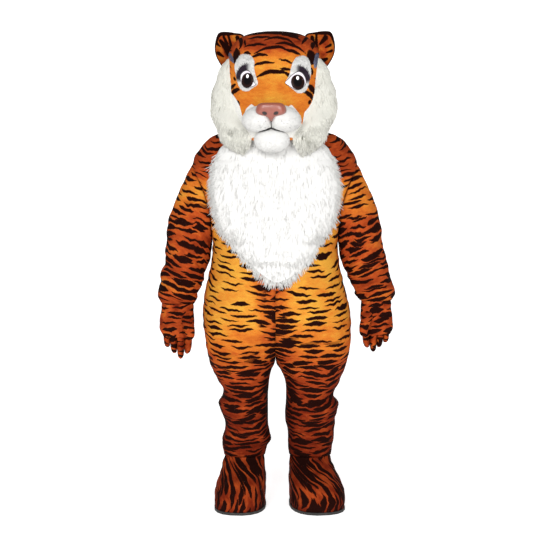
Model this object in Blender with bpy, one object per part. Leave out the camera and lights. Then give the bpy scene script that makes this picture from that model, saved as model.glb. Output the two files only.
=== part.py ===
"""Tiger mascot costume: a plush jumpsuit with a long-fur bib, gloves, foot covers and a full head.

Units are metres and +Z is up. The costume keeps the pose of a standing wearer who faces -Y, and
"right" is the wearer's right, at -X. Heights in the tables are above the floor. The origin is
midway between the wearer's shoulders, which carry the suit, HOLD_HEIGHT above the floor.
Every cloth piece is a thin wall between an outer grid of points and the same grid moved inwards.
"""

import math

import bmesh
import bpy
import numpy as np
from mathutils import Matrix, Vector

# Common sizes
HOLD_HEIGHT = 1.37
PLUSH = 0.003
SEAM_GAP = 0.0004
SEAT_GAP = 0.0004
SOFT = 40.0
CRISP = 30.0
SIDE_SIGN = {"right": -1.0, "left": 1.0}
FACE_SIGN = {"front": -1.0, "back": 1.0}

# Jumpsuit: one row for each height. side is the outseam or armhole edge, inner is the inseam,
# front and back are the depths at the fullest point of the section.
SUIT_COLUMNS = ("height", "side_right", "side_left", "inner_right", "inner_left", "front", "back")
SUIT_ROWS = (
    (1.478, 0.112, 0.112, 0.000, 0.000, 0.088, 0.090),
    (1.466, 0.170, 0.168, 0.000, 0.000, 0.098, 0.112),
    (1.440, 0.250, 0.246, 0.000, 0.000, 0.108, 0.130),
    (1.400, 0.290, 0.288, 0.000, 0.000, 0.120, 0.143),
    (1.335, 0.325, 0.320, 0.000, 0.000, 0.136, 0.154),
    (1.270, 0.298, 0.294, 0.000, 0.000, 0.150, 0.160),
    (1.200, 0.270, 0.266, 0.000, 0.000, 0.162, 0.162),
    (1.130, 0.252, 0.248, 0.000, 0.000, 0.172, 0.160),
    (1.030, 0.247, 0.244, 0.000, 0.000, 0.183, 0.156),
    (0.950, 0.253, 0.250, 0.000, 0.000, 0.192, 0.158),
    (0.880, 0.269, 0.266, 0.000, 0.000, 0.198, 0.168),
    (0.800, 0.282, 0.285, 0.000, 0.000, 0.198, 0.182),
    (0.730, 0.287, 0.299, 0.000, 0.000, 0.188, 0.188),
    (0.660, 0.279, 0.299, 0.000, 0.000, 0.172, 0.182),
    (0.600, 0.271, 0.292, 0.000, 0.000, 0.156, 0.168),
    (0.556, 0.262, 0.283, 0.002, 0.002, 0.146, 0.154),
    (0.520, 0.248, 0.272, 0.017, 0.022, 0.138, 0.143),
    (0.480, 0.226, 0.254, 0.025, 0.038, 0.127, 0.128),
    (0.447, 0.208, 0.238, 0.028, 0.042, 0.117, 0.116),
    (0.423, 0.211, 0.231, 0.030, 0.042, 0.114, 0.109),
    (0.390, 0.222, 0.247, 0.030, 0.041, 0.119, 0.108),
    (0.355, 0.215, 0.243, 0.030, 0.038, 0.112, 0.108),
    (0.320, 0.201, 0.236, 0.030, 0.039, 0.104, 0.106),
    (0.285, 0.204, 0.233, 0.027, 0.048, 0.101, 0.104),
    (0.250, 0.214, 0.233, 0.021, 0.050, 0.098, 0.100),
    (0.215, 0.211, 0.227, 0.034, 0.050, 0.088, 0.092),
    (0.186, 0.205, 0.221, 0.041, 0.054, 0.081, 0.084),
)
SUIT_TOP_HEIGHTS = (1.478, 1.468, 1.450, 1.430, 1.400, 1.366)
SUIT_BODY_HEIGHTS = (0.985, 0.975, 0.920, 0.860, 0.800, 0.740, 0.685, 0.635, 0.590, 0.556)
SUIT_LEG_HEIGHTS = (
    0.526, 0.495, 0.467, 0.444, 0.420, 0.394, 0.368, 0.341, 0.314, 0.287, 0.259, 0.232, 0.208, 0.186,
)
SUIT_COLUMN_COUNT = 6
CHEST_SQUARENESS = 0.88
FORK_TOP = 0.800
CROTCH_HEIGHT = 0.556

# Armhole: an ellipse seen from the side, from the shoulder point down to the underarm
SHOULDER_POINT = 1.335
UNDERARM = 1.030
ARMHOLE_HALF_DEPTH = 0.095
SLEEVE_SIDES = 14
ARMHOLE_EASE = 0.0008

# Largest folds of the suit: where the crest lies, how it runs and how far it stands out.
# around is 90 at the outseam, 0 at the front and -90 or 270 at the inseam, in degrees.
# Columns: side, height, around, tilt, sag, spread, breadth, depth
SUIT_FOLDS = (
    ("right", 0.395, 70, -0.030, 0.000, 45, 0.022, 0.005),
    ("right", 0.440, 50, -0.020, 0.010, 50, 0.020, -0.005),
    ("right", 0.345, 10, 0.035, 0.018, 60, 0.017, 0.008),
    ("right", 0.300, 30, -0.030, 0.010, 60, 0.016, -0.008),
    ("right", 0.262, -50, 0.020, 0.000, 60, 0.020, 0.010),
    ("right", 0.228, -10, 0.022, 0.010, 80, 0.016, -0.005),
    ("right", 0.480, 150, 0.030, 0.012, 70, 0.018, 0.008),
    ("right", 0.375, 180, 0.020, 0.010, 70, 0.018, -0.009),
    ("right", 0.300, 200, -0.020, 0.000, 70, 0.018, 0.008),
    ("right", 0.560, 20, 0.030, 0.025, 50, 0.018, 0.007),
    ("right", 0.620, 170, -0.030, 0.020, 60, 0.020, 0.008),
    ("left", 0.390, 70, -0.030, 0.000, 45, 0.022, 0.005),
    ("left", 0.430, 50, -0.020, 0.010, 50, 0.020, -0.005),
    ("left", 0.350, 0, 0.030, 0.020, 60, 0.017, 0.008),
    ("left", 0.305, 20, -0.025, 0.010, 65, 0.016, -0.008),
    ("left", 0.255, 0, 0.030, 0.010, 80, 0.018, 0.008),
    ("left", 0.226, 30, -0.020, 0.010, 80, 0.016, -0.005),
    ("left", 0.470, 160, 0.030, 0.012, 70, 0.018, 0.008),
    ("left", 0.370, 190, 0.020, 0.010, 70, 0.018, -0.009),
    ("left", 0.290, 170, -0.020, 0.000, 70, 0.018, 0.008),
    ("left", 0.570, 15, -0.030, 0.025, 50, 0.018, 0.007),
    ("left", 0.610, 165, 0.030, 0.020, 60, 0.020, 0.008),
)

HEM_CALM_FROM = 0.192
HEM_CALM_OVER = 0.030

# Sleeves: each row is a ring through its outer and inner points. Depth is half its size in Y.
SLEEVE_COLUMNS = ("outer_x", "outer_height", "inner_x", "inner_height", "depth", "centre_y")
SLEEVE_ROWS = {
    "right": (
        (0.352, 1.285, 0.2520, 1.008, 0.099, 0.000),
        (0.378, 1.225, 0.2545, 0.985, 0.099, -0.002),
        (0.403, 1.165, 0.2580, 0.963, 0.097, -0.005),
        (0.424, 1.105, 0.2640, 0.942, 0.094, -0.009),
        (0.427, 1.060, 0.2700, 0.922, 0.090, -0.013),
        (0.434, 1.005, 0.2770, 0.902, 0.089, -0.018),
        (0.431, 0.962, 0.2830, 0.882, 0.084, -0.023),
        (0.447, 0.918, 0.2890, 0.862, 0.084, -0.028),
        (0.452, 0.878, 0.2960, 0.843, 0.079, -0.033),
        (0.458, 0.842, 0.3030, 0.824, 0.078, -0.038),
        (0.459, 0.815, 0.3100, 0.806, 0.071, -0.042),
        (0.449, 0.793, 0.3180, 0.788, 0.057, -0.044),
    ),
    "left": (
        (0.343, 1.290, 0.2490, 1.008, 0.099, 0.000),
        (0.371, 1.230, 0.2515, 0.985, 0.099, -0.002),
        (0.395, 1.170, 0.2550, 0.963, 0.097, -0.005),
        (0.411, 1.110, 0.2610, 0.942, 0.094, -0.009),
        (0.420, 1.060, 0.2680, 0.925, 0.092, -0.013),
        (0.421, 1.010, 0.2790, 0.907, 0.087, -0.018),
        (0.437, 0.965, 0.2880, 0.888, 0.087, -0.023),
        (0.442, 0.925, 0.2960, 0.868, 0.081, -0.028),
        (0.455, 0.888, 0.3030, 0.850, 0.081, -0.033),
        (0.463, 0.852, 0.3090, 0.832, 0.078, -0.038),
        (0.467, 0.826, 0.3170, 0.815, 0.074, -0.042),
        (0.455, 0.803, 0.3320, 0.800, 0.056, -0.044),
    ),
}

# Gloves: rings from inside the cuff down to the knuckles, and four fingers and a thumb
# Columns: drop, outer_shift, inner_shift, depth
GLOVE_ROWS = (
    (-0.022, -0.0048, 0.0048, 0.0505),
    (-0.002, -0.0035, 0.0035, 0.0525),
    (0.022, -0.0040, 0.0030, 0.0495),
    (0.056, 0.0020, 0.0020, 0.0480),
    (0.096, 0.0055, 0.0020, 0.0440),
    (0.134, -0.0060, 0.0050, 0.0350),
)
# Columns: name, from_share, to_share, length, lean
FINGER_ROWS = (
    ("index", 0.03, 0.28, 0.066, 0.005),
    ("middle", 0.28, 0.53, 0.086, 0.000),
    ("ring", 0.53, 0.76, 0.064, -0.005),
    ("little", 0.76, 0.97, 0.040, -0.005),
)
FINGER_TAPER = ((0.00, 1.00), (0.50, 0.95), (0.84, 0.70), (1.00, 0.26))
FINGER_LENGTH_SCALE = {"right": 1.0, "left": 0.80}
FINGER_SIDES = 8
THUMB_LENGTH = 0.078
THUMB_ROOT_RADIUS = 0.021
THUMB_RING = 3
THUMB_POINT = 5
FINGER_BEND = 0.010
FINGER_LEAST_BOW = 0.10
STALL_TIP_WALL = 1.2
STALL_TIP_SHRINK = 0.5
THUMB_LEAN = 0.10
THUMB_CORE_SHORTER = 0.25
THUMB_START_BEND = 0.25
THUMB_BEND_POWER = 1.25
THUMB_SINK = 0.010
THUMB_STAND = 0.044
GLOVE_WALL = 0.0025

# Foot covers: the outline of the sole and the rings from the sole up to the ankle
# Columns: height, mix, swell
FOOT_ROWS = (
    (0.0104, 0.020, 0.000),
    (0.040, -0.020, 0.000),
    (0.078, 0.030, 0.000),
    (0.114, 0.250, 0.006),
    (0.148, 0.640, 0.008),
    (0.183, 1.000, 0.000),
    (0.212, 1.000, 0.000),
)
FOOT_SIDES = 22
FOOT_TURN = {"right": -5.0, "left": 9.0}
FOOT_TOE = 0.250
FOOT_HEEL = 0.092
FOOT_HALF_WIDTH = {"right": 0.095, "left": 0.101}
FOOT_FLARE = 0.16
FOOT_SHIFT = {"right": 0.004, "left": 0.006}
FOOT_TWIST_OVER = 0.110
SOLE_THICKNESS = 0.010
SOLE_WELT = 0.003
ANKLE_EASE = 0.0006
FOOT_TOE_SQUARENESS = 0.90
FOOT_SIDE_SQUARENESS = 0.82

# Bib: half-width at each height, longest in the middle, with a ragged edge of fur locks
BIB_COLUMNS = ("height", "right_half", "left_half")
BIB_ROWS = (
    (1.452, 0.110, 0.104),
    (1.385, 0.214, 0.204),
    (1.312, 0.238, 0.228),
    (1.235, 0.243, 0.240),
    (1.150, 0.232, 0.228),
    (1.080, 0.210, 0.202),
    (1.030, 0.168, 0.164),
    (0.975, 0.124, 0.134),
    (0.930, 0.076, 0.094),
    (0.897, 0.034, 0.052),
    (0.880, 0.006, 0.012),
)
BIB_FUR = 0.020
BIB_EDGE_FUR = 0.006
BIB_LOCKS_PER_ROW = 2
BIB_LOCK_REACH = 0.009
BIB_CREST = 0.060
BIB_LOCK_FADE = 0.05
BIB_LOCK_UNEVENNESS = (0.75, 0.35, 2.4)
BIB_ROWS_BELOW = 0.09
BIB_ROWS_ABOVE = 0.02
BIB_CUT = (-0.40, 0.05)

# Zip at the centre back: two tapes and a chain in one strip, a slider and its pull
ZIP_TOP = 1.450
ZIP_BOTTOM = 0.985
ZIP_HALF_GAP = 0.0050
ZIP_TAPE_HALF = 0.014
ZIP_TAPE_THICKNESS = 0.0010
ZIP_CHAIN_HALF = 0.0030
ZIP_CHAIN_HEIGHT = 0.0022
SLIDER_SIZE = (0.0088, 0.0040, 0.0140)
SLIDER_LIFT = 0.0012
CHEEK = 0.0012
CHEEK_RISE = 0.0050
CHEEK_LENGTH = 0.0060
CHEEK_EASE = 0.0005
PIN_RADIUS = 0.0008
PIN_RISE = 0.0030
PIN_EASE = 0.0004
EYE_RADIUS = 0.0023
EYE_HALF = 0.0014
PULL_SIZE = (0.0075, 0.0016, 0.0320)
PULL_NECK = 0.0070
PULL_CORNER = 0.0025
BARREL_SIDES = 16

# Head: one ring for each height, in the head's own frame, which is turned a little to the right
HEAD_AXIS_X = -0.004
HEAD_TURN = -3.0
HEAD_WALL = 0.006
HEAD_COLUMNS = ("height", "half_width", "front", "back")
HEAD_ROWS = (
    (1.8450, 0.0050, 0.0050, 0.0050),
    (1.8430, 0.0500, 0.0450, 0.0480),
    (1.8330, 0.1050, 0.0950, 0.1000),
    (1.8120, 0.1450, 0.1330, 0.1400),
    (1.7750, 0.1720, 0.1640, 0.1740),
    (1.7250, 0.1860, 0.1810, 0.1930),
    (1.6650, 0.1920, 0.1900, 0.2030),
    (1.6000, 0.1920, 0.1930, 0.2040),
    (1.5400, 0.1860, 0.1930, 0.1950),
    (1.4980, 0.1770, 0.1880, 0.1820),
    (1.4720, 0.1680, 0.1830, 0.1710),
)
HEAD_RING_HEIGHTS = (
    1.8450, 1.8410, 1.8300, 1.8060, 1.7680, 1.7280, 1.6880, 1.6480, 1.6090, 1.5740, 1.5430, 1.5150, 1.4920,
    1.4720,
)
HEAD_SQUARENESS = 0.90
CHIN_DROP = 0.064
CHIN_DROP_FROM = 1.600
CHIN_DROP_DOWN = 1.4
CHIN_DROP_ROUND = 1.5
RIM_HEIGHT = 1.472
RIM_REACH = 0.050
HEAD_FRONT_HALF_ANGLE = 88.0
HEAD_FRONT_COLUMNS = 18
HEAD_BACK_COLUMNS = 10

# Bulges of the face: middle across and up, spread each way, and how far they stand forward
# Columns: x, height, spread_x, spread_height, power, forward
RELIEF_ROWS = (
    (0.000, 1.560, 0.055, 0.090, 1.0, 0.034),
    (0.000, 1.488, 0.110, 0.062, 2.0, 0.040),
    (0.100, 1.640, 0.038, 0.036, 1.0, -0.008),
    (0.092, 1.712, 0.050, 0.026, 1.0, 0.006),
    (0.110, 1.560, 0.045, 0.040, 1.0, 0.006),
)
RELIEF_FADE = 1.5

# Rounded forms on the face: centre, radii and tilt about the Y axis, for the left side or the middle
FORM_COLUMNS = ("x", "y", "height", "radius_x", "radius_y", "radius_height", "tilt")
MUZZLE_FORM = (0.0420, -0.2080, 1.4930, 0.0700, 0.0690, 0.0500, 10.0)
CHIN_FORM = (0.0000, -0.1880, 1.4130, 0.0680, 0.0620, 0.0490, 0.0)
NOSE_TOP_FORM = (0.0000, -0.2450, 1.5200, 0.0570, 0.0570, 0.0290, 0.0)
NOSE_TIP_FORM = (0.0000, -0.2480, 1.5000, 0.0330, 0.0520, 0.0220, 0.0)
EYE_WHITE_FORM = (0.0960, -0.1560, 1.6400, 0.0380, 0.0320, 0.0400, -18.0)
PUPIL_FORM = (0.0970, -0.1640, 1.6400, 0.0290, 0.0290, 0.0330, -8.0)
MUZZLE_BOX = 0.30
FORM_SEGMENTS = 16
FORM_RINGS = 10

# White patch round each eye, as an outline in X and height, for the left side
EYE_PATCH_OUTLINE = (
    (0.114, 1.741), (0.092, 1.736), (0.078, 1.719), (0.073, 1.690), (0.070, 1.662), (0.062, 1.641),
    (0.052, 1.620), (0.058, 1.606), (0.078, 1.592), (0.100, 1.585), (0.122, 1.591), (0.138, 1.612),
    (0.148, 1.646), (0.153, 1.684), (0.147, 1.716), (0.134, 1.735),
)
EYE_PATCH_THICKNESS = 0.004
EYE_PATCH_ANGLES = (6.0, 66.0)
EYE_PATCH_HEIGHTS = (1.53, 1.79)
EYE_PATCH_CUT = (-0.35, 0.0)

# Ears: outline round the middle of the cup, in X and height from that middle, for the left side
EAR_MIDDLE = (0.190, 0.006, 1.778)
EAR_OUTLINE = (
    (-0.066, 0.040), (-0.028, 0.062), (0.016, 0.069), (0.033, 0.064), (0.043, 0.042), (0.047, 0.012),
    (0.043, -0.016), (0.031, -0.042), (0.016, -0.064), (0.002, -0.078), (-0.030, -0.062), (-0.060, -0.020),
)
EAR_RINGS = ((1.00, 0.000), (0.86, 0.010), (0.60, 0.030), (0.30, 0.042), (0.00, 0.046))
EAR_WALL = 0.007
EAR_TURN = 10.0

# Cheek ruffs of long fur: one row for each height, with the angles from the front that the ruff
# spans, the radius of the surface that it hangs on and its thickness
# Columns: height, from_angle, to_angle, base_x, base_front, fur
RUFF_ROWS = (
    (1.735, 64.0, 78.0, 0.186, 0.182, 0.008),
    (1.705, 59.0, 85.0, 0.189, 0.187, 0.026),
    (1.655, 55.0, 94.0, 0.192, 0.190, 0.046),
    (1.600, 53.0, 104.0, 0.192, 0.193, 0.062),
    (1.545, 48.0, 101.0, 0.187, 0.193, 0.072),
    (1.490, 38.0, 86.0, 0.179, 0.190, 0.076),
    (1.440, 28.0, 80.0, 0.174, 0.190, 0.074),
    (1.408, 25.0, 76.0, 0.170, 0.192, 0.064),
    (1.383, 26.0, 70.0, 0.166, 0.194, 0.048),
    (1.362, 29.0, 60.0, 0.162, 0.196, 0.034),
    (1.342, 33.5, 41.0, 0.158, 0.197, 0.016),
)
RUFF_COLUMN_COUNT = 7
RUFF_SINK = 0.006
RUFF_EDGE_SHARE = 0.10
RUFF_ROUNDNESS = 0.8
CHEST_FORM_BOTTOM = 1.15
CHEST_FORM_WALL = 0.11

# Cloth round the neck, from the collar's edge to the inside of the head's rim
NECK_RINGS = 3
NECK_BULGE = 0.003
NECK_HEAD_RING = 1.4920
NECK_OVERCUT = 0.004

COLOURS = {
    "tiger_plush": (0.62, 0.22, 0.045, 0.80, 0.0),
    "white_fur": (0.86, 0.84, 0.78, 0.85, 0.0),
    "nose_leather": (0.42, 0.17, 0.14, 0.40, 0.0),
    "eye_white": (0.80, 0.74, 0.76, 0.25, 0.0),
    "eye_black": (0.008, 0.006, 0.008, 0.08, 0.0),
    "sole_rubber": (0.03, 0.03, 0.03, 0.75, 0.0),
    "zip_tape": (0.05, 0.03, 0.02, 0.80, 0.0),
    "zip_metal": (0.45, 0.42, 0.36, 0.35, 1.0),
}


def clear_scene():
    """Empties the scene and makes the frames that the pieces are placed in."""
    for obj in list(bpy.data.objects):
        bpy.data.objects.remove(obj)


def make_material(name):
    """A Principled BSDF with the colour, roughness and metallic value of its row."""
    red, green, blue, roughness, metallic = COLOURS[name]
    material = bpy.data.materials.get(name) or bpy.data.materials.new(name)
    material.use_nodes = True
    shader = material.node_tree.nodes["Principled BSDF"]
    shader.inputs["Base Color"].default_value = (red, green, blue, 1.0)
    shader.inputs["Roughness"].default_value = roughness
    shader.inputs["Metallic"].default_value = metallic
    return material


def make_frame(name, parent=None, location=(0.0, 0.0, 0.0), turn=0.0):
    """An empty that places its children, turned about the vertical by an angle in degrees."""
    frame = bpy.data.objects.new(name, None)
    bpy.context.scene.collection.objects.link(frame)
    frame.parent = parent
    frame.location = location
    frame.rotation_euler = (0.0, 0.0, math.radians(turn))
    return frame


def make_object(name, vertices, faces, material, parent, smooth_angle=SOFT):
    """One mesh object, with doubled points merged, normals outwards and round parts smooth."""
    mesh = bpy.data.meshes.new(name)
    mesh.from_pydata([tuple(map(float, v)) for v in vertices], [], faces)
    work = bmesh.new()
    work.from_mesh(mesh)
    bmesh.ops.remove_doubles(work, verts=work.verts, dist=1e-6)
    bmesh.ops.recalc_face_normals(work, faces=work.faces)
    work.to_mesh(mesh)
    work.free()
    mesh.shade_smooth()
    mesh.set_sharp_from_angle(angle=math.radians(smooth_angle))
    mesh.materials.append(make_material(material))
    obj = bpy.data.objects.new(name, mesh)
    bpy.context.scene.collection.objects.link(obj)
    obj.parent = parent
    return obj


def as_cutter(obj):
    """Marks an object that only cuts others."""
    obj.hide_render = True
    obj.display_type = "WIRE"
    return obj


def boolean(obj, other, operation):
    """Cuts obj with another object, or keeps what the two have in common."""
    modifier = obj.modifiers.new(f"{operation.lower()}_{other.name}", "BOOLEAN")
    modifier.operation = operation
    modifier.object = other
    modifier.solver = "EXACT"


def through_points(x, y, at):
    """Height at `at` of a smooth curve through the points (x, y) that never overshoots them."""
    order = np.argsort(x)
    x, y = np.asarray(x, float)[order], np.asarray(y, float)[order]
    at = np.asarray(at, float)
    step = np.diff(x)
    slope = np.diff(y) / step
    tangent = np.zeros_like(y)
    rising = slope[:-1] * slope[1:] > 0
    total = np.where(rising, slope[:-1] + slope[1:], 1.0)
    tangent[1:-1] = np.where(rising, 2 * slope[:-1] * slope[1:] / total, 0.0)
    tangent[0], tangent[-1] = slope[0], slope[-1]
    k = np.clip(np.searchsorted(x, at, side="right") - 1, 0, len(step) - 1)
    t = np.clip((at - x[k]) / step[k], 0.0, 1.0)
    return (
        (1 + 2 * t) * (1 - t) ** 2 * y[k]
        + t * (1 - t) ** 2 * step[k] * tangent[k]
        + t * t * (3 - 2 * t) * y[k + 1]
        + t * t * (t - 1) * step[k] * tangent[k + 1]
    )


def column(rows, columns, name):
    """One named column of a table."""
    return [row[columns.index(name)] for row in rows]


def size_at(rows, columns, name, height):
    """A named size at any height, from a table with a row for each height."""
    return through_points(column(rows, columns, "height"), column(rows, columns, name), height)


def signed_power(value, power):
    """Power of the size of a value, with its sign kept, for rounded-square sections."""
    return np.sign(value) * np.abs(value) ** power


def grid_normals(points, outwards, closed=False):
    """Unit normals of a grid of points from its neighbours, turned to point along `outwards`."""
    if closed:
        along = (np.roll(points, -1, axis=1) - np.roll(points, 1, axis=1)) / 2
    else:
        along = np.gradient(points, axis=1)
    normal = np.cross(along, np.gradient(points, axis=0))
    length = np.linalg.norm(normal, axis=2, keepdims=True)
    normal = normal / np.maximum(length, 1e-12)
    if (normal * outwards).sum() < 0:
        normal = -normal
    return normal


def split_quad(a, b, c, d, points):
    """Two triangles of a quad, split along its shorter diagonal, so that parallel walls match."""
    if np.linalg.norm(points[a] - points[c]) < np.linalg.norm(points[b] - points[d]) - 1e-7:
        return [(a, b, c), (a, c, d)]
    return [(a, b, d), (b, c, d)]


def wall_faces(base, closed):
    """Faces of a wall: the outer grid, the inner grid, and a strip along each free edge."""
    rows, columns = base.shape[:2]
    points = base.reshape(-1, 3)
    count = rows * columns
    outer = []
    for r in range(rows - 1):
        for c in range(columns if closed else columns - 1):
            d = (c + 1) % columns
            quad = (r * columns + c, r * columns + d, (r + 1) * columns + d, (r + 1) * columns + c)
            outer += split_quad(*quad, points)
    directed = {(a, b) for f in outer for a, b in zip(f, f[1:] + f[:1])}
    rims = [(a, b) for a, b in sorted(directed) if (b, a) not in directed]
    inner = [tuple(count + i for i in reversed(f)) for f in outer]
    strips = [(b, a, count + a, count + b) for a, b in rims]
    return outer + inner + strips


def cloth_wall(name, outer, normals, thickness, material, parent, closed=False, base=None):
    """A wall of cloth from its outer points: each inner point lies one thickness behind its own.

    A wall that lies on another is given that one's points as its base, so that both fold alike.
    """
    rows, columns = outer.shape[:2]
    thickness = np.broadcast_to(np.asarray(thickness, float), (rows, columns))[..., None]
    inner = outer - normals * thickness
    vertices = np.concatenate([outer.reshape(-1, 3), inner.reshape(-1, 3)])
    faces = wall_faces(outer if base is None else base, closed)
    return make_object(name, vertices, faces, material, parent)


def square_ends(points, normals):
    """Turns the normals of a tube's first and last rings into the plane of their ring."""
    for ring in (0, -1):
        spokes = points[ring] - points[ring].mean(axis=0)
        axis = np.cross(spokes, np.roll(spokes, -1, axis=0)).sum(axis=0)
        axis /= np.linalg.norm(axis)
        flat = normals[ring] - (normals[ring] @ axis)[:, None] * axis
        normals[ring] = flat / np.linalg.norm(flat, axis=1, keepdims=True)
    return normals


def armhole_inset(height):
    """How far the armhole edge lies in front of or behind the side, at each height."""
    middle = (SHOULDER_POINT + UNDERARM) / 2
    half = (SHOULDER_POINT - UNDERARM) / 2
    return ARMHOLE_HALF_DEPTH * np.sqrt(np.clip(1 - ((height - middle) / half) ** 2, 0, 1))


def fork_share(height):
    """0 where the section is one torso, 1 where it is two legs, rounded like the crotch seam."""
    drop = np.clip((FORK_TOP - height) / (FORK_TOP - CROTCH_HEIGHT), 0, 1)
    return 1 - np.sqrt(1 - drop**2)


def fold_height(side, around, height):
    """How far the folds of one side push the cloth out, where `around` is in degrees."""
    total = np.zeros(np.broadcast(around, height).shape)
    for fold_side, middle, centre, tilt, sag, spread, breadth, depth in SUIT_FOLDS:
        if fold_side != side:
            continue
        away = (around - centre + 180) % 360 - 180
        line = middle + tilt * away / 90 + sag * (away / spread) ** 2
        total += depth * np.exp(-(((height - line) / breadth) ** 2) - (away / spread) ** 2)
    return total * np.clip((height - HEM_CALM_FROM) / HEM_CALM_OVER, 0, 1)


def suit_surface(side, face, across, height):
    """Smooth surface of the suit: across runs from 0 at the outseam to 1 at the middle or inseam.

    A torso section is a quarter of a rounded rectangle, a leg section is half an ellipse, and the
    two are mixed between FORK_TOP and the crotch.
    """
    edge = size_at(SUIT_ROWS, SUIT_COLUMNS, f"side_{side}", height)
    inner = size_at(SUIT_ROWS, SUIT_COLUMNS, f"inner_{side}", height)
    depth = size_at(SUIT_ROWS, SUIT_COLUMNS, face, height)
    inset = armhole_inset(height)
    fork = fork_share(height)
    quarter, half = across * np.pi / 2, across * np.pi
    torso_x = edge * signed_power(np.cos(quarter), CHEST_SQUARENESS)
    torso_y = inset + (depth - inset) * signed_power(np.sin(quarter), CHEST_SQUARENESS)
    leg_x = (edge + inner) / 2 + (edge - inner) / 2 * np.cos(half)
    leg_y = depth * np.sin(half)
    x = (1 - fork) * torso_x + fork * leg_x
    y = (1 - fork) * torso_y + fork * leg_y
    return np.stack([SIDE_SIGN[side] * x, FACE_SIGN[face] * y, height + 0 * across], axis=-1)


def suit_grid(side, face, heights):
    """Outer points and normals of a suit panel, with its folds and its seam gaps.

    One more column is worked out past each edge and dropped, so that normals run on at seams.
    """
    across = np.arange(-1, SUIT_COLUMN_COUNT + 2) / SUIT_COLUMN_COUNT
    across, height = np.meshgrid(across, np.array(heights, float))
    points = suit_surface(side, face, across, height)
    normals = grid_normals(points, points * [1, 1, 0])
    around = 90 + FACE_SIGN[face] * (90 + 90 * fork_share(height)) * across
    points = points + normals * fold_height(side, around, height)[..., None]
    normals = grid_normals(points, normals)
    points, normals = points[:, 1:-1].copy(), normals[:, 1:-1].copy()
    for end in (0, -1):
        normals[end, :, 2] = 0.0
        normals[end] /= np.linalg.norm(normals[end], axis=1, keepdims=True)
    points[..., 1] += FACE_SIGN[face] * SEAM_GAP / 2
    gap = np.full(len(heights), SEAM_GAP / 2)
    if face == "back":
        gap = np.where(np.array(heights) >= ZIP_BOTTOM, ZIP_HALF_GAP, gap)
    reach = np.abs(points[:, :1, 0])
    points[..., 0] = SIDE_SIGN[side] * (
        np.abs(points[..., 0]) * (reach - gap[:, None]) / reach + gap[:, None]
    )
    return points, normals


def armhole_heights():
    """Heights of the sleeve head's points, from the shoulder point to the underarm."""
    middle = (SHOULDER_POINT + UNDERARM) / 2
    half = (SHOULDER_POINT - UNDERARM) / 2
    return [middle + half * math.cos(math.pi * k / (SLEEVE_SIDES // 2)) for k in range(SLEEVE_SIDES // 2 + 1)]


def suit_heights():
    """Heights of the rows of a suit panel, from the neck to the hem."""
    return (*SUIT_TOP_HEIGHTS, *armhole_heights(), *SUIT_BODY_HEIGHTS, *SUIT_LEG_HEIGHTS)


def build_suit(floor):
    """Four panels, each from the neck and shoulder down to the hem."""
    for side in SIDE_SIGN:
        for face in FACE_SIGN:
            points, normals = suit_grid(side, face, suit_heights())
            cloth_wall(f"suit_{face}_{side}", points, normals, PLUSH, "tiger_plush", floor)


def sleeve_grid(side):
    """Rings of a sleeve, from the armhole to the gathered cuff. Angle 0 is outermost, 90 in front."""
    angle = np.arange(SLEEVE_SIDES) * 2 * np.pi / SLEEVE_SIDES
    heights = np.array(armhole_heights())
    ring = np.concatenate([heights, heights[-2:0:-1]])
    edge = size_at(SUIT_ROWS, SUIT_COLUMNS, f"side_{side}", ring)
    front = -np.sign(np.round(np.sin(angle), 6)) * armhole_inset(ring)
    rings = [np.stack([edge + ARMHOLE_EASE, front, ring], axis=-1)]
    for outer_x, outer_height, inner_x, inner_height, depth, centre_y in SLEEVE_ROWS[side]:
        share = (1 + np.cos(angle)) / 2
        x = inner_x + (outer_x - inner_x) * share
        z = inner_height + (outer_height - inner_height) * share
        rings.append(np.stack([x, centre_y - depth * np.sin(angle), z], axis=-1))
    points = np.array(rings)
    points[..., 0] *= SIDE_SIGN[side]
    centre = points.mean(axis=1, keepdims=True)
    return points, square_ends(points, grid_normals(points, points - centre, closed=True))


def build_sleeves(floor):
    """Two sleeves, each one tube with its seam under the arm."""
    for side in SIDE_SIGN:
        points, normals = sleeve_grid(side)
        cloth_wall(f"sleeve_{side}", points, normals, PLUSH, "tiger_plush", floor, closed=True)


def cuff_of(side):
    """The last ring of a sleeve, as a dictionary of its sizes."""
    return dict(zip(SLEEVE_COLUMNS, SLEEVE_ROWS[side][-1]))


def glove_ring(side, drop, outer_shift, inner_shift, depth):
    """One ring of a glove's hand, level with the sleeve's cuff and its points in line with it."""
    cuff = cuff_of(side)
    angle = np.arange(SLEEVE_SIDES) * 2 * np.pi / SLEEVE_SIDES
    share = (1 + np.cos(angle)) / 2
    outer = cuff["outer_x"] + outer_shift
    inner = cuff["inner_x"] + inner_shift
    x = inner + (outer - inner) * share
    z = cuff["inner_height"] + (cuff["outer_height"] - cuff["inner_height"]) * share - drop
    return np.stack([SIDE_SIGN[side] * x, cuff["centre_y"] - depth * np.sin(angle), z], axis=-1)


def finger_section(low, high, depth):
    """A slice of the hand's oval between two shares of its width, as points round its middle.

    Even steps run along the front arc from low to high and back along the rear arc.
    """
    per_face = FINGER_SIDES // 2
    share = np.linspace(low, high, per_face)
    rise = depth * np.sqrt(np.clip(1 - (2 * share - 1) ** 2, FINGER_LEAST_BOW, 1))
    front = np.stack([share, -rise], axis=-1)
    rear = np.stack([share[::-1], rise[::-1]], axis=-1)
    return np.concatenate([front, rear])


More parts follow.
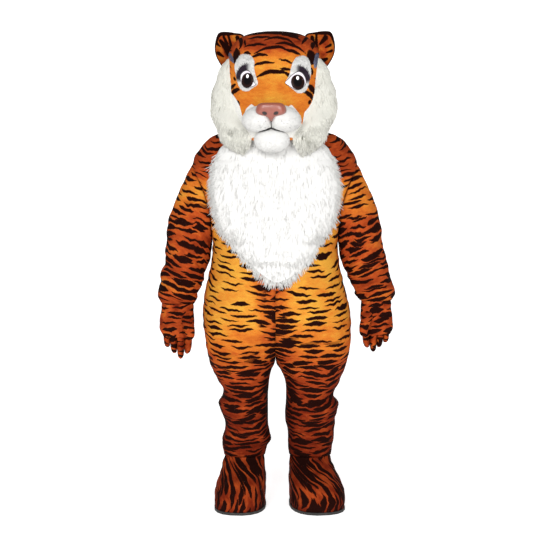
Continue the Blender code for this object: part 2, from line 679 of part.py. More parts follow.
def build_fingers(side, frame):
    """Four finger stalls whose roots tile the end of the hand, each open at its root."""
    drop, outer_shift, inner_shift, depth = GLOVE_ROWS[-1]
    cuff = cuff_of(side)
    inner = cuff["inner_x"] + inner_shift
    width = cuff["outer_x"] + outer_shift - inner
    end = (cuff["inner_height"] + cuff["outer_height"]) / 2 - drop - SEAM_GAP
    gap = SEAM_GAP / width
    for name, low, high, length, lean in FINGER_ROWS:
        section = finger_section(low + gap, high - gap, depth)
        middle = section.mean(axis=0)
        reach = length * FINGER_LENGTH_SCALE[side]
        rings = []
        for along, scale in FINGER_TAPER:
            spot = middle + (section - middle) * scale
            x = inner + width * spot[:, 0] + lean * along**2
            tilt = (cuff["outer_height"] - cuff["inner_height"]) * (spot[:, 0] - 0.5) * (1 - along)
            z = end + tilt - reach * along
            y = cuff["centre_y"] + spot[:, 1] - FINGER_BEND * along**2
            rings.append(np.stack([SIDE_SIGN[side] * x, y, z], axis=-1))
        closed_tube(f"glove_{side}_{name}", np.array(rings), GLOVE_WALL, "tiger_plush", frame)


def closed_tube(name, rings, wall, material, parent):
    """A stall: a tube that is open at its first ring and closed at its last, with an even wall."""
    centre = rings.mean(axis=1, keepdims=True)
    normals = square_ends(rings, grid_normals(rings, rings - centre, closed=True))
    normals[-1] = (normals[-1] + 2 * (centre[-1] - centre[-2]) / np.linalg.norm(centre[-1] - centre[-2]))
    normals[-1] /= np.linalg.norm(normals[-1], axis=1, keepdims=True)
    inner = rings - normals * wall
    axis = (centre[-1] - centre[-2])[0]
    axis *= wall * STALL_TIP_WALL / np.linalg.norm(axis)
    inner[-1] = centre[-1] + (rings[-1] - centre[-1]) * STALL_TIP_SHRINK - axis
    rows, sides = rings.shape[:2]
    count = rows * sides
    faces = []
    for r in range(rows - 1):
        for c in range(sides):
            d = (c + 1) % sides
            quad = (r * sides + c, r * sides + d, (r + 1) * sides + d, (r + 1) * sides + c)
            faces.append(quad)
            faces.append(tuple(count + i for i in reversed(quad)))
    faces.append(tuple(range(count - sides, count)))
    faces.append(tuple(count + i for i in reversed(range(count - sides, count))))
    for c in range(sides):
        d = (c + 1) % sides
        faces.append((d, c, count + c, count + d))
    vertices = np.concatenate([rings.reshape(-1, 3), inner.reshape(-1, 3)])
    return make_object(name, vertices, faces, material, parent)


def tube_form(name, rings, parent):
    """A closed cutter from rings, with a flat end at the first and the last."""
    rows, sides = rings.shape[:2]
    faces = [tuple(range(sides)), tuple(reversed(range((rows - 1) * sides, rows * sides)))]
    for r in range(rows - 1):
        for c in range(sides):
            d = (c + 1) % sides
            faces.append((r * sides + c, r * sides + d, (r + 1) * sides + d, (r + 1) * sides + c))
    return as_cutter(make_object(name, rings.reshape(-1, 3), faces, "tiger_plush", parent))


def thumb_rings(hand_points, hand_normals, inset=0.0):
    """Rings of a thumb that leaves the hand's inner front and bends down, less an inset all round."""
    spot = hand_points[THUMB_RING, THUMB_POINT]
    out = hand_normals[THUMB_RING, THUMB_POINT]
    down = np.array([0.0, -THUMB_LEAN, -1.0])
    across = np.cross(out, down)
    across /= np.linalg.norm(across)
    angle = np.arange(FINGER_SIDES) * 2 * np.pi / FINGER_SIDES
    rings = []
    for along, scale in FINGER_TAPER:
        travel = THUMB_LENGTH * (1 - THUMB_CORE_SHORTER * inset / GLOVE_WALL)
        middle = spot - out * THUMB_SINK + out * THUMB_STAND * math.sin(along * np.pi / 2)
        middle = middle + down * travel * along**THUMB_BEND_POWER
        heading = out * (1 - along) + down * (THUMB_START_BEND + along)
        up = np.cross(across, heading / np.linalg.norm(heading))
        ring = np.cos(angle)[:, None] * across + np.sin(angle)[:, None] * up
        rings.append(middle + (THUMB_ROOT_RADIUS * scale - inset) * ring)
    return np.array(rings)


def build_thumb(side, frame, hand, hand_points, hand_normals):
    """A thumb stall that is cut to the hand, and the hole in the hand that opens into it."""
    rings = thumb_rings(hand_points, hand_normals)
    thumb = closed_tube(f"glove_{side}_thumb", rings, GLOVE_WALL, "tiger_plush", frame)
    grown_hand = hand_points + hand_normals * SEAT_GAP
    boolean(thumb, tube_form(f"hand_form_{side}", grown_hand, frame), "DIFFERENCE")
    core = thumb_rings(hand_points, hand_normals, 2 * GLOVE_WALL)
    boolean(hand, tube_form(f"thumb_core_{side}", core, frame), "DIFFERENCE")


def build_gloves(floor):
    """Two gloves: a hand that tucks into the cuff, four fingers and a thumb."""
    for side in SIDE_SIGN:
        rings = np.array([glove_ring(side, *row) for row in GLOVE_ROWS])
        centre = rings.mean(axis=1, keepdims=True)
        normals = square_ends(rings, grid_normals(rings, rings - centre, closed=True))
        hand = cloth_wall(f"glove_{side}_hand", rings, normals, GLOVE_WALL, "tiger_plush", floor, closed=True)
        build_fingers(side, floor)
        build_thumb(side, floor, hand, rings, normals)


def ankle_section(side):
    """Middle and half sizes of a leg's hem, in X and Y."""
    row = dict(zip(SUIT_COLUMNS, SUIT_ROWS[-1]))
    edge, inner = row[f"side_{side}"], row[f"inner_{side}"]
    return (edge + inner) / 2, (edge - inner) / 2, row["front"], row["back"]


def foot_outline(side, angle):
    """Outline of the sole in the foot's frame: 90 degrees is the toe, and the toe end is wider."""
    forward = signed_power(np.sin(angle), FOOT_TOE_SQUARENESS)
    wide = signed_power(np.cos(angle), FOOT_SIDE_SQUARENESS)
    x = FOOT_HALF_WIDTH[side] * wide * (1 + FOOT_FLARE * forward)
    y = (FOOT_HEEL - FOOT_TOE) / 2 - (FOOT_HEEL + FOOT_TOE) / 2 * forward
    return x, y


def foot_rings(side):
    """Rings of a foot cover in the foot's frame, from the sole's edge up to the ankle."""
    angle = np.arange(FOOT_SIDES) * 2 * np.pi / FOOT_SIDES
    _, half_x, front, back = ankle_section(side)
    shrink = math.cos(math.pi / (2 * SUIT_COLUMN_COUNT))
    fit = PLUSH + ANKLE_EASE
    ankle_x = ((half_x - fit) * shrink) * np.cos(angle)
    depth = np.where(np.sin(angle) > 0, front, back)
    ankle_y = -((depth - fit) * shrink) * np.sin(angle)
    sole_x, sole_y = foot_outline(side, angle)
    rings = []
    for height, mix, swell in FOOT_ROWS:
        x = sole_x + (ankle_x - sole_x) * mix
        y = sole_y + (ankle_y - sole_y) * mix
        rings.append(np.stack([x, y - swell * np.maximum(np.sin(angle), 0), height + 0 * x], axis=-1))
    return np.array(rings)


def build_feet(floor):
    """Two foot covers, each an upper over the shoe and a flat sole."""
    for side, sign in SIDE_SIGN.items():
        middle = ankle_section(side)[0]
        frame = make_frame(f"foot_frame_{side}", floor, (sign * middle, 0.0, 0.0))
        rings = foot_rings(side)
        share = np.clip((FOOT_ROWS[-2][0] - rings[..., 2]) / FOOT_TWIST_OVER, 0, 1)
        turn = np.radians(FOOT_TURN[side]) * share
        x = rings[..., 0] * np.cos(turn) - rings[..., 1] * np.sin(turn) + sign * FOOT_SHIFT[side] * share
        y = rings[..., 0] * np.sin(turn) + rings[..., 1] * np.cos(turn)
        rings[..., 0], rings[..., 1] = x, y
        normals = grid_normals(rings, rings - rings.mean(axis=1, keepdims=True), closed=True)
        normals = square_ends(rings, normals)
        cloth_wall(f"foot_{side}_upper", rings, normals, PLUSH, "tiger_plush", frame, closed=True)
        outline = rings[0] + normals[0] * [SOLE_WELT, SOLE_WELT, 0]
        low, high = outline.copy(), outline.copy()
        low[:, 2], high[:, 2] = 0.0, SOLE_THICKNESS
        vertices = np.concatenate([low, high])
        make_object(f"foot_{side}_sole", vertices, prism_faces(len(outline)), "sole_rubber", frame, CRISP)


def bib_half(height, side):
    """Half-width of the bib on one side at a height."""
    return size_at(BIB_ROWS, BIB_COLUMNS, f"{side}_half", height)


def bib_outline():
    """Outline of the bib seen from the front: smooth at the neck, ragged with locks elsewhere."""
    top, bottom = BIB_ROWS[0][0], BIB_ROWS[-1][0]
    count = (len(BIB_ROWS) - 1) * BIB_LOCKS_PER_ROW
    heights = np.linspace(top, bottom, 2 * count + 1)
    lock = np.where(np.arange(len(heights)) % 2 == 1, BIB_LOCK_REACH, 0.0)
    mean, swing, turn = BIB_LOCK_UNEVENNESS
    lock *= mean + swing * np.sin(turn * np.arange(len(heights)))
    lock *= np.clip((top - heights) / BIB_LOCK_FADE, 0, 1)
    left = [(bib_half(z, "left") + k, z - k) for z, k in zip(heights, lock)]
    right = [(-bib_half(z, "right") - k, z - k) for z, k in zip(heights, lock)]
    return left + right[::-1]


def prism_faces(count):
    """Faces between two like outlines of so many points: both ends, then the sides."""
    ends = [tuple(range(count)), tuple(count + i for i in reversed(range(count)))]
    return ends + [(i, count + i, count + (i + 1) % count, (i + 1) % count) for i in range(count)]


def prism(name, outline, near, far, parent):
    """A cutter: an outline in X and height, carried straight back along Y."""
    vertices = [(x, near, z) for x, z in outline] + [(x, far, z) for x, z in outline]
    return as_cutter(make_object(name, vertices, prism_faces(len(outline)), "white_fur", parent))


def chest_grid(low, high):
    """Rows of both front panels between two heights as one grid, from the right armhole to the left."""
    heights = [z for z in suit_heights() if low < z < high]
    right, right_normals = suit_grid("right", "front", heights)
    left, left_normals = suit_grid("left", "front", heights)
    points = np.concatenate([right[:, :-1], left[:, ::-1]], axis=1)
    normals = np.concatenate([right_normals[:, :-1], left_normals[:, ::-1]], axis=1)
    middle = right.shape[1] - 1
    points[:, middle, 0] = 0.0
    return points, normals


def build_bib(floor):
    """White bib of long fur, its back parallel to the front panels and its face bulging."""
    points, normals = chest_grid(BIB_ROWS[-1][0] - BIB_ROWS_BELOW, BIB_ROWS[0][0] + BIB_ROWS_ABOVE)
    half = np.where(points[..., 0] < 0, bib_half(points[..., 2], "right"), bib_half(points[..., 2], "left"))
    inside = np.clip((half - np.abs(points[..., 0])) / BIB_CREST, 0, 1)
    fur = BIB_EDGE_FUR + (BIB_FUR - BIB_EDGE_FUR) * inside * (2 - inside)
    outer = points + normals * (SEAT_GAP + fur[..., None])
    bib = cloth_wall("chest_bib", outer, normals, fur, "white_fur", floor, base=points)
    boolean(bib, prism("bib_outline", bib_outline(), *BIB_CUT, floor), "INTERSECT")


def back_line(height):
    """Depth of the suit's back at the middle."""
    return size_at(SUIT_ROWS, SUIT_COLUMNS, "back", height)


def build_zip(floor):
    """Zip in the centre back: a strip with its chain, a slider at the top and a hanging pull."""
    panel, normals = suit_grid("left", "back", suit_heights())
    rows_in = [k for k, z in enumerate(suit_heights()) if ZIP_BOTTOM <= z <= ZIP_TOP]
    profile = (
        (-ZIP_TAPE_HALF, 0.0), (-ZIP_CHAIN_HALF, 0.0), (-ZIP_CHAIN_HALF, ZIP_CHAIN_HEIGHT),
        (ZIP_CHAIN_HALF, ZIP_CHAIN_HEIGHT), (ZIP_CHAIN_HALF, 0.0), (ZIP_TAPE_HALF, 0.0),
        (ZIP_TAPE_HALF, -ZIP_TAPE_THICKNESS), (-ZIP_TAPE_HALF, -ZIP_TAPE_THICKNESS),
    )
    vertices = []
    for row in rows_in:
        lining = (panel[row] - normals[row] * (PLUSH + SEAT_GAP))[::-1]
        for x, out in profile:
            behind, level, rise = (
                np.interp(abs(x), lining[:, 0], values)
                for values in (lining[:, 1], lining[:, 2], normals[row, ::-1, 2])
            )
            vertices.append((x, behind + out * math.sqrt(1 - rise**2), level + out * rise))
    count, rows = len(profile), len(rows_in)
    faces = [tuple(range(count)), tuple((rows - 1) * count + i for i in reversed(range(count)))]
    for r in range(rows - 1):
        for i in range(count):
            j = (i + 1) % count
            faces.append((r * count + i, (r + 1) * count + i, (r + 1) * count + j, r * count + j))
    make_object("zip_strip", vertices, faces, "zip_tape", floor, CRISP)
    build_slider(floor)


def build_slider(floor):
    """Slider body with a bail on it, and the pull that swings on the bail's pin.

    Both are made in a frame that lies on the slope of the back, with +Y out of the back.
    """
    width, depth, length = SLIDER_SIZE
    height = ZIP_TOP - length
    slope = float(back_line(height - length) - back_line(height + length)) / (2 * length)
    chain = float(back_line(height)) - PLUSH - 2 * SEAT_GAP + ZIP_CHAIN_HEIGHT
    frame = make_frame("slider_frame", floor, (0.0, chain + SLIDER_LIFT, height))
    frame.rotation_euler = (math.atan(slope), 0.0, 0.0)
    slider = block("zip_slider", (width, depth, length), (0.0, depth / 2, 0.0), "zip_metal", frame)
    for sign in (-1, 1):
        middle = (sign * (EYE_HALF + CHEEK_EASE + CHEEK / 2), depth + CHEEK_RISE / 2 - CHEEK / 2, 0.0)
        cheek = block(f"bail_cheek_{sign}", (CHEEK, CHEEK_RISE + CHEEK, CHEEK_LENGTH), middle, "zip_metal", frame)
        boolean(slider, as_cutter(cheek), "UNION")
    pin_half = EYE_HALF + CHEEK_EASE + CHEEK / 2
    pin = barrel("bail_pin", PIN_RADIUS, pin_half, "zip_metal", frame)
    pin.location = (0.0, depth + PIN_RISE, 0.0)
    boolean(slider, as_cutter(pin), "UNION")
    hinge = make_frame("pull_hinge", frame, (0.0, depth + PIN_RISE, 0.0))
    build_pull(hinge)


def build_pull(hinge):
    """Pull tab with a round eye that hangs on the pin, which is the frame's origin."""
    width, depth, length = PULL_SIZE
    outline = (
        (-EYE_HALF, 0.0), (EYE_HALF, 0.0), (EYE_HALF, -PULL_NECK), (width / 2, -PULL_NECK - PULL_CORNER),
        (width / 2, -length + PULL_CORNER), (width / 2 - PULL_CORNER, -length),
        (-width / 2 + PULL_CORNER, -length), (-width / 2, -length + PULL_CORNER),
        (-width / 2, -PULL_NECK - PULL_CORNER), (-EYE_HALF, -PULL_NECK),
    )
    vertices = [(x, -depth / 2, z) for x, z in outline] + [(x, depth / 2, z) for x, z in outline]
    pull = make_object("zip_pull", vertices, prism_faces(len(outline)), "zip_metal", hinge, CRISP)
    boolean(pull, as_cutter(barrel("pull_eye", EYE_RADIUS, EYE_HALF, "zip_metal", hinge)), "UNION")
    hole = barrel("pull_hole", PIN_RADIUS + PIN_EASE, 2 * EYE_HALF, "zip_metal", hinge)
    boolean(pull, as_cutter(hole), "DIFFERENCE")


def barrel(name, radius, half, material, parent):
    """A round bar along X, round its parent's origin."""
    angle = np.arange(BARREL_SIDES) * 2 * np.pi / BARREL_SIDES
    ring = np.stack([0 * angle, radius * np.cos(angle), radius * np.sin(angle)], axis=-1)
    vertices = np.concatenate([ring - [half, 0, 0], ring + [half, 0, 0]])
    return make_object(name, vertices, prism_faces(BARREL_SIDES), material, parent)


def block(name, size, middle, material, parent):
    """A box of a size, round its middle."""
    low = [m - s / 2 for m, s in zip(middle, size)]
    high = [m + s / 2 for m, s in zip(middle, size)]
    vertices = [(x, y, z) for x in (low[0], high[0]) for y in (low[1], high[1]) for z in (low[2], high[2])]
    faces = [(0, 1, 3, 2), (4, 6, 7, 5), (0, 4, 5, 1), (2, 3, 7, 6), (0, 2, 6, 4), (1, 5, 7, 3)]
    return make_object(name, vertices, faces, material, parent, CRISP)


def face_relief(x, height):
    """How far the face stands in front of the plain head at a place seen from the front."""
    total = np.zeros(np.broadcast(x, height).shape)
    for middle, rise, spread_x, spread_height, power, forward in RELIEF_ROWS:
        away = ((np.abs(x) - middle) / spread_x) ** 2 + ((height - rise) / spread_height) ** 2
        total += forward * np.exp(-(away**power))
    return total


def head_surface(angle, height):
    """Outer surface of the head: angle is from the front in degrees, height is the ring's own.

    The rings are rounded rectangles. Below CHIN_DROP_FROM the front of a ring hangs lower, and the
    relief of the face pushes the front half forwards.
    """
    half = size_at(HEAD_ROWS, HEAD_COLUMNS, "half_width", height)
    turn = np.radians(angle)
    ahead = np.cos(turn)
    depth = np.where(
        ahead > 0,
        size_at(HEAD_ROWS, HEAD_COLUMNS, "front", height),
        size_at(HEAD_ROWS, HEAD_COLUMNS, "back", height),
    )
    x = half * signed_power(np.sin(turn), HEAD_SQUARENESS)
    y = -depth * signed_power(ahead, HEAD_SQUARENESS)
    low = np.clip((CHIN_DROP_FROM - height) / (CHIN_DROP_FROM - RIM_HEIGHT), 0, 1)
    z = height - CHIN_DROP * low**CHIN_DROP_DOWN * np.clip(ahead, 0, 1) ** CHIN_DROP_ROUND
    y = y - face_relief(x, z) * np.clip(ahead * RELIEF_FADE, 0, 1)
    return np.stack([x, y, z], axis=-1)


def head_grid(angles, heights, lift=0.0):
    """Points and normals of the head over some angles and rings, moved out by a lift."""
    angle, height = np.meshgrid(np.array(angles, float), np.array(heights, float))
    points = head_surface(angle, height)
    middle = np.array([0.0, 0.0, CHIN_DROP_FROM])
    normals = grid_normals(points, points - middle)
    return points + normals * lift, normals


def head_angles():
    """Angles of the head's columns all round, from one ear seam by the front and the back."""
    front = np.linspace(-HEAD_FRONT_HALF_ANGLE, HEAD_FRONT_HALF_ANGLE, HEAD_FRONT_COLUMNS + 1)
    back = np.linspace(HEAD_FRONT_HALF_ANGLE, 360 - HEAD_FRONT_HALF_ANGLE, HEAD_BACK_COLUMNS + 1)[1:-1]
    return np.concatenate([front, back])


def head_form(name, lift, frame):
    """Closed cutter of the whole head, moved out, so that what sits on it fits with a gap."""
    angles = head_angles()
    padded = np.concatenate([angles[-1:] - 360, angles, angles[:1] + 360])
    base, normals = head_grid(padded, HEAD_RING_HEIGHTS)
    base, normals = base[:, 1:-1], normals[:, 1:-1]
    below = base[-1:] - [0.0, 0.0, RIM_REACH]
    base, normals = np.concatenate([base, below]), np.concatenate([normals, normals[-1:]])
    points = (base + normals * lift).reshape(-1, 3)
    rows, columns = base.shape[:2]
    flat = base.reshape(-1, 3)
    faces = []
    for r in range(rows - 1):
        for c in range(columns):
            d = (c + 1) % columns
            quad = (r * columns + c, r * columns + d, (r + 1) * columns + d, (r + 1) * columns + c)
            faces += split_quad(*quad, flat)
    ends = ((0, points[:columns].mean(axis=0)), ((rows - 1) * columns, points[-columns:].mean(axis=0)))
    for first, middle in ends:
        points = np.concatenate([points, [middle]])
        faces += [(first + c, first + (c + 1) % columns, len(points) - 1) for c in range(columns)]
    return as_cutter(make_object(name, points, faces, "white_fur", frame))


def build_head_shell(frame):
    """Front and back of the head, sewn together from ear to ear."""
    spans = {
        "front": np.linspace(-HEAD_FRONT_HALF_ANGLE, HEAD_FRONT_HALF_ANGLE, HEAD_FRONT_COLUMNS + 1),
        "back": np.linspace(HEAD_FRONT_HALF_ANGLE, 360 - HEAD_FRONT_HALF_ANGLE, HEAD_BACK_COLUMNS + 1),
    }
    for face, angles in spans.items():
        step = angles[1] - angles[0]
        padded = np.concatenate([angles[:1] - step, angles, angles[-1:] + step])
        points, normals = head_grid(padded, HEAD_RING_HEIGHTS)
        points, normals = points[:, 1:-1].copy(), normals[:, 1:-1]
        points[..., 1] += FACE_SIGN[face] * SEAM_GAP / 2
        cloth_wall(f"head_{face}", points, normals, HEAD_WALL, "tiger_plush", frame)


def rounded_form(name, form, material, frame, side="left"):
    """An ellipsoid from a row of centre, radii and tilt, mirrored for the right side."""
    row = dict(zip(FORM_COLUMNS, form))
    sign = SIDE_SIGN[side]
    mesh = bpy.data.meshes.new(name)
    work = bmesh.new()
    bmesh.ops.create_uvsphere(work, u_segments=FORM_SEGMENTS, v_segments=FORM_RINGS, radius=1.0)
    place = (
        Matrix.Translation((sign * row["x"], row["y"], row["height"]))
        @ Matrix.Rotation(math.radians(sign * row["tilt"]), 4, "Y")
        @ Matrix.Diagonal((row["radius_x"], row["radius_y"], row["radius_height"], 1.0))
    )
    bmesh.ops.transform(work, matrix=place, verts=work.verts)
    work.to_mesh(mesh)
    work.free()
    mesh.shade_smooth()
    mesh.materials.append(make_material(material))
    obj = bpy.data.objects.new(name, mesh)
    bpy.context.scene.collection.objects.link(obj)
    obj.parent = frame
    return obj


def grown(form, amount):
    """The same form with each radius larger by an amount, for a cutter."""
    x, y, height, radius_x, radius_y, radius_height, tilt = form
    return (x, y, height, radius_x + amount, radius_y + amount, radius_height + amount, tilt)


def build_face(frame, shell_form):
    """Muzzle halves, chin, nose, eye patches, eyes and pupils, each cut to sit on what is behind it."""
    muzzle_cutters = {}
    for side, sign in SIDE_SIGN.items():
        muzzle = rounded_form(f"muzzle_{side}", MUZZLE_FORM, "white_fur", frame, side)
        half_box = (sign * (MUZZLE_BOX / 2 + SEAM_GAP / 2), MUZZLE_FORM[1], MUZZLE_FORM[2])
        half = block(f"muzzle_half_{side}", (MUZZLE_BOX,) * 3, half_box, "white_fur", frame)
        boolean(muzzle, as_cutter(half), "INTERSECT")
        boolean(muzzle, shell_form, "DIFFERENCE")
        cutter = rounded_form(f"muzzle_cutter_{side}", grown(MUZZLE_FORM, SEAT_GAP), "white_fur", frame, side)
        muzzle_cutters[side] = as_cutter(cutter)
    chin = rounded_form("chin", CHIN_FORM, "white_fur", frame)
    nose = rounded_form("nose", NOSE_TOP_FORM, "nose_leather", frame)
    tip = as_cutter(rounded_form("nose_tip", NOSE_TIP_FORM, "nose_leather", frame))
    boolean(nose, tip, "UNION")
    for piece in (chin, nose):
        boolean(piece, shell_form, "DIFFERENCE")
        for cutter in muzzle_cutters.values():
            boolean(piece, cutter, "DIFFERENCE")
    patch_form = head_form("patch_form", SEAT_GAP * 2 + EYE_PATCH_THICKNESS, frame)
    for side in SIDE_SIGN:
        build_eye(side, frame, patch_form)


def build_eye(side, frame, patch_form):
    """A white patch parallel to the face, the white of the eye on it, and a black pupil on that."""
    sign = SIDE_SIGN[side]
    low, high = sorted(sign * angle for angle in EYE_PATCH_ANGLES)
    step = 2 * HEAD_FRONT_HALF_ANGLE / HEAD_FRONT_COLUMNS
    angles = [a for a in np.linspace(-HEAD_FRONT_HALF_ANGLE, HEAD_FRONT_HALF_ANGLE, HEAD_FRONT_COLUMNS + 1)
              if low - step < a < high + step]
    heights = [z for z in HEAD_RING_HEIGHTS if EYE_PATCH_HEIGHTS[0] < z < EYE_PATCH_HEIGHTS[1]]
    points, normals = head_grid(angles, heights)
    outer = points + normals * (SEAT_GAP + EYE_PATCH_THICKNESS)
    patch = cloth_wall(
        f"eye_patch_{side}", outer, normals, EYE_PATCH_THICKNESS, "white_fur", frame, base=points,
    )
    outline = [(sign * x, z) for x, z in EYE_PATCH_OUTLINE]
    boolean(patch, prism(f"patch_outline_{side}", outline, *EYE_PATCH_CUT, frame), "INTERSECT")
    white = rounded_form(f"eye_white_{side}", EYE_WHITE_FORM, "eye_white", frame, side)
    boolean(white, patch_form, "DIFFERENCE")
    pupil = rounded_form(f"pupil_{side}", PUPIL_FORM, "eye_black", frame, side)
    cutter = rounded_form(f"eye_cutter_{side}", grown(EYE_WHITE_FORM, SEAT_GAP), "eye_white", frame, side)
    boolean(pupil, as_cutter(cutter), "DIFFERENCE")
    boolean(pupil, patch_form, "DIFFERENCE")


def build_ears(frame, shell_form):
    """Two cupped ears, each a padded wall cut to the head."""
    for side, sign in SIDE_SIGN.items():
        turn = math.radians(EAR_TURN)
        rings = []
        for scale, back in EAR_RINGS:
            ring = []
            for x, z in EAR_OUTLINE:
                ring.append((x * scale * math.cos(turn), back + x * scale * math.sin(turn), z * scale))
            rings.append(ring)
        points = np.array(rings)
        middle = np.array(EAR_MIDDLE)
        points = (points + middle) * [sign, 1, 1]
        forwards = np.broadcast_to([0.0, -1.0, 0.0], points.shape)
        normals = grid_normals(points, forwards, closed=True)
        normals[-1] = (0.0, -1.0, 0.0)
        ear = cloth_wall(f"ear_{side}", points, normals, EAR_WALL, "tiger_plush", frame, closed=True)
        boolean(ear, shell_form, "DIFFERENCE")


def ruff_grid(side):
    """Outer points, outward directions and thickness of one cheek ruff."""
    share = np.linspace(0, 1, RUFF_COLUMN_COUNT)
    points, outwards, thickness = [], [], []
    for height, low, high, base_x, base_front, fur in RUFF_ROWS:
        turn = np.radians(low + (high - low) * share)
        direction = np.stack([np.sin(turn), -np.cos(turn), 0 * turn], axis=-1)
        base = np.stack([base_x * np.sin(turn), -base_front * np.cos(turn), height + 0 * turn], axis=-1)
        across = RUFF_EDGE_SHARE + (1 - 2 * RUFF_EDGE_SHARE) * share
        bulge = fur * np.sin(np.pi * across) ** RUFF_ROUNDNESS
        points.append(base + direction * bulge[:, None])
        outwards.append(direction)
        thickness.append(bulge + RUFF_SINK)
    points, outwards = np.array(points), np.array(outwards)
    mirror = [SIDE_SIGN[side], 1, 1]
    return points * mirror, outwards * mirror, np.array(thickness)


def build_ruffs(frame, shell_form, floor):
    """Two cheek ruffs that hang from the ears past the jaw, cut to the head and the chest."""
    chest = chest_form(floor)
    for side in SIDE_SIGN:
        points, outwards, thickness = ruff_grid(side)
        ruff = cloth_wall(f"cheek_ruff_{side}", points, outwards, thickness, "white_fur", frame)
        boolean(ruff, shell_form, "DIFFERENCE")
        boolean(ruff, chest, "DIFFERENCE")


def chest_form(floor):
    """Closed cutter of the chest with its bib, moved out by the seat gap."""
    points, normals = chest_grid(CHEST_FORM_BOTTOM, math.inf)
    outer = points + normals * (BIB_FUR + 3 * SEAT_GAP)
    form = cloth_wall("chest_form", outer, normals, CHEST_FORM_WALL, "white_fur", floor)
    return as_cutter(form)


def collar_ring(angle):
    """Points just above the suit's collar, at angles from the front, where 90 is the left side."""
    height = SUIT_TOP_HEIGHTS[0]
    ring = []
    for turn in np.radians(angle):
        side = "left" if math.sin(turn) >= 0 else "right"
        face = "front" if math.cos(turn) >= 0 else "back"
        across = 1 - math.asin(min(1.0, abs(math.sin(turn)))) * 2 / math.pi
        ring.append(suit_surface(side, face, np.array(across), np.array(height)))
    return np.array(ring) + [0.0, 0.0, SEAT_GAP]


def build_neck(floor, head):
    """Tube of tiger plush from the collar to the head, cut so that it fits inside the head's wall."""
    angle = head_angles()
    low = collar_ring(angle)
    padded = np.concatenate([angle[-1:] - 360, angle, angle[:1] + 360])
    around = HEAD_RING_HEIGHTS.index(NECK_HEAD_RING)
    rim, rim_normals = head_grid(padded, HEAD_RING_HEIGHTS)
    inside = (rim - rim_normals * (HEAD_WALL - NECK_OVERCUT))[around, 1:-1]
    turn = math.radians(HEAD_TURN)
    high = np.stack([
        inside[:, 0] * math.cos(turn) - inside[:, 1] * math.sin(turn) + HEAD_AXIS_X,
        inside[:, 0] * math.sin(turn) + inside[:, 1] * math.cos(turn),
        inside[:, 2],
    ], axis=-1)
    spokes = (high - high.mean(axis=0)) * [1, 1, 0]
    spokes /= np.linalg.norm(spokes, axis=1, keepdims=True)
    share = np.linspace(0, 1, NECK_RINGS)[:, None, None]
    points = low + (high - low) * share + spokes * NECK_BULGE * np.sin(np.pi * share)
    normals = grid_normals(points, points - points.mean(axis=1, keepdims=True), closed=True)
    normals = square_ends(points, normals)
    skirt = cloth_wall("neck_skirt", points, normals, PLUSH, "tiger_plush", floor, closed=True)
    boolean(skirt, head_form("head_inside", -HEAD_WALL - SEAT_GAP, head), "INTERSECT")


def build_costume():
    """Builds every piece of the costume."""
    clear_scene()
    floor = make_frame("floor_level", None, (0.0, 0.0, -HOLD_HEIGHT))
    head = make_frame("head_frame", floor, (HEAD_AXIS_X, 0.0, 0.0), HEAD_TURN)
    build_suit(floor)
    build_sleeves(floor)
    build_bib(floor)
    build_zip(floor)
    build_gloves(floor)
    build_feet(floor)
    build_head_shell(head)
    shell_form = head_form("shell_form", SEAT_GAP, head)
    build_face(head, shell_form)
    build_ears(head, shell_form)
    build_ruffs(head, shell_form, floor)
    build_neck(floor, head)


build_costume()
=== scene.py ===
"""Looks of the tiger mascot costume: striped plush, long white fur, a moulded nose and glossy eyes.

Lengths are in metres and +Z is up. The costume faces -Y and "right" is the wearer's right, at -X.
Heights are above the floor, and the frame's origin lies HOLD_HEIGHT above it, between the shoulders.
"""

import logging
import math
from dataclasses import dataclass, field
from enum import Enum

import bmesh
import bpy
import numpy as np
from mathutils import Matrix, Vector


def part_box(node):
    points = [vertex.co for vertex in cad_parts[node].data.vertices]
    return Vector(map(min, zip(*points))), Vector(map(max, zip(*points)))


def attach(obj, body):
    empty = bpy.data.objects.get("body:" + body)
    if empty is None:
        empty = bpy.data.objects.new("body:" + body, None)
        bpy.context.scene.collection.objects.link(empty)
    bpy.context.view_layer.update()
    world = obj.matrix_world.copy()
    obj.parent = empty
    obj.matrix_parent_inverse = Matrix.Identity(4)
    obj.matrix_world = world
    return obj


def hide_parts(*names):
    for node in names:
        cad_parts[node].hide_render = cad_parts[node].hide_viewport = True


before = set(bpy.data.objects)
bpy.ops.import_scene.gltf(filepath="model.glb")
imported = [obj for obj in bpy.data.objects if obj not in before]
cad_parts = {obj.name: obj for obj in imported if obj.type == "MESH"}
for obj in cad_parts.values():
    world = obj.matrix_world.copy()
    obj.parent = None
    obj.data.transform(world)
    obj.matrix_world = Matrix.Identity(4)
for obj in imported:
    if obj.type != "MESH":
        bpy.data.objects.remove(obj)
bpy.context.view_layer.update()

Array = np.ndarray
log = logging.getLogger("tiger_costume")

HOLD_HEIGHT = 1.37
PLUSH = 0.003
SEAM_GAP = 0.0004
ZIP_BOTTOM = 0.985
ZIP_HALF_GAP = 0.0050
SHOULDER_POINT = 1.335
UNDERARM = 1.030
ARMHOLE_HALF_DEPTH = 0.095
CHEST_SQUARENESS = 0.88
FORK_TOP = 0.800
CROTCH_HEIGHT = 0.556


class Side(Enum):
    """Side of the wearer, with the sign of its X."""

    RIGHT = -1.0
    LEFT = 1.0

    @property
    def word(self) -> str:
        """Name used in the names of pieces."""
        return self.name.lower()


class Face(Enum):
    """Front or back of the costume, with the sign of its Y."""

    FRONT = -1.0
    BACK = 1.0

    @property
    def word(self) -> str:
        """Name used in the names of pieces."""
        return self.name.lower()


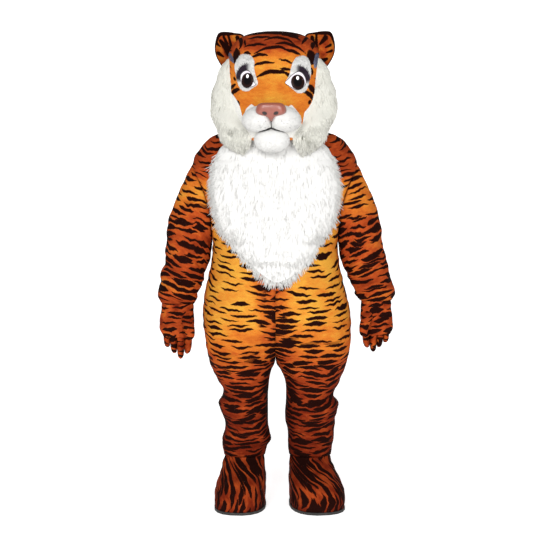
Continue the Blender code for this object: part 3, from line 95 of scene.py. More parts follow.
def through_points(x: Array, y: Array, at: Array) -> Array:
    """Smooth curve through the points (x, y) that never overshoots them, by cubic pieces.

    Args:
        x: places of the points, in any order.
        y: value at each place, a number or an array for each.
        at: places to read the curve at, in an array of any shape.

    Returns:
        The values, in the shape of `at` followed by that of one value.
    """
    x, y = np.asarray(x, float), np.asarray(y, float)
    order = np.argsort(x)
    x, y = x[order], y[order]
    flat = np.ravel(np.asarray(at, float))
    wide = (-1,) + (1,) * (y.ndim - 1)
    step = np.diff(x).reshape(wide)
    slope = np.diff(y, axis=0) / step
    rising = slope[:-1] * slope[1:] > 0
    total = np.where(rising, slope[:-1] + slope[1:], 1.0)
    tangent = np.zeros_like(y)
    tangent[1:-1] = np.where(rising, 2 * slope[:-1] * slope[1:] / total, 0.0)
    tangent[0], tangent[-1] = slope[0], slope[-1]
    k = np.clip(np.searchsorted(x, flat, side="right") - 1, 0, len(x) - 2)
    t = np.clip((flat - x[k]) / np.diff(x)[k], 0, 1).reshape(wide)
    h = step[k]
    value = (
        (1 + 2 * t) * (1 - t) ** 2 * y[k]
        + t * (1 - t) ** 2 * h * tangent[k]
        + t * t * (3 - 2 * t) * y[k + 1]
        + t * t * (t - 1) * h * tangent[k + 1]
    )
    return value.reshape(np.shape(at) + y.shape[1:])


@dataclass(frozen=True)
class Table:
    """Sizes in rows with named columns, the first of which is the place of the row."""

    columns: tuple[str, ...]
    rows: tuple[tuple[float, ...], ...]

    def column(self, name: str) -> Array:
        """One column as an array."""
        return np.array([row[self.columns.index(name)] for row in self.rows], float)

    def at(self, name: str, place: Array) -> Array:
        """A named size at any place between the rows."""
        return through_points(self.column(self.columns[0]), self.column(name), place)


SUIT = Table(
    ("height", "side_right", "side_left", "inner_right", "inner_left", "front", "back"),
    (
        (1.478, 0.112, 0.112, 0.000, 0.000, 0.088, 0.090),
        (1.466, 0.170, 0.168, 0.000, 0.000, 0.098, 0.112),
        (1.440, 0.250, 0.246, 0.000, 0.000, 0.108, 0.130),
        (1.400, 0.290, 0.288, 0.000, 0.000, 0.120, 0.143),
        (1.335, 0.325, 0.320, 0.000, 0.000, 0.136, 0.154),
        (1.270, 0.298, 0.294, 0.000, 0.000, 0.150, 0.160),
        (1.200, 0.270, 0.266, 0.000, 0.000, 0.162, 0.162),
        (1.130, 0.252, 0.248, 0.000, 0.000, 0.172, 0.160),
        (1.030, 0.247, 0.244, 0.000, 0.000, 0.183, 0.156),
        (0.950, 0.253, 0.250, 0.000, 0.000, 0.192, 0.158),
        (0.880, 0.269, 0.266, 0.000, 0.000, 0.198, 0.168),
        (0.800, 0.282, 0.285, 0.000, 0.000, 0.198, 0.182),
        (0.730, 0.287, 0.299, 0.000, 0.000, 0.188, 0.188),
        (0.660, 0.279, 0.299, 0.000, 0.000, 0.172, 0.182),
        (0.600, 0.271, 0.292, 0.000, 0.000, 0.156, 0.168),
        (0.556, 0.262, 0.283, 0.002, 0.002, 0.146, 0.154),
        (0.520, 0.248, 0.272, 0.017, 0.022, 0.138, 0.143),
        (0.480, 0.226, 0.254, 0.025, 0.038, 0.127, 0.128),
        (0.447, 0.208, 0.238, 0.028, 0.042, 0.117, 0.116),
        (0.423, 0.211, 0.231, 0.030, 0.042, 0.114, 0.109),
        (0.390, 0.222, 0.247, 0.030, 0.041, 0.119, 0.108),
        (0.355, 0.215, 0.243, 0.030, 0.038, 0.112, 0.108),
        (0.320, 0.201, 0.236, 0.030, 0.039, 0.104, 0.106),
        (0.285, 0.204, 0.233, 0.027, 0.048, 0.101, 0.104),
        (0.250, 0.214, 0.233, 0.021, 0.050, 0.098, 0.100),
        (0.215, 0.211, 0.227, 0.034, 0.050, 0.088, 0.092),
        (0.186, 0.205, 0.221, 0.041, 0.054, 0.081, 0.084),
    ),
)


def grid_normals(points: Array, outwards: Array, closed: bool = False) -> Array:
    """Unit normals of a grid, from the cross product of its two directions.

    Args:
        points: rows of points.
        outwards: vectors that the normals have to point along, taken together.
        closed: whether the last column is followed by the first.

    Returns:
        One normal for each point.
    """
    if closed:
        along = (np.roll(points, -1, axis=1) - np.roll(points, 1, axis=1)) / 2
    else:
        along = np.gradient(points, axis=1)
    normal = np.cross(along, np.gradient(points, axis=0))
    normal /= np.maximum(np.linalg.norm(normal, axis=-1, keepdims=True), 1e-12)
    return -normal if (normal * outwards).sum() < 0 else normal


def unit(vectors: Array) -> Array:
    """Vectors with a length of 1."""
    return vectors / np.maximum(np.linalg.norm(vectors, axis=-1, keepdims=True), 1e-12)


def power_of(value: Array, power: float) -> Array:
    """Power of the size of a value, with its sign kept, for rounded-square sections."""
    return np.sign(value) * np.abs(value) ** power


def arc_lengths(points: Array, axis: int) -> Array:
    """Distance run along one direction of a grid, from its first point."""
    steps = np.linalg.norm(np.diff(points, axis=axis), axis=-1)
    first = np.zeros_like(np.take(steps, [0], axis=axis))
    return np.concatenate([first, np.cumsum(steps, axis=axis)], axis=axis)


def ripple(points: Array, wavelength: float, seed: int) -> Array:
    """Soft uneven waves from -1 to 1: the mean of sine waves in seeded directions.

    Args:
        points: places, with their coordinates last.
        wavelength: mean distance between crests.
        seed: picks the directions and the starts of the waves.

    Returns:
        The height of the waves at each place.
    """
    source = np.random.default_rng(seed)
    waves = 9
    directions = unit(source.normal(size=(waves, points.shape[-1])))
    lengths = wavelength * source.uniform(0.7, 1.5, waves)
    starts = source.uniform(0, 2 * np.pi, waves)
    turns = points @ (directions * (2 * np.pi / lengths)[:, None]).T + starts
    return np.sin(turns).sum(axis=-1) / math.sqrt(waves)


def smooth_step(value: Array, low: float, high: float) -> Array:
    """0 below `low`, 1 above `high` and an S-curve between them."""
    t = np.clip((value - low) / (high - low), 0, 1)
    return t * t * (3 - 2 * t)


@dataclass
class Skin:
    """A surface worked out on a grid: places, a texture map in metres and named values.

    The map has one more column than the grid where the grid is closed round a tube.
    """

    points: Array
    texture: Array
    closed: bool = False
    values: dict[str, Array] = field(default_factory=dict)

    def corners(self) -> tuple[Array, Array]:
        """Four corners of each face.

        Returns:
            Indices into the points, and the matching indices into the map.
        """
        rows, columns = self.points.shape[:2]
        wide = self.texture.shape[1]
        r, c = np.meshgrid(np.arange(rows - 1), np.arange(columns if self.closed else columns - 1), indexing="ij")
        d = (c + 1) % columns
        place = np.stack([r * columns + c, r * columns + d, (r + 1) * columns + d, (r + 1) * columns + c], -1)
        mapped = np.stack([r * wide + c, r * wide + c + 1, (r + 1) * wide + c + 1, (r + 1) * wide + c], -1)
        return place.reshape(-1, 4), mapped.reshape(-1, 4)

    def make(self, name: str, outwards: Array) -> bpy.types.Object:
        """Puts the surface into a mesh, faces outwards, in the part's frame.

        Args:
            name: name of the piece.
            outwards: vectors from inside the form to each point.

        Returns:
            The new object, at the origin.
        """
        place, mapped = self.corners()
        flat = self.points.reshape(-1, 3)
        spans = flat[place[:, 2]] - flat[place[:, 0]], flat[place[:, 3]] - flat[place[:, 1]]
        if (np.cross(*spans) * outwards.reshape(-1, 3)[place[:, 0]]).sum() < 0:
            place, mapped = place[:, ::-1], mapped[:, ::-1]
        obj = mesh_object(name, flat, place, np.empty((0, 3), int))
        layer = obj.data.uv_layers.new(name="stripes")
        layer.data.foreach_set("uv", self.texture.reshape(-1, 2)[mapped.ravel()].astype(np.float32).ravel())
        for label, value in self.values.items():
            add_value(obj, label, value)
        weld(obj)
        return obj

    def cut(self) -> tuple[tuple[float, float], float]:
        """Size of the flat cut: its greatest width and length, and its area."""
        points = np.concatenate([self.points, self.points[:, :1]], axis=1) if self.closed else self.points
        width = float(arc_lengths(points, 1)[:, -1].max())
        length = float(arc_lengths(points, 0)[-1].max())
        spans = points[1:, 1:] - points[:-1, :-1], points[1:, :-1] - points[:-1, 1:]
        area = float(np.linalg.norm(np.cross(*spans), axis=-1).sum() / 2)
        return (width, length), min(area, width * length)


def mesh_object(name: str, points: Array, quads: Array, triangles: Array) -> bpy.types.Object:
    """A smooth-shaded object from arrays, lowered from floor heights to the part's frame.

    Args:
        name: name of the piece.
        points: places, with heights above the floor.
        quads: four indices for each face.
        triangles: three indices for each face.

    Returns:
        The new object, at the origin and in the scene.
    """
    mesh = bpy.data.meshes.new(name)
    corners = np.concatenate([quads.ravel(), triangles.ravel()]).astype(np.int32)
    counts = np.concatenate([np.full(len(quads), 4), np.full(len(triangles), 3)])
    mesh.vertices.add(len(points))
    mesh.vertices.foreach_set("co", (points - [0, 0, HOLD_HEIGHT]).astype(np.float32).ravel())
    mesh.loops.add(len(corners))
    mesh.loops.foreach_set("vertex_index", corners)
    mesh.polygons.add(len(counts))
    starts = np.concatenate([[0], np.cumsum(counts)[:-1]]).astype(np.int32)
    mesh.polygons.foreach_set("loop_start", starts)
    mesh.update(calc_edges=True)
    mesh.validate()
    mesh.shade_smooth()
    obj = bpy.data.objects.new(name, mesh)
    bpy.context.scene.collection.objects.link(obj)
    return obj


def add_value(obj: bpy.types.Object, label: str, value: Array) -> None:
    """Writes one number for each point of a mesh, for its material to read."""
    attribute = obj.data.attributes.new(label, "FLOAT", "POINT")
    attribute.data.foreach_set("value", np.ravel(value).astype(np.float32))


def weld(obj: bpy.types.Object) -> None:
    """Merges doubled points, which closes poles."""
    work = bmesh.new()
    work.from_mesh(obj.data)
    bmesh.ops.remove_doubles(work, verts=work.verts, dist=1e-6)
    work.to_mesh(obj.data)
    work.free()


@dataclass(frozen=True)
class Signal:
    """A number in a shader, with Python's operators on it."""

    graph: "Graph"
    socket: bpy.types.NodeSocket

    def __add__(self, other: "Signal | float") -> "Signal":
        """Sum."""
        return self.graph.math("ADD", self, other)

    def __radd__(self, other: float) -> "Signal":
        """Sum."""
        return self.graph.math("ADD", other, self)

    def __sub__(self, other: "Signal | float") -> "Signal":
        """Difference."""
        return self.graph.math("SUBTRACT", self, other)

    def __rsub__(self, other: float) -> "Signal":
        """Difference."""
        return self.graph.math("SUBTRACT", other, self)

    def __mul__(self, other: "Signal | float") -> "Signal":
        """Product."""
        return self.graph.math("MULTIPLY", self, other)

    def __rmul__(self, other: float) -> "Signal":
        """Product."""
        return self.graph.math("MULTIPLY", other, self)

    def __truediv__(self, other: "Signal | float") -> "Signal":
        """Quotient."""
        return self.graph.math("DIVIDE", self, other)

    def floor(self) -> "Signal":
        """Whole part."""
        return self.graph.math("FLOOR", self)

    def size(self) -> "Signal":
        """Value without its sign."""
        return self.graph.math("ABSOLUTE", self)

    def sine(self) -> "Signal":
        """Sine of the value in radians."""
        return self.graph.math("SINE", self)

    def larger(self, other: "Signal | float") -> "Signal":
        """Larger of the two."""
        return self.graph.math("MAXIMUM", self, other)

    def clamp(self) -> "Signal":
        """Value kept from 0 to 1."""
        return self.graph.math("MINIMUM", self.graph.math("MAXIMUM", self, 0.0), 1.0)

    def ease(self, low: "Signal | float", high: "Signal | float") -> "Signal":
        """0 at `low`, 1 at `high` and an S-curve between them."""
        t = ((self - low) / (high - low)).clamp()
        return t * t * (3.0 - 2.0 * t)


class Graph:
    """Nodes of one material, which end in a Principled BSDF."""

    def __init__(self, name: str) -> None:
        """Starts a material with an empty shader."""
        self.material = bpy.data.materials.new(name)
        self.material.use_nodes = True
        self.tree = self.material.node_tree
        self.shader = self.tree.nodes["Principled BSDF"]

    def node(self, kind: str, settings: dict, inputs: dict) -> bpy.types.Node:
        """One node of any type.

        Args:
            kind: type of the node.
            settings: its properties, which are set first.
            inputs: value, Signal or socket for each input, by its name or number.

        Returns:
            The node.
        """
        made = self.tree.nodes.new(kind)
        for key, value in settings.items():
            setattr(made, key, value)
        for key, value in inputs.items():
            self.feed(made.inputs[key], value)
        return made

    def feed(self, target: bpy.types.NodeSocket, value: object) -> None:
        """Links or sets one input."""
        if isinstance(value, Signal):
            value = value.socket
        if isinstance(value, bpy.types.NodeSocket):
            self.tree.links.new(value, target)
        else:
            target.default_value = value

    def math(self, operation: str, *values: "Signal | float") -> Signal:
        """Result of a Math node."""
        made = self.node("ShaderNodeMath", {"operation": operation}, dict(enumerate(values)))
        return Signal(self, made.outputs[0])

    def map_place(self) -> tuple[Signal, Signal]:
        """Place on the piece's own map: along the stripes and across them."""
        source = self.node("ShaderNodeUVMap", {"uv_map": "stripes"}, {})
        parts = self.node("ShaderNodeSeparateXYZ", {}, {0: source.outputs[0]})
        return Signal(self, parts.outputs[0]), Signal(self, parts.outputs[1])

    def object_place(self) -> tuple[Signal, Signal, Signal]:
        """Place in the part's frame."""
        source = self.node("ShaderNodeTexCoord", {}, {})
        parts = self.node("ShaderNodeSeparateXYZ", {}, {0: source.outputs["Object"]})
        return tuple(Signal(self, parts.outputs[k]) for k in range(3))

    def value(self, label: str) -> Signal:
        """A number that the mesh carries at each point."""
        made = self.node("ShaderNodeAttribute", {"attribute_name": label}, {})
        return Signal(self, made.outputs["Fac"])

    def noise(self, x: "Signal | float", y: "Signal | float", z: "Signal | float", detail: float = 1.0) -> Signal:
        """Soft noise, mostly from 0.3 to 0.7, with one blob for each unit of its place."""
        place = self.node("ShaderNodeCombineXYZ", {}, {0: x, 1: y, 2: z})
        inputs = {"Vector": place.outputs[0], "Scale": 1.0, "Detail": detail, "Roughness": 0.55}
        made = self.node("ShaderNodeTexNoise", {"noise_dimensions": "3D"}, inputs)
        return Signal(self, made.outputs[0])

    def chance(self, x: "Signal | float", y: "Signal | float") -> Signal:
        """A random number from 0 to 1 for each pair of whole numbers."""
        place = self.node("ShaderNodeCombineXYZ", {}, {0: x, 1: y})
        made = self.node("ShaderNodeTexWhiteNoise", {"noise_dimensions": "2D"}, {"Vector": place.outputs[0]})
        return Signal(self, made.outputs["Value"])

    def ramp(self, factor: Signal, stops: tuple[tuple[float, tuple[float, float, float]], ...]) -> bpy.types.NodeSocket:
        """Colour from a row of stops, each a place and a colour."""
        made = self.node("ShaderNodeValToRGB", {}, {0: factor})
        marks = made.color_ramp.elements
        while len(marks) < len(stops):
            marks.new(1.0)
        for mark, (place, colour) in zip(marks, stops):
            mark.position = place
            mark.color = (*colour, 1.0)
        return made.outputs[0]

    def mix(self, factor: "Signal | float", first: object, second: object, blend: str = "MIX") -> bpy.types.NodeSocket:
        """Mixes two colours, each a socket or three numbers.

        Args:
            factor: 0 for the first, 1 for the second.
            first: colour under.
            second: colour over.
            blend: how they are mixed.

        Returns:
            The mixed colour.
        """
        made = self.node("ShaderNodeMix", {"data_type": "RGBA", "blend_type": blend}, {0: factor})
        for slot, colour in ((6, first), (7, second)):
            self.feed(made.inputs[slot], (*colour, 1.0) if isinstance(colour, tuple) else colour)
        return made.outputs[2]

    def shade(self, colour: bpy.types.NodeSocket, factor: Signal) -> bpy.types.NodeSocket:
        """Colour scaled by a number."""
        made = self.node("ShaderNodeVectorMath", {"operation": "SCALE"}, {0: colour, "Scale": factor})
        return made.outputs[0]

    def bump(self, height: Signal, strength: float, distance: float) -> None:
        """Dents the surface by a height field."""
        made = self.node("ShaderNodeBump", {}, {"Height": height, "Strength": strength, "Distance": distance})
        self.feed(self.shader.inputs["Normal"], made.outputs[0])

    def finish(self, **inputs: object) -> bpy.types.Material:
        """Sets the shader's sockets, whose names are written with underscores, and gives the material."""
        for key, value in inputs.items():
            self.feed(self.shader.inputs[key.replace("_", " ").title().replace("Ior", "IOR")], value)
        return self.material


@dataclass(frozen=True)
class TigerPlush:
    """Short dense pile dyed gold to rust, with rows of dark tapered dashes.

    The mesh carries warmth (0 gold, 1 deep rust), ink (how full the dashes are), mark (a listed dash) and pale (where
    the pile is white). The map's first coordinate runs along the dashes and the second across the rows.
    """

    gold: tuple[float, float, float] = (0.68, 0.325, 0.040)
    orange: tuple[float, float, float] = (0.60, 0.170, 0.020)
    rust: tuple[float, float, float] = (0.40, 0.062, 0.012)
    dark_rust: tuple[float, float, float] = (0.18, 0.019, 0.005)
    deep_rust: tuple[float, float, float] = (0.085, 0.008, 0.003)
    stripe: tuple[float, float, float] = (0.014, 0.0028, 0.0018)
    white: tuple[float, float, float] = (0.76, 0.75, 0.71)
    row_pitch: float = 0.0245
    dash_length: float = 0.118

    def dashes(self, graph: Graph, along: Signal, across: Signal, fuzz: Signal, ink: Signal,
               pitch: float, length: float, luck_from: float, seed: float) -> Signal:
        """Rows of spindle-shaped dashes.

        Rows lie a pitch apart and each is cut into cells, which start at a random place. A cell
        holds one dash, whose thickness falls from its middle as 1 - (distance / half-length)^2.
        Its length, thickness and height in the row are drawn from the row and cell numbers.

        Args:
            graph: where the nodes go.
            along: place along the rows.
            across: place across the rows, already bent.
            fuzz: fine noise that roughens the edges.
            ink: scale of the thickness.
            pitch: distance between rows.
            length: length of a cell.
            luck_from: share of the cells that stay empty.
            seed: sets these rows apart from others.

        Returns:
            1 in a dash and 0 between them.
        """
        q = across / pitch + seed
        row = q.floor()
        offset = q - row - 0.5
        u = along / length + graph.chance(row, seed) * 9.0
        cell = u.floor()
        luck, size, height = (graph.chance(row + part, cell + seed) for part in (0.2, 0.4, 0.6))
        reach = ((u - cell - 0.5) / (0.36 + 0.14 * luck)).size()
        taper = (1.0 - reach * reach).larger(0.0) * luck.ease(luck_from, luck_from + 0.01)
        thick = taper * (0.15 + 0.20 * size) * ink
        away = (offset - (height - 0.5) * 0.22).size() + (fuzz - 0.5) * 0.16
        return (1.0 - away.ease(thick - 0.05, thick + 0.04)) * taper.ease(0.0, 0.25)

    def make(self) -> bpy.types.Material:
        """Builds the material."""
        graph = Graph("tiger_plush_pile")
        along, across = graph.map_place()
        warmth, ink, mark, pale = (graph.value(label) for label in ("warmth", "ink", "mark", "pale"))
        slow = graph.noise(along / 0.17, across / 0.17, 0.5, 1.0) - 0.5
        quick = graph.noise(along / 0.034, across / 0.050, 5.5, 1.0) - 0.5
        bent = across + slow * 0.060 + quick * 0.024
        fuzz = graph.noise(along / 0.0035, across / 0.0035, 4.0, 1.0)
        main = self.dashes(graph, along, bent, fuzz, ink, self.row_pitch, self.dash_length, 0.04, 3.0)
        extra = self.dashes(graph, along * 0.998 + bent * 0.10, bent + along * 0.06, fuzz, ink, self.row_pitch * 1.3,
                            self.dash_length * 0.8, 0.35, 17.0) * ink.ease(1.19, 1.25)
        presence = ink.ease(0.0, 0.35)
        placed = (mark + (fuzz - 0.5) * 0.7).ease(0.30, 0.70)
        stripes = (main.larger(extra) * presence).larger(placed)
        cloud = graph.noise(along / 0.10, across / 0.055, 8.0, 2.0)
        near = graph.noise(along / 0.020, across / 0.010, 2.0, 1.0)
        tone = (warmth + (cloud - 0.5) * 0.55 + (near - 0.5) * 0.30).clamp()
        ground = graph.ramp(tone, (
            (0.0, self.gold), (0.28, self.orange), (0.55, self.rust), (0.80, self.dark_rust), (1.0, self.deep_rust),
        ))
        lit = graph.noise(along / 0.0022, across / 0.0050, 6.0, 2.0)
        colour = graph.mix(stripes, ground, self.stripe)
        colour = graph.mix((pale + (fuzz - 0.5) * 1.2).ease(0.25, 0.75), colour, self.white)
        colour = graph.shade(colour, 0.66 + 0.68 * lit)
        pile = graph.noise(along / 0.0042, across / 0.0065, 1.0, 2.0)
        graph.bump(pile * 0.7 + lit * 0.3, 0.5, 0.003)
        return graph.finish(base_color=colour, roughness=0.95, specular_ior_level=0.04)


@dataclass(frozen=True)
class WhiteFur:
    """White fur, greyer at its roots as painted shade deep in the pile. The mesh carries along (0 root, 1 tip), a
    number for random tone and painted shade, and mark.
    """

    name: str = "white_fur_pile"
    tip: tuple[float, float, float] = (0.73, 0.725, 0.71)
    root: tuple[float, float, float] = (0.71, 0.705, 0.685)
    shadow: tuple[float, float, float] = (0.36, 0.35, 0.27)
    mark_colour: tuple[float, float, float] = (0.030, 0.020, 0.032)
    glow: float = 0.0

    def make(self) -> bpy.types.Material:
        """Builds the material."""
        graph = Graph(self.name)
        x, y, z = graph.object_place()
        along, tone_and_shade, mark = graph.value("along"), graph.value("tone_and_shade"), graph.value("mark")
        strand = graph.noise(x / 0.0020, y / 0.0020, z / 0.016, 2.0)
        clump = graph.noise(x / 0.012, y / 0.012, z / 0.040, 2.0)
        # Painted shade: each lock darkens from its tip to its root, deep in the pile where shade falls.
        base = graph.mix(along, self.root, self.tip)
        # Random tone and painted shade: each lock's number, roughened by clumps, mixes in the shadow colour.
        dark = (tone_and_shade + (clump - 0.5) * 0.8 * tone_and_shade.ease(0.05, 0.4)).clamp()
        colour = graph.mix(dark, base, self.shadow)
        colour = graph.mix(mark.ease(0.15, 0.85), colour, self.mark_colour)
        colour = graph.shade(colour, 0.93 + 0.12 * strand)
        graph.bump(strand * 0.6 + clump * 0.4, 0.25, 0.002)
        return graph.finish(
            base_color=colour, roughness=0.9, specular_ior_level=0.1, emission_color=colour,
            emission_strength=self.glow,
        )


@dataclass(frozen=True)
class Moulded:
    """Moulded skin of one colour with fine mottling, worn a little in its roughness."""

    name: str
    colour: tuple[float, float, float]
    shadow: tuple[float, float, float]
    roughness: float
    coat: float
    grain: float

    def make(self) -> bpy.types.Material:
        """Builds the material."""
        graph = Graph(self.name)
        x, y, z = graph.object_place()
        mark = graph.value("mark")
        cloud = graph.noise(x / 0.020, y / 0.020, z / 0.020, 2.0)
        grain = graph.noise(x / self.grain, y / self.grain, z / self.grain, 2.0)
        colour = graph.mix((cloud - 0.25).clamp() * 0.6, self.colour, self.shadow)
        colour = graph.mix(mark.ease(0.25, 0.65), colour, tuple(c * 0.06 for c in self.shadow))
        graph.bump(grain, 0.12, 0.0006)
        return graph.finish(
            base_color=colour, roughness=(self.roughness + (cloud - 0.5) * 0.18).clamp(), coat_weight=self.coat,
            coat_roughness=0.12,
        )


@dataclass(frozen=True)
class EyeGloss:
    """Dark brown iris with a black middle and a painted glint. The mesh carries rim and glint."""

    iris: tuple[float, float, float] = (0.018, 0.0055, 0.0045)
    black: tuple[float, float, float] = (0.0030, 0.0018, 0.0028)
    light: tuple[float, float, float] = (0.97, 0.95, 0.97)

    def make(self) -> bpy.types.Material:
        """Builds the material."""
        graph = Graph("eye_gloss")
        rim, glint = graph.value("rim"), graph.value("glint")
        x, y, z = graph.object_place()
        ray = graph.noise(x / 0.004, y / 0.02, z / 0.004, 2.0)
        colour = graph.mix(rim.ease(0.50, 0.72) * (1.0 - rim.ease(0.88, 0.97)), self.black, self.iris)
        colour = graph.shade(colour, 0.6 + 0.8 * ray)
        colour = graph.mix(glint.ease(0.25, 0.60), colour, self.light)
        return graph.finish(
            base_color=colour, roughness=0.35, specular_ior_level=0.12, coat_weight=0.06, coat_roughness=0.15,
            # The painted highlight also glows a little, through emission.
            emission_color=graph.mix(glint.ease(0.25, 0.60), (0.0, 0.0, 0.0), self.light), emission_strength=0.35,
        )


@dataclass(frozen=True)
class EyeWhitePaint:
    """Slightly lilac white, with a lash line where the mesh's mark says."""

    colour: tuple[float, float, float] = (0.86, 0.80, 0.86)
    lash: tuple[float, float, float] = (0.012, 0.006, 0.012)

    def make(self) -> bpy.types.Material:
        """Builds the material."""
        graph = Graph("eye_white_paint")
        x, y, z = graph.object_place()
        mark = graph.value("mark")
        cloud = graph.noise(x / 0.015, y / 0.015, z / 0.015, 1.0)
        colour = graph.mix(mark.ease(0.4, 0.6), self.colour, self.lash)
        colour = graph.shade(colour, 0.94 + 0.1 * cloud)
        return graph.finish(base_color=colour, roughness=0.28, coat_weight=0.4, coat_roughness=0.1)


@dataclass(frozen=True)
class SoleRubber:
    """Black rubber with a fine grain, dusty in patches."""

    colour: tuple[float, float, float] = (0.022, 0.021, 0.020)
    dust: tuple[float, float, float] = (0.10, 0.09, 0.08)

    def make(self) -> bpy.types.Material:
        """Builds the material."""
        graph = Graph("sole_rubber_grain")
        x, y, z = graph.object_place()
        grain = graph.noise(x / 0.002, y / 0.002, z / 0.002, 2.0)
        wear = graph.noise(x / 0.03, y / 0.03, z / 0.008, 2.0)
        colour = graph.mix((wear - 0.45).clamp() * 2.0, self.colour, self.dust)
        graph.bump(grain, 0.3, 0.0008)
        return graph.finish(base_color=colour, roughness=(0.6 + wear * 0.3).clamp())


@dataclass(frozen=True)
class ZipTape:
    """Woven dark brown tape: threads cross at right angles."""

    colour: tuple[float, float, float] = (0.050, 0.026, 0.016)
    thread: tuple[float, float, float] = (0.110, 0.060, 0.036)

    def make(self) -> bpy.types.Material:
        """Builds the material."""
        graph = Graph("zip_tape_weave")
        x, y, z = graph.object_place()
        weave = (x * (2 * math.pi / 0.0011)).sine() * (z * (2 * math.pi / 0.0011)).sine()
        colour = graph.mix((weave * 0.5 + 0.5).clamp(), self.colour, self.thread)
        graph.bump(weave, 0.4, 0.0003)
        return graph.finish(base_color=colour, roughness=0.85)


@dataclass(frozen=True)
class ZipMetal:
    """Cast zinc, brushed along its length and duller in patches."""

    colour: tuple[float, float, float] = (0.50, 0.47, 0.42)
    dull: tuple[float, float, float] = (0.30, 0.27, 0.23)

    def make(self) -> bpy.types.Material:
        """Builds the material."""
        graph = Graph("zip_metal_brushed")
        x, y, z = graph.object_place()
        brush = graph.noise(x / 0.0003, y / 0.0003, z / 0.004, 2.0)
        wear = graph.noise(x / 0.004, y / 0.004, z / 0.004, 1.0)
        colour = graph.mix((wear - 0.3).clamp() * 1.6, self.colour, self.dull)
        graph.bump(brush, 0.1, 0.0001)
        return graph.finish(base_color=colour, metallic=1.0, roughness=(0.22 + brush * 0.3).clamp())


@dataclass(frozen=True)
class Paper:
    """Pale seamless paper of the studio floor."""

    colour: tuple[float, float, float] = (0.92, 0.92, 0.92)

    def make(self) -> bpy.types.Material:
        """Builds the material."""
        graph = Graph("floor_paper")
        x, y, z = graph.object_place()
        cloud = graph.noise(x / 0.6, y / 0.6, z / 0.6, 1.0)
        colour = graph.mix(cloud * 0.3, self.colour, tuple(c * 0.98 for c in self.colour))
        return graph.finish(
            base_color=colour, roughness=0.9, specular_ior_level=0.1, emission_color=colour, emission_strength=0.66,
        )


@dataclass(frozen=True)
class LockStyle:
    """How one patch of long fur grows."""

    length: float
    width: float
    length_spread: float = 0.25
    lift: float = 0.25
    droop: float = 0.5
    wander: float = 0.25
    flatness: float = 0.5
    seed: int = 1
    spans: tuple[float, ...] = (0.0, 0.42, 0.78)
    thickness: tuple[float, ...] = (0.75, 1.0, 0.62)


SHORT_SPANS = (0.0, 0.5)
SHORT_THICKNESS = (0.85, 0.85)


class Fur:
    """Grows tapered locks of fur on a surface, all in one mesh."""

    SIDES = 3

    def grow(self, name: str, roots: Array, normals: Array, headings: Array, style: LockStyle,
             tone_and_shade: Array, extra: dict[str, Array] | None = None) -> bpy.types.Object:
        """Makes one lock at each root.

        A lock's line starts between its heading and the normal and turns towards the floor:
        p(t) = root + length * ((t - t^2 / 2) * start + t^2 / 2 * end). Its section is a flat
        triangle, its thickness swells and then tapers, and its tip is one point.

        Args:
            name: name of the piece.
            roots: where the locks start.
            normals: unit normals of the surface there.
            headings: unit directions in which the locks lie.
            style: sizes of the locks.
            tone_and_shade: one number for each lock.
            extra: other numbers for each lock, by name.

        Returns:
            The new object.
        """
        source = np.random.default_rng(style.seed)
        count = len(roots)
        wander = source.normal(size=(count, 3)) * style.wander
        start = unit(headings + normals * style.lift + wander * 0.6)
        end = unit(headings + wander + np.array([0, 0, -style.droop]))
        length = style.length * (1 + style.length_spread * source.uniform(-1, 1, count))
        width = style.width * (1 + 0.3 * source.uniform(-1, 1, count))
        across = unit(np.cross(start, normals + 1e-6))
        above = unit(np.cross(across, start))
        rings = []
        for t, thick in zip(style.spans, style.thickness):
            spine = roots + length[:, None] * ((t - t * t / 2) * start + t * t / 2 * end)
            turn = np.arange(self.SIDES) * 2 * np.pi / self.SIDES + np.pi / 2
            wide = (width * thick / 2)[:, None, None]
            ring = across[:, None] * np.cos(turn)[None, :, None]
            ring = ring + above[:, None] * np.sin(turn)[None, :, None] * style.flatness
            rings.append(spine[:, None] + ring * wide)
        tips = (roots + length[:, None] * (start + end) / 2)[:, None]
        points = np.concatenate([*rings, tips], axis=1)
        per_lock = points.shape[1]
        base = (np.arange(count) * per_lock)[:, None]
        quads, triangles = self.pattern(len(style.spans))
        quads = (base[:, :, None] + quads[None]).reshape(-1, 4)
        triangles = (base[:, :, None] + triangles[None]).reshape(-1, 3)
        obj = mesh_object(name, points.reshape(-1, 3), quads, triangles)
        steps = np.concatenate([np.repeat(style.spans, self.SIDES), [1.0]])
        add_value(obj, "along", np.tile(steps, count))
        add_value(obj, "tone_and_shade", np.repeat(tone_and_shade, per_lock))
        for label, value in (extra or {}).items():
            add_value(obj, label, np.repeat(value, per_lock))
        return obj

    def pattern(self, rings: int) -> tuple[Array, Array]:
        """Faces of one lock.

        Args:
            rings: how many triangles its line carries.

        Returns:
            Quads between its rings, and triangles at its tip and its root.
        """
        side = np.arange(self.SIDES)
        after = (side + 1) % self.SIDES
        quads = [
            np.stack([r * self.SIDES + side, r * self.SIDES + after, (r + 1) * self.SIDES + after,
                      (r + 1) * self.SIDES + side], -1)
            for r in range(rings - 1)
        ]
        last = (rings - 1) * self.SIDES
        tip = np.stack([last + side, last + after, np.full(self.SIDES, last + self.SIDES)], -1)
        root = np.array([[2, 1, 0]])
        return np.concatenate(quads), np.concatenate([tip, root])


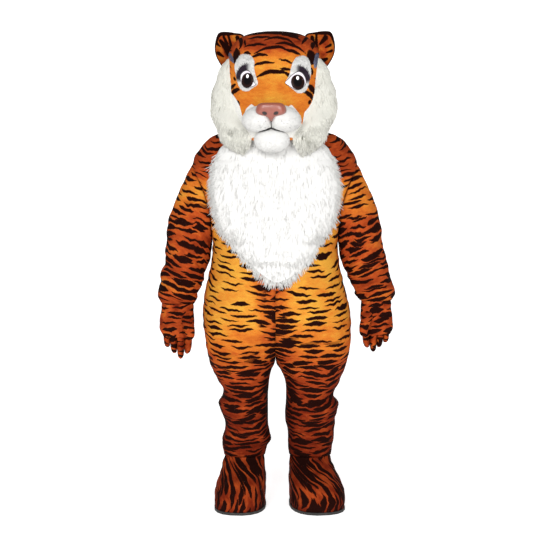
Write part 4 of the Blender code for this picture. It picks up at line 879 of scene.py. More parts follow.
def scatter(points: Array, normals: Array, count: int, seed: int, weight: Array | None = None) -> tuple[Array, Array, Array]:
    """Random places on a grid's faces, evenly by area.

    Args:
        points: the grid.
        normals: its normals.
        count: how many places.
        seed: fixes them.
        weight: how thickly they lie on each point's faces.

    Returns:
        The places, the normals there, and the places in rows and columns of the grid.
    """
    source = np.random.default_rng(seed)
    spans = points[1:, 1:] - points[:-1, :-1], points[1:, :-1] - points[:-1, 1:]
    area = np.linalg.norm(np.cross(*spans), axis=-1)
    if weight is not None:
        area = area * weight[:-1, :-1]
    chosen = source.choice(area.size, count, p=area.ravel() / area.sum())
    r, c = np.unravel_index(chosen, area.shape)
    u, v = source.uniform(size=(2, count))
    rows_columns = np.stack([r + u, c + v], axis=-1)
    return read_grid(points, rows_columns), unit(read_grid(normals, rows_columns)), rows_columns


def read_grid(values: Array, place: Array) -> Array:
    """Values between a grid's points, by their rows and columns."""
    r = np.clip(np.floor(place[:, 0]).astype(int), 0, values.shape[0] - 2)
    c = np.clip(np.floor(place[:, 1]).astype(int), 0, values.shape[1] - 2)
    u, v = place[:, 0] - r, place[:, 1] - c
    if values.ndim == 3:
        u, v = u[:, None], v[:, None]
    top = values[r, c] * (1 - v) + values[r, c + 1] * v
    low = values[r + 1, c] * (1 - v) + values[r + 1, c + 1] * v
    return top * (1 - u) + low * u


@dataclass
class Wardrobe:
    """Finishes of the costume and the calls that put a piece on the part."""

    materials: dict[str, bpy.types.Material]
    body: str = "costume"

    def dress(self, obj: bpy.types.Object, material: str, slot: str, *nodes: str) -> bpy.types.Object:
        """Gives a piece its material and its body, and hides the CAD nodes that it stands for.

        Args:
            obj: the piece.
            material: name of its finish.
            slot: not used.
            nodes: CAD nodes that it replaces.

        Returns:
            The piece.
        """
        obj.data.materials.append(self.materials[material])
        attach(obj, self.body)
        if nodes:
            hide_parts(*nodes)
        log.info("%s: %d faces", obj.name, len(obj.data.polygons))
        return obj

    def thicken(self, obj: bpy.types.Object, wall: float) -> None:
        """Gives a sheet its wall, inwards."""
        modifier = obj.modifiers.new("wall", "SOLIDIFY")
        modifier.thickness = wall
        modifier.offset = -1.0
        modifier.use_rim = True


def armhole_inset(height: Array) -> Array:
    """How far the armhole's edge lies in front of or behind the side: half an ellipse."""
    middle, half = (SHOULDER_POINT + UNDERARM) / 2, (SHOULDER_POINT - UNDERARM) / 2
    return ARMHOLE_HALF_DEPTH * np.sqrt(np.clip(1 - ((height - middle) / half) ** 2, 0, 1))


def fork_share(height: Array) -> Array:
    """0 where the section is one torso, 1 where it is two legs, rounded like the crotch seam."""
    drop = np.clip((FORK_TOP - height) / (FORK_TOP - CROTCH_HEIGHT), 0, 1)
    return 1 - np.sqrt(1 - drop**2)


@dataclass
class Suit:
    """Four plush panels of the jumpsuit, each from the neck and shoulder to the ankle."""

    wardrobe: Wardrobe
    rows: int = 160
    columns: int = 40
    seam_dip: float = 0.0022
    seam_width: float = 0.007
    seam_lap: float = 0.0004

    FOLDS = Table(
        ("side", "height", "around", "tilt", "sag", "spread", "breadth", "depth"),
        (
            (-1, 0.395, 70, -0.030, 0.000, 45, 0.022, 0.005),
            (-1, 0.440, 50, -0.020, 0.010, 50, 0.020, -0.005),
            (-1, 0.345, 10, 0.035, 0.018, 60, 0.017, 0.008),
            (-1, 0.300, 30, -0.030, 0.010, 60, 0.016, -0.008),
            (-1, 0.262, -50, 0.020, 0.000, 60, 0.020, 0.010),
            (-1, 0.228, -10, 0.022, 0.010, 80, 0.016, -0.005),
            (-1, 0.480, 150, 0.030, 0.012, 70, 0.018, 0.008),
            (-1, 0.375, 180, 0.020, 0.010, 70, 0.018, -0.009),
            (-1, 0.300, 200, -0.020, 0.000, 70, 0.018, 0.008),
            (-1, 0.560, 20, 0.030, 0.025, 50, 0.018, 0.007),
            (-1, 0.620, 170, -0.030, 0.020, 60, 0.020, 0.008),
            (1, 0.390, 70, -0.030, 0.000, 45, 0.022, 0.005),
            (1, 0.430, 50, -0.020, 0.010, 50, 0.020, -0.005),
            (1, 0.350, 0, 0.030, 0.020, 60, 0.017, 0.008),
            (1, 0.305, 20, -0.025, 0.010, 65, 0.016, -0.008),
            (1, 0.255, 0, 0.030, 0.010, 80, 0.018, 0.008),
            (1, 0.226, 30, -0.020, 0.010, 80, 0.016, -0.005),
            (1, 0.470, 160, 0.030, 0.012, 70, 0.018, 0.008),
            (1, 0.370, 190, 0.020, 0.010, 70, 0.018, -0.009),
            (1, 0.290, 170, -0.020, 0.000, 70, 0.018, 0.008),
            (1, 0.570, 15, -0.030, 0.025, 50, 0.018, 0.007),
            (1, 0.610, 165, 0.030, 0.020, 60, 0.020, 0.008),
            (-1, 0.520, -20, 0.020, 0.028, 45, 0.010, -0.0045),
            (-1, 0.475, 0, 0.018, 0.022, 50, 0.010, -0.0045),
            (-1, 0.600, -30, 0.030, 0.030, 42, 0.011, -0.0040),
            (-1, 0.410, -20, -0.020, 0.016, 55, 0.009, -0.0040),
            (-1, 0.325, -20, 0.020, 0.012, 60, 0.009, -0.0045),
            (-1, 0.276, 20, 0.020, 0.010, 60, 0.008, -0.0045),
            (-1, 0.243, 40, -0.016, 0.008, 60, 0.008, -0.0035),
            (-1, 0.700, 60, 0.050, 0.010, 36, 0.013, -0.0040),
            (-1, 0.900, 66, -0.060, 0.000, 30, 0.012, -0.0030),
            (1, 0.530, -15, 0.020, 0.030, 45, 0.010, -0.0045),
            (1, 0.485, 5, 0.016, 0.022, 50, 0.010, -0.0045),
            (1, 0.610, -25, 0.030, 0.030, 42, 0.011, -0.0040),
            (1, 0.412, 15, -0.020, 0.016, 55, 0.009, -0.0040),
            (1, 0.328, -30, 0.020, 0.012, 60, 0.009, -0.0045),
            (1, 0.280, -20, 0.020, 0.010, 60, 0.008, -0.0045),
            (1, 0.240, 10, -0.016, 0.008, 60, 0.008, -0.0035),
            (1, 0.720, 62, 0.050, 0.010, 36, 0.013, -0.0040),
            (1, 0.880, 66, -0.060, 0.000, 30, 0.012, -0.0030),
            (-1, 0.860, 150, 0.050, 0.020, 40, 0.014, -0.0045),
            (1, 0.850, 148, 0.050, 0.020, 40, 0.014, -0.0045),
            (-1, 0.420, 200, 0.020, 0.012, 60, 0.010, -0.0045),
            (1, 0.425, 195, 0.020, 0.012, 60, 0.010, -0.0045),
            (-1, 0.255, 170, 0.020, 0.010, 60, 0.010, -0.0045),
            (1, 0.250, 180, 0.020, 0.010, 60, 0.010, -0.0045),
        ),
    )
    UPRIGHT_FOLDS = Table(
        ("x", "face", "low", "high", "lean", "breadth", "depth"),
        (
            (-0.077, -1, 0.660, 0.985, 0.03, 0.010, -0.0060),
            (-0.058, -1, 0.640, 0.960, 0.03, 0.014, 0.0035),
            (0.122, -1, 0.580, 0.800, -0.12, 0.010, -0.0050),
            (0.140, -1, 0.580, 0.790, -0.12, 0.013, 0.0030),
            (-0.150, -1, 0.600, 0.760, 0.20, 0.012, -0.0035),
            (0.045, -1, 0.640, 0.900, -0.04, 0.012, -0.0030),
            (-0.100, 1, 0.640, 1.000, 0.08, 0.013, -0.0050),
            (0.095, 1, 0.620, 0.980, -0.07, 0.013, -0.0050),
            (-0.200, 1, 1.040, 1.330, -0.35, 0.014, -0.0050),
            (0.200, 1, 1.040, 1.330, 0.35, 0.014, -0.0050),
        ),
    )

    def surface(self, side: Side, face: Face, across: Array, height: Array) -> Array:
        """Smooth panel: across runs from 0 at the outseam to 1 at the middle or the inseam.

        A torso section is a quarter of a rounded rectangle, a leg section is half an ellipse, and
        the two are mixed by fork_share.

        Args:
            side: side of the wearer.
            face: front or back.
            across: share of the way round.
            height: height above the floor.

        Returns:
            The points.
        """
        edge, inner = SUIT.at(f"side_{side.word}", height), SUIT.at(f"inner_{side.word}", height)
        depth, inset, fork = SUIT.at(face.word, height), armhole_inset(height), fork_share(height)
        quarter, half = across * np.pi / 2, across * np.pi
        torso_x = edge * power_of(np.cos(quarter), CHEST_SQUARENESS)
        torso_y = inset + (depth - inset) * power_of(np.sin(quarter), CHEST_SQUARENESS)
        leg_x = (edge + inner) / 2 + (edge - inner) / 2 * np.cos(half)
        x = (1 - fork) * torso_x + fork * leg_x
        y = (1 - fork) * torso_y + fork * depth * np.sin(half)
        return np.stack([side.value * x, face.value * y, height + 0 * across], axis=-1)

    def folds(self, side: Side, face: Face, around: Array, points: Array) -> Array:
        """How far the folds push the cloth out.

        Each row of FOLDS is a soft ridge or trough whose line tilts and sags round the leg, and
        each row of UPRIGHT_FOLDS one that runs up and down at its own x.

        Args:
            side: side of the wearer.
            face: front or back.
            around: angle round the leg in degrees, 90 at the outseam and 0 in front.
            points: places on the smooth panel.

        Returns:
            The distance along the normal.
        """
        height, x = points[..., 2], points[..., 0]
        total = np.zeros(height.shape)
        for fold_side, middle, centre, tilt, sag, spread, breadth, depth in self.FOLDS.rows:
            if fold_side == side.value:
                away = (around - centre + 180) % 360 - 180
                line = middle + tilt * away / 90 + sag * (away / spread) ** 2
                total += depth * np.exp(-(((height - line) / breadth) ** 2) - (away / spread) ** 2)
        for middle, fold_face, low, high, lean, breadth, depth in self.UPRIGHT_FOLDS.rows:
            if fold_face == face.value:
                share = np.clip((height - low) / (high - low), 0, 1)
                line = middle + lean * (height - (low + high) / 2) + 0.006 * np.sin(9 * share + middle * 90)
                total += depth * np.sin(np.pi * share) * np.exp(-(((x - line) / breadth) ** 2))
        total += 0.0012 * ripple(points * [1, 1, 1.6], 0.055, 5)
        return total * np.clip((height - 0.192) / 0.030, 0, 1)

    def row_heights(self) -> Array:
        """Heights of the rows, at even steps along the outseam's line."""
        fine = np.linspace(SUIT.rows[0][0], SUIT.rows[-1][0], 1200)
        side = SUIT.at("side_right", fine)
        run = np.concatenate([[0], np.cumsum(np.hypot(np.diff(fine), np.diff(side) * 0.7))])
        return np.interp(np.linspace(0, run[-1], self.rows), run, fine)

    def panel(self, side: Side, face: Face, heights: Array, columns: int) -> tuple[Array, Array, Array, Array]:
        """Folded surface of one panel.

        Args:
            side: side of the wearer.
            face: front or back.
            heights: heights of the rows.
            columns: steps from the outseam to the middle.

        Returns:
            Its points, its normals, the share across and the height of each point.
        """
        across, height = np.meshgrid(np.arange(-1, columns + 2) / columns, heights)
        points = self.surface(side, face, across, height)
        middle = points * [0.45, 0.0, 1.0]
        normals = grid_normals(points, points - middle)
        around = 90 + face.value * (90 + 90 * fork_share(height)) * across
        to_seam = np.minimum(arc_lengths(points[:, 1:-1], 1), 1.0)
        to_seam = np.minimum(to_seam, to_seam[:, -1:] - to_seam)
        to_middle = np.clip((1 - across) * np.abs(points[:, :1, 0]) / 0.020, 0, 1)
        push = normals * self.folds(side, face, around, points)[..., None]
        push[:, 1:-1] -= normals[:, 1:-1] * (self.seam_dip * np.exp(-((to_seam / self.seam_width) ** 2)))[..., None]
        push[..., 0] *= to_middle + (1 - to_middle) * (across < 0.5)
        points = points + push
        normals = grid_normals(points, normals)
        points, normals = points[:, 1:-1], normals[:, 1:-1]
        points[..., 1] += face.value * SEAM_GAP / 2
        gap = np.full(len(heights), -self.seam_lap)
        if face is Face.BACK:
            gap = np.where(heights >= ZIP_BOTTOM, ZIP_HALF_GAP, gap)
        reach = np.abs(points[:, :1, 0])
        points[..., 0] = side.value * (np.abs(points[..., 0]) * (reach - gap[:, None]) / reach + gap[:, None])
        return points, normals, across[:, 1:-1], height[:, 1:-1]

    def stripe_map(self, side: Side, face: Face, points: Array, across: Array, height: Array) -> Array:
        """Map of a panel: distance from the middle seam, and distance down its middle column.

        The rows of stripes rise towards the outseam on the body and towards both seams on a leg.
        """
        run = arc_lengths(points, 1)
        along = (run[:, -1:] - run) * side.value
        down = arc_lengths(points, 0)[:, points.shape[1] // 2]
        closer = 1 + 0.30 * smooth_step(0.80 - height[:, 0], 0.0, 0.40)
        down = np.concatenate([[0], np.cumsum(np.diff(down) * closer[1:])])[:, None]
        fork = fork_share(height)
        rise = 0.055 * (1 - across) ** 2.5 * (1 - fork) + 0.040 * np.abs(2 * across - 1) ** 2 * fork
        start = 10 + 3 * side.value + 5 * face.value
        return np.stack([along + start, down + rise + start * 0.7], axis=-1)

    def colouring(self, side: Side, face: Face, points: Array, across: Array) -> dict[str, Array]:
        """Warmth and ink of a panel: gold in front of belly and thighs, rust at the seams and below. The darkening
        below is partly the dye and partly painted shade on the lower legs.
        """
        height, x = points[..., 2], points[..., 0]
        fork = fork_share(height)
        outer = smooth_step(1 - across, 0.70, 1.0) * (1 - fork) + smooth_step(np.abs(2 * across - 1), 0.35, 0.95) * fork
        # Darker towards the floor: partly the dye, partly painted shade where less light reaches the shins.
        low = smooth_step(0.82 - height, 0.0, 0.46)
        if face is Face.BACK:
            warmth = 0.40 + 0.35 * low + 0.08 * ripple(points, 0.20, 11)
            ink = 1.1 + 0.3 * low
        else:
            middle = np.exp(-(((x + 0.012) / 0.060) ** 4)) * smooth_step(height, 0.50, 0.66)
            collar = smooth_step(height, 1.22, 1.32)
            warmth = 0.10 + np.maximum.reduce([
                0.36 * middle, 0.42 * outer, 0.66 * low + 0.20 * outer, 0.55 * collar])
            warmth = warmth + 0.04 * ripple(points, 0.11, 12)
            ink = 1.06 + 0.06 * smooth_step(x, -0.05, 0.10) + 0.16 * outer + 0.18 * middle + 0.30 * low
        return {"warmth": np.clip(warmth, 0, 1), "ink": ink}

    def build(self) -> None:
        """Makes and dresses the four panels."""
        heights = self.row_heights()
        for side in Side:
            for face in Face:
                points, normals, across, height = self.panel(side, face, heights, self.columns)
                skin = Skin(points, self.stripe_map(side, face, points, across, height),
                            values=self.colouring(side, face, points, across))
                name = f"suit_{face.word}_{side.word}"
                obj = skin.make(f"{name}_plush", normals)
                self.wardrobe.thicken(obj, PLUSH)
                self.wardrobe.dress(obj, "tiger", "tiger_plush", name)
                flat, area = skin.cut()


@dataclass
class Sleeves:
    """Two sleeves: tubes from the armhole ellipse to the gathered cuff."""

    wardrobe: Wardrobe
    rows: int = 104
    columns: int = 72
    ease: float = 0.0008

    COLUMNS = ("outer_x", "outer_height", "inner_x", "inner_height", "depth", "centre_y")
    RINGS = {
        Side.RIGHT: (
            (0.352, 1.285, 0.2520, 1.008, 0.099, 0.000),
            (0.378, 1.225, 0.2545, 0.985, 0.099, -0.002),
            (0.403, 1.165, 0.2580, 0.963, 0.097, -0.005),
            (0.424, 1.105, 0.2640, 0.942, 0.094, -0.009),
            (0.427, 1.060, 0.2700, 0.922, 0.090, -0.013),
            (0.434, 1.005, 0.2770, 0.902, 0.089, -0.018),
            (0.431, 0.962, 0.2830, 0.882, 0.084, -0.023),
            (0.447, 0.918, 0.2890, 0.862, 0.084, -0.028),
            (0.452, 0.878, 0.2960, 0.843, 0.079, -0.033),
            (0.458, 0.842, 0.3030, 0.824, 0.078, -0.038),
            (0.459, 0.815, 0.3100, 0.806, 0.071, -0.042),
            (0.449, 0.793, 0.3180, 0.788, 0.057, -0.044),
        ),
        Side.LEFT: (
            (0.343, 1.290, 0.2490, 1.008, 0.099, 0.000),
            (0.371, 1.230, 0.2515, 0.985, 0.099, -0.002),
            (0.395, 1.170, 0.2550, 0.963, 0.097, -0.005),
            (0.411, 1.110, 0.2610, 0.942, 0.094, -0.009),
            (0.420, 1.060, 0.2680, 0.925, 0.092, -0.013),
            (0.421, 1.010, 0.2790, 0.907, 0.087, -0.018),
            (0.437, 0.965, 0.2880, 0.888, 0.087, -0.023),
            (0.442, 0.925, 0.2960, 0.868, 0.081, -0.028),
            (0.455, 0.888, 0.3030, 0.850, 0.081, -0.033),
            (0.463, 0.852, 0.3090, 0.832, 0.078, -0.038),
            (0.467, 0.826, 0.3170, 0.815, 0.074, -0.042),
            (0.455, 0.803, 0.3320, 0.800, 0.056, -0.044),
        ),
    }
    CREASES = Table(
        ("side", "place", "around", "tilt", "spread", "breadth", "depth"),
        (
            (-1, 0.60, 30, 0.10, 80, 0.020, -0.0060),
            (-1, 0.67, 120, -0.10, 70, 0.018, -0.0055),
            (-1, 0.74, 40, 0.08, 90, 0.016, -0.0060),
            (-1, 0.80, 90, -0.08, 90, 0.014, -0.0060),
            (-1, 0.87, 60, 0.06, 110, 0.012, -0.0060),
            (-1, 0.93, 120, -0.05, 110, 0.010, -0.0050),
            (-1, 0.52, 140, 0.16, 60, 0.020, -0.0050),
            (-1, 0.42, 110, 0.22, 55, 0.022, -0.0040),
            (-1, 0.30, 100, 0.20, 50, 0.022, -0.0040),
            (1, 0.58, 40, 0.10, 80, 0.020, -0.0060),
            (1, 0.66, 110, -0.10, 70, 0.018, -0.0055),
            (1, 0.73, 60, 0.08, 90, 0.016, -0.0060),
            (1, 0.79, 90, -0.08, 90, 0.014, -0.0060),
            (1, 0.86, 50, 0.06, 110, 0.012, -0.0060),
            (1, 0.92, 120, -0.05, 110, 0.010, -0.0050),
            (1, 0.50, 130, 0.16, 60, 0.020, -0.0050),
            (1, 0.40, 110, 0.22, 55, 0.022, -0.0040),
            (1, 0.28, 100, 0.20, 50, 0.022, -0.0040),
            (-1, 0.62, 250, 0.12, 70, 0.020, -0.0055),
            (-1, 0.78, 260, -0.10, 80, 0.016, -0.0055),
            (1, 0.60, 250, 0.12, 70, 0.020, -0.0055),
            (1, 0.77, 260, -0.10, 80, 0.016, -0.0055),
        ),
    )

    def grid(self, side: Side) -> tuple[Array, Array, Array]:
        """Rings between the armhole's ellipse and the cuff's slanted one.

        A ring runs through its outer and inner points: x and height go from one to the other as
        the cosine of the angle, and y as its sine. Creases are soft troughs across the tube.

        Args:
            side: side of the wearer.

        Returns:
            The points, their normals and the angle of each column, 0 outermost and 90 in front.
        """
        angle = np.arange(self.columns) * 2 * np.pi / self.columns
        share = (1 + np.cos(angle)) / 2
        low, high = UNDERARM, SHOULDER_POINT
        first = low + (high - low) * share
        edge = SUIT.at(f"side_{side.word}", first) + self.ease
        rings = [np.stack([edge, -ARMHOLE_HALF_DEPTH * np.sin(angle), first], -1)]
        for row in self.RINGS[side]:
            size = dict(zip(self.COLUMNS, row))
            x = size["inner_x"] + (size["outer_x"] - size["inner_x"]) * share
            z = size["inner_height"] + (size["outer_height"] - size["inner_height"]) * share
            rings.append(np.stack([x, size["centre_y"] - size["depth"] * np.sin(angle), z], -1))
        rings = np.array(rings)
        run = np.concatenate([[0], np.cumsum(np.linalg.norm(np.diff(rings.mean(axis=1), axis=0), axis=1))])
        place = np.linspace(0, 1, self.rows)
        points = through_points(run / run[-1], rings, place) * [side.value, 1, 1]
        centre = points.mean(axis=1, keepdims=True)
        normals = grid_normals(points, points - centre, closed=True)
        push = 0.0013 * ripple(points, 0.05, 21 + int(side.value))
        degrees = np.degrees(angle)[None, :]
        length = run[-1]
        for crease_side, middle, around, tilt, spread, breadth, depth in self.CREASES.rows:
            if crease_side == side.value:
                away = (degrees - around + 180) % 360 - 180
                line = middle + tilt * away / 90
                gap = (place[:, None] - line) * length / breadth
                push = push + depth * np.exp(-(gap**2) - (away / spread) ** 2)
                push = push - 0.6 * depth * np.exp(-((gap - 1.6) ** 2) - (away / spread) ** 2)
        calm = smooth_step(place, 0.0, 0.06)[:, None] * smooth_step(1 - place, 0.0, 0.05)[:, None]
        points = points + normals * (push * calm)[..., None]
        dip = 0.002 * np.exp(-((place * length / 0.008) ** 2))[:, None, None]
        points = points - normals * dip
        return points, grid_normals(points, normals, closed=True), angle

    def build(self) -> None:
        """Makes and dresses both sleeves."""
        for side in Side:
            points, normals, angle = self.grid(side)
            looped = np.concatenate([points, points[:, :1]], axis=1)
            along = arc_lengths(looped, 1) * 0.80
            across = -(looped[..., 2] - 0.38 * np.abs(looped[..., 0]))
            start = 31 + 7 * side.value
            front = np.cos(angle - np.radians(60))[None, :]
            patch = np.exp(-(((points[..., 2] - 1.225) / 0.062) ** 2)) * smooth_step(front, -0.2, 0.5)
            bands = 0.5 + 0.5 * np.sin(points[..., 2] * 2 * np.pi / 0.115 + 1.3 * side.value)
            warmth = 0.62 - 0.36 * patch - 0.12 * bands + 0.05 * ripple(points, 0.09, 31)
            skin = Skin(points, np.stack([along + start, across + start], -1), closed=True,
                        values={"warmth": np.clip(warmth, 0, 1), "ink": 1.27 - 0.10 * patch})
            name = f"sleeve_{side.word}"
            obj = skin.make(f"{name}_plush", normals)
            self.wardrobe.thicken(obj, PLUSH)
            self.wardrobe.dress(obj, "tiger", "tiger_plush", name)
            flat, area = skin.cut()

    def cuff(self, side: Side) -> dict[str, float]:
        """Sizes of the last ring."""
        return dict(zip(self.COLUMNS, self.RINGS[side][-1]))


@dataclass
class Gloves:
    """Two gloves: a hand that tucks into the cuff, four fingers and a thumb."""

    wardrobe: Wardrobe
    sleeves: Sleeves
    rows: int = 36
    columns: int = 50
    finger_rows: int = 20
    finger_sides: int = 20
    wall: float = 0.0025

    HAND = Table(
        ("drop", "outer_shift", "inner_shift", "depth"),
        (
            (-0.022, -0.0048, 0.0048, 0.0505),
            (-0.002, -0.0035, 0.0035, 0.0525),
            (0.022, -0.0040, 0.0030, 0.0495),
            (0.056, 0.0020, 0.0020, 0.0480),
            (0.096, 0.0055, 0.0020, 0.0440),
            (0.134, -0.0060, 0.0050, 0.0350),
        ),
    )
    FINGERS = (
        ("index", 0.03, 0.28, 0.066, 0.005),
        ("middle", 0.28, 0.53, 0.086, 0.000),
        ("ring", 0.53, 0.76, 0.064, -0.005),
        ("little", 0.76, 0.97, 0.040, -0.005),
    )
    TAPER = ((0.0, 1.0), (0.5, 0.97), (0.84, 0.76), (0.96, 0.40), (1.0, 0.0))
    LENGTH_SCALE = {Side.RIGHT: 1.0, Side.LEFT: 0.80}
    THUMB_LENGTH = 0.078
    THUMB_RADIUS = 0.021
    THUMB_DROP = 0.056
    THUMB_ANGLE = 5 * 2 * np.pi / 14
    THUMB_SINK = 0.010
    THUMB_STAND = 0.044

    def hand_point(self, side: Side, angle: Array, drop: Array) -> Array:
        """Point of the hand: the cuff's slanted ellipse, shifted and narrowed as it goes down."""
        cuff = self.sleeves.cuff(side)
        share = (1 + np.cos(angle)) / 2
        outer = cuff["outer_x"] + self.HAND.at("outer_shift", drop)
        inner = cuff["inner_x"] + self.HAND.at("inner_shift", drop)
        x = inner + (outer - inner) * share
        z = cuff["inner_height"] + (cuff["outer_height"] - cuff["inner_height"]) * share - drop
        y = cuff["centre_y"] - self.HAND.at("depth", drop) * np.sin(angle)
        return np.stack([side.value * x, y, z], -1)

    def skin(self, points: Array, start: float) -> Skin:
        """Surface of a tube with its map and mottled colouring."""
        looped = np.concatenate([points, points[:, :1]], axis=1)
        across = -looped[..., 2] + 0.12 * looped[..., 0]
        texture = np.stack([arc_lengths(looped, 1) * 1.35 + start, across * 1.15 + start], -1)
        warmth = 0.62 + 0.10 * ripple(points, 0.05, int(start))
        return Skin(points, texture, closed=True,
                    values={"warmth": np.clip(warmth, 0, 1), "ink": 1.20 + 0.25 * (points[..., 0] > 0)})

    def sheathe(self, name: str, points: Array, start: float) -> None:
        """Makes and dresses one tube, and works out its flat cut."""
        centre = points.mean(axis=1, keepdims=True)
        skin = self.skin(points, start)
        obj = skin.make(f"{name}_plush", points - centre)
        self.wardrobe.thicken(obj, self.wall)
        self.wardrobe.dress(obj, "tiger", "tiger_plush", name)
        flat, area = skin.cut()

    def finger(self, side: Side, low: float, high: float, length: float, lean: float) -> Array:
        """Rings of one finger.

        Its root is a slice of the hand's oval between two shares of its width, which rounds off to
        an ellipse, and the rings shrink to a point at the tip.
        """
        cuff = self.sleeves.cuff(side)
        drop = self.HAND.rows[-1][0]
        inner = cuff["inner_x"] + self.HAND.rows[-1][2]
        width = cuff["outer_x"] + self.HAND.rows[-1][1] - inner
        depth = self.HAND.rows[-1][3]
        turn = np.arange(self.finger_sides) * 2 * np.pi / self.finger_sides
        share = (low + high) / 2 + (high - low) / 2 * power_of(np.cos(turn), 0.62)
        bow = np.sqrt(np.clip(1 - (2 * share - 1) ** 2, 0.10, 1))
        section = np.stack([share, -depth * bow * power_of(np.sin(turn), 0.62)], -1)
        middle = section.mean(axis=0)
        round_section = middle + np.stack([
            (high - low) / 2 * np.cos(turn), -depth * bow.mean() * 0.92 * np.sin(turn)], -1)
        end = (cuff["inner_height"] + cuff["outer_height"]) / 2 - drop
        along = 1 - (1 - np.linspace(0, 1, self.finger_rows)) ** 1.5
        reach = length * self.LENGTH_SCALE[side]
        scale = through_points(*zip(*self.TAPER), along)[:, None, None]
        mixed = smooth_step(along, 0.0, 0.35)[:, None, None]
        spot = middle + ((1 - mixed) * section + mixed * round_section - middle) * scale
        tilt = (cuff["outer_height"] - cuff["inner_height"]) * (spot[..., 0] - 0.5) * (1 - along[:, None])
        x = inner + width * spot[..., 0] + lean * along[:, None] ** 2
        y = cuff["centre_y"] + spot[..., 1] - 0.010 * along[:, None] ** 2
        z = end + tilt - reach * along[:, None] + 0.004 * (1 - along[:, None]) ** 6
        return np.stack([side.value * x, y, z], -1)

    def thumb(self, side: Side) -> Array:
        """Rings of the thumb, which leaves the hand's inner front and bends down."""
        step = 0.002
        spot, beside, below = self.hand_point(
            side, self.THUMB_ANGLE + np.array([0, step * 10, 0]), self.THUMB_DROP + np.array([0, 0, step]))
        out = unit(np.cross(beside - spot, below - spot))
        out = out if out @ (spot - self.hand_point(side, np.pi + self.THUMB_ANGLE, self.THUMB_DROP)) > 0 else -out
        down = np.array([0.0, -0.10, -1.0])
        across = unit(np.cross(out, down))
        turn = np.arange(self.finger_sides) * 2 * np.pi / self.finger_sides
        along = (1 - (1 - np.linspace(0, 1, self.finger_rows)) ** 1.5)[:, None]
        middle = spot + out * (self.THUMB_STAND * np.sin(along * np.pi / 2) - self.THUMB_SINK)
        middle = middle + down * self.THUMB_LENGTH * along**1.25
        heading = unit(out * (1 - along) + down * (0.25 + along))
        up = np.cross(across, heading)
        ring = np.cos(turn)[None, :, None] * across + np.sin(turn)[None, :, None] * up[:, None]
        scale = through_points(*zip(*self.TAPER), along[:, 0])[:, None, None]
        return middle[:, None] + self.THUMB_RADIUS * scale * ring

    def build(self) -> None:
        """Makes and dresses both gloves."""
        for side in Side:
            drops = np.linspace(self.HAND.rows[0][0], self.HAND.rows[-1][0], self.rows)
            angle, drop = np.meshgrid(np.arange(self.columns) * 2 * np.pi / self.columns, drops)
            points = self.hand_point(side, angle, drop)
            normals = grid_normals(points, points - points.mean(axis=1, keepdims=True), closed=True)
            calm = smooth_step(drop, 0.0, 0.02)[..., None]
            points = points + normals * calm * 0.0022 * ripple(points, 0.045, 41)[..., None]
            self.sheathe(f"glove_{side.word}_hand", points, 51 + 3 * side.value)
            for k, (name, low, high, length, lean) in enumerate(self.FINGERS):
                self.sheathe(f"glove_{side.word}_{name}", self.finger(side, low, high, length, lean),
                             57 + 1.37 * k + 9 * side.value)
            self.sheathe(f"glove_{side.word}_thumb", self.thumb(side), 71 + 2 * side.value)


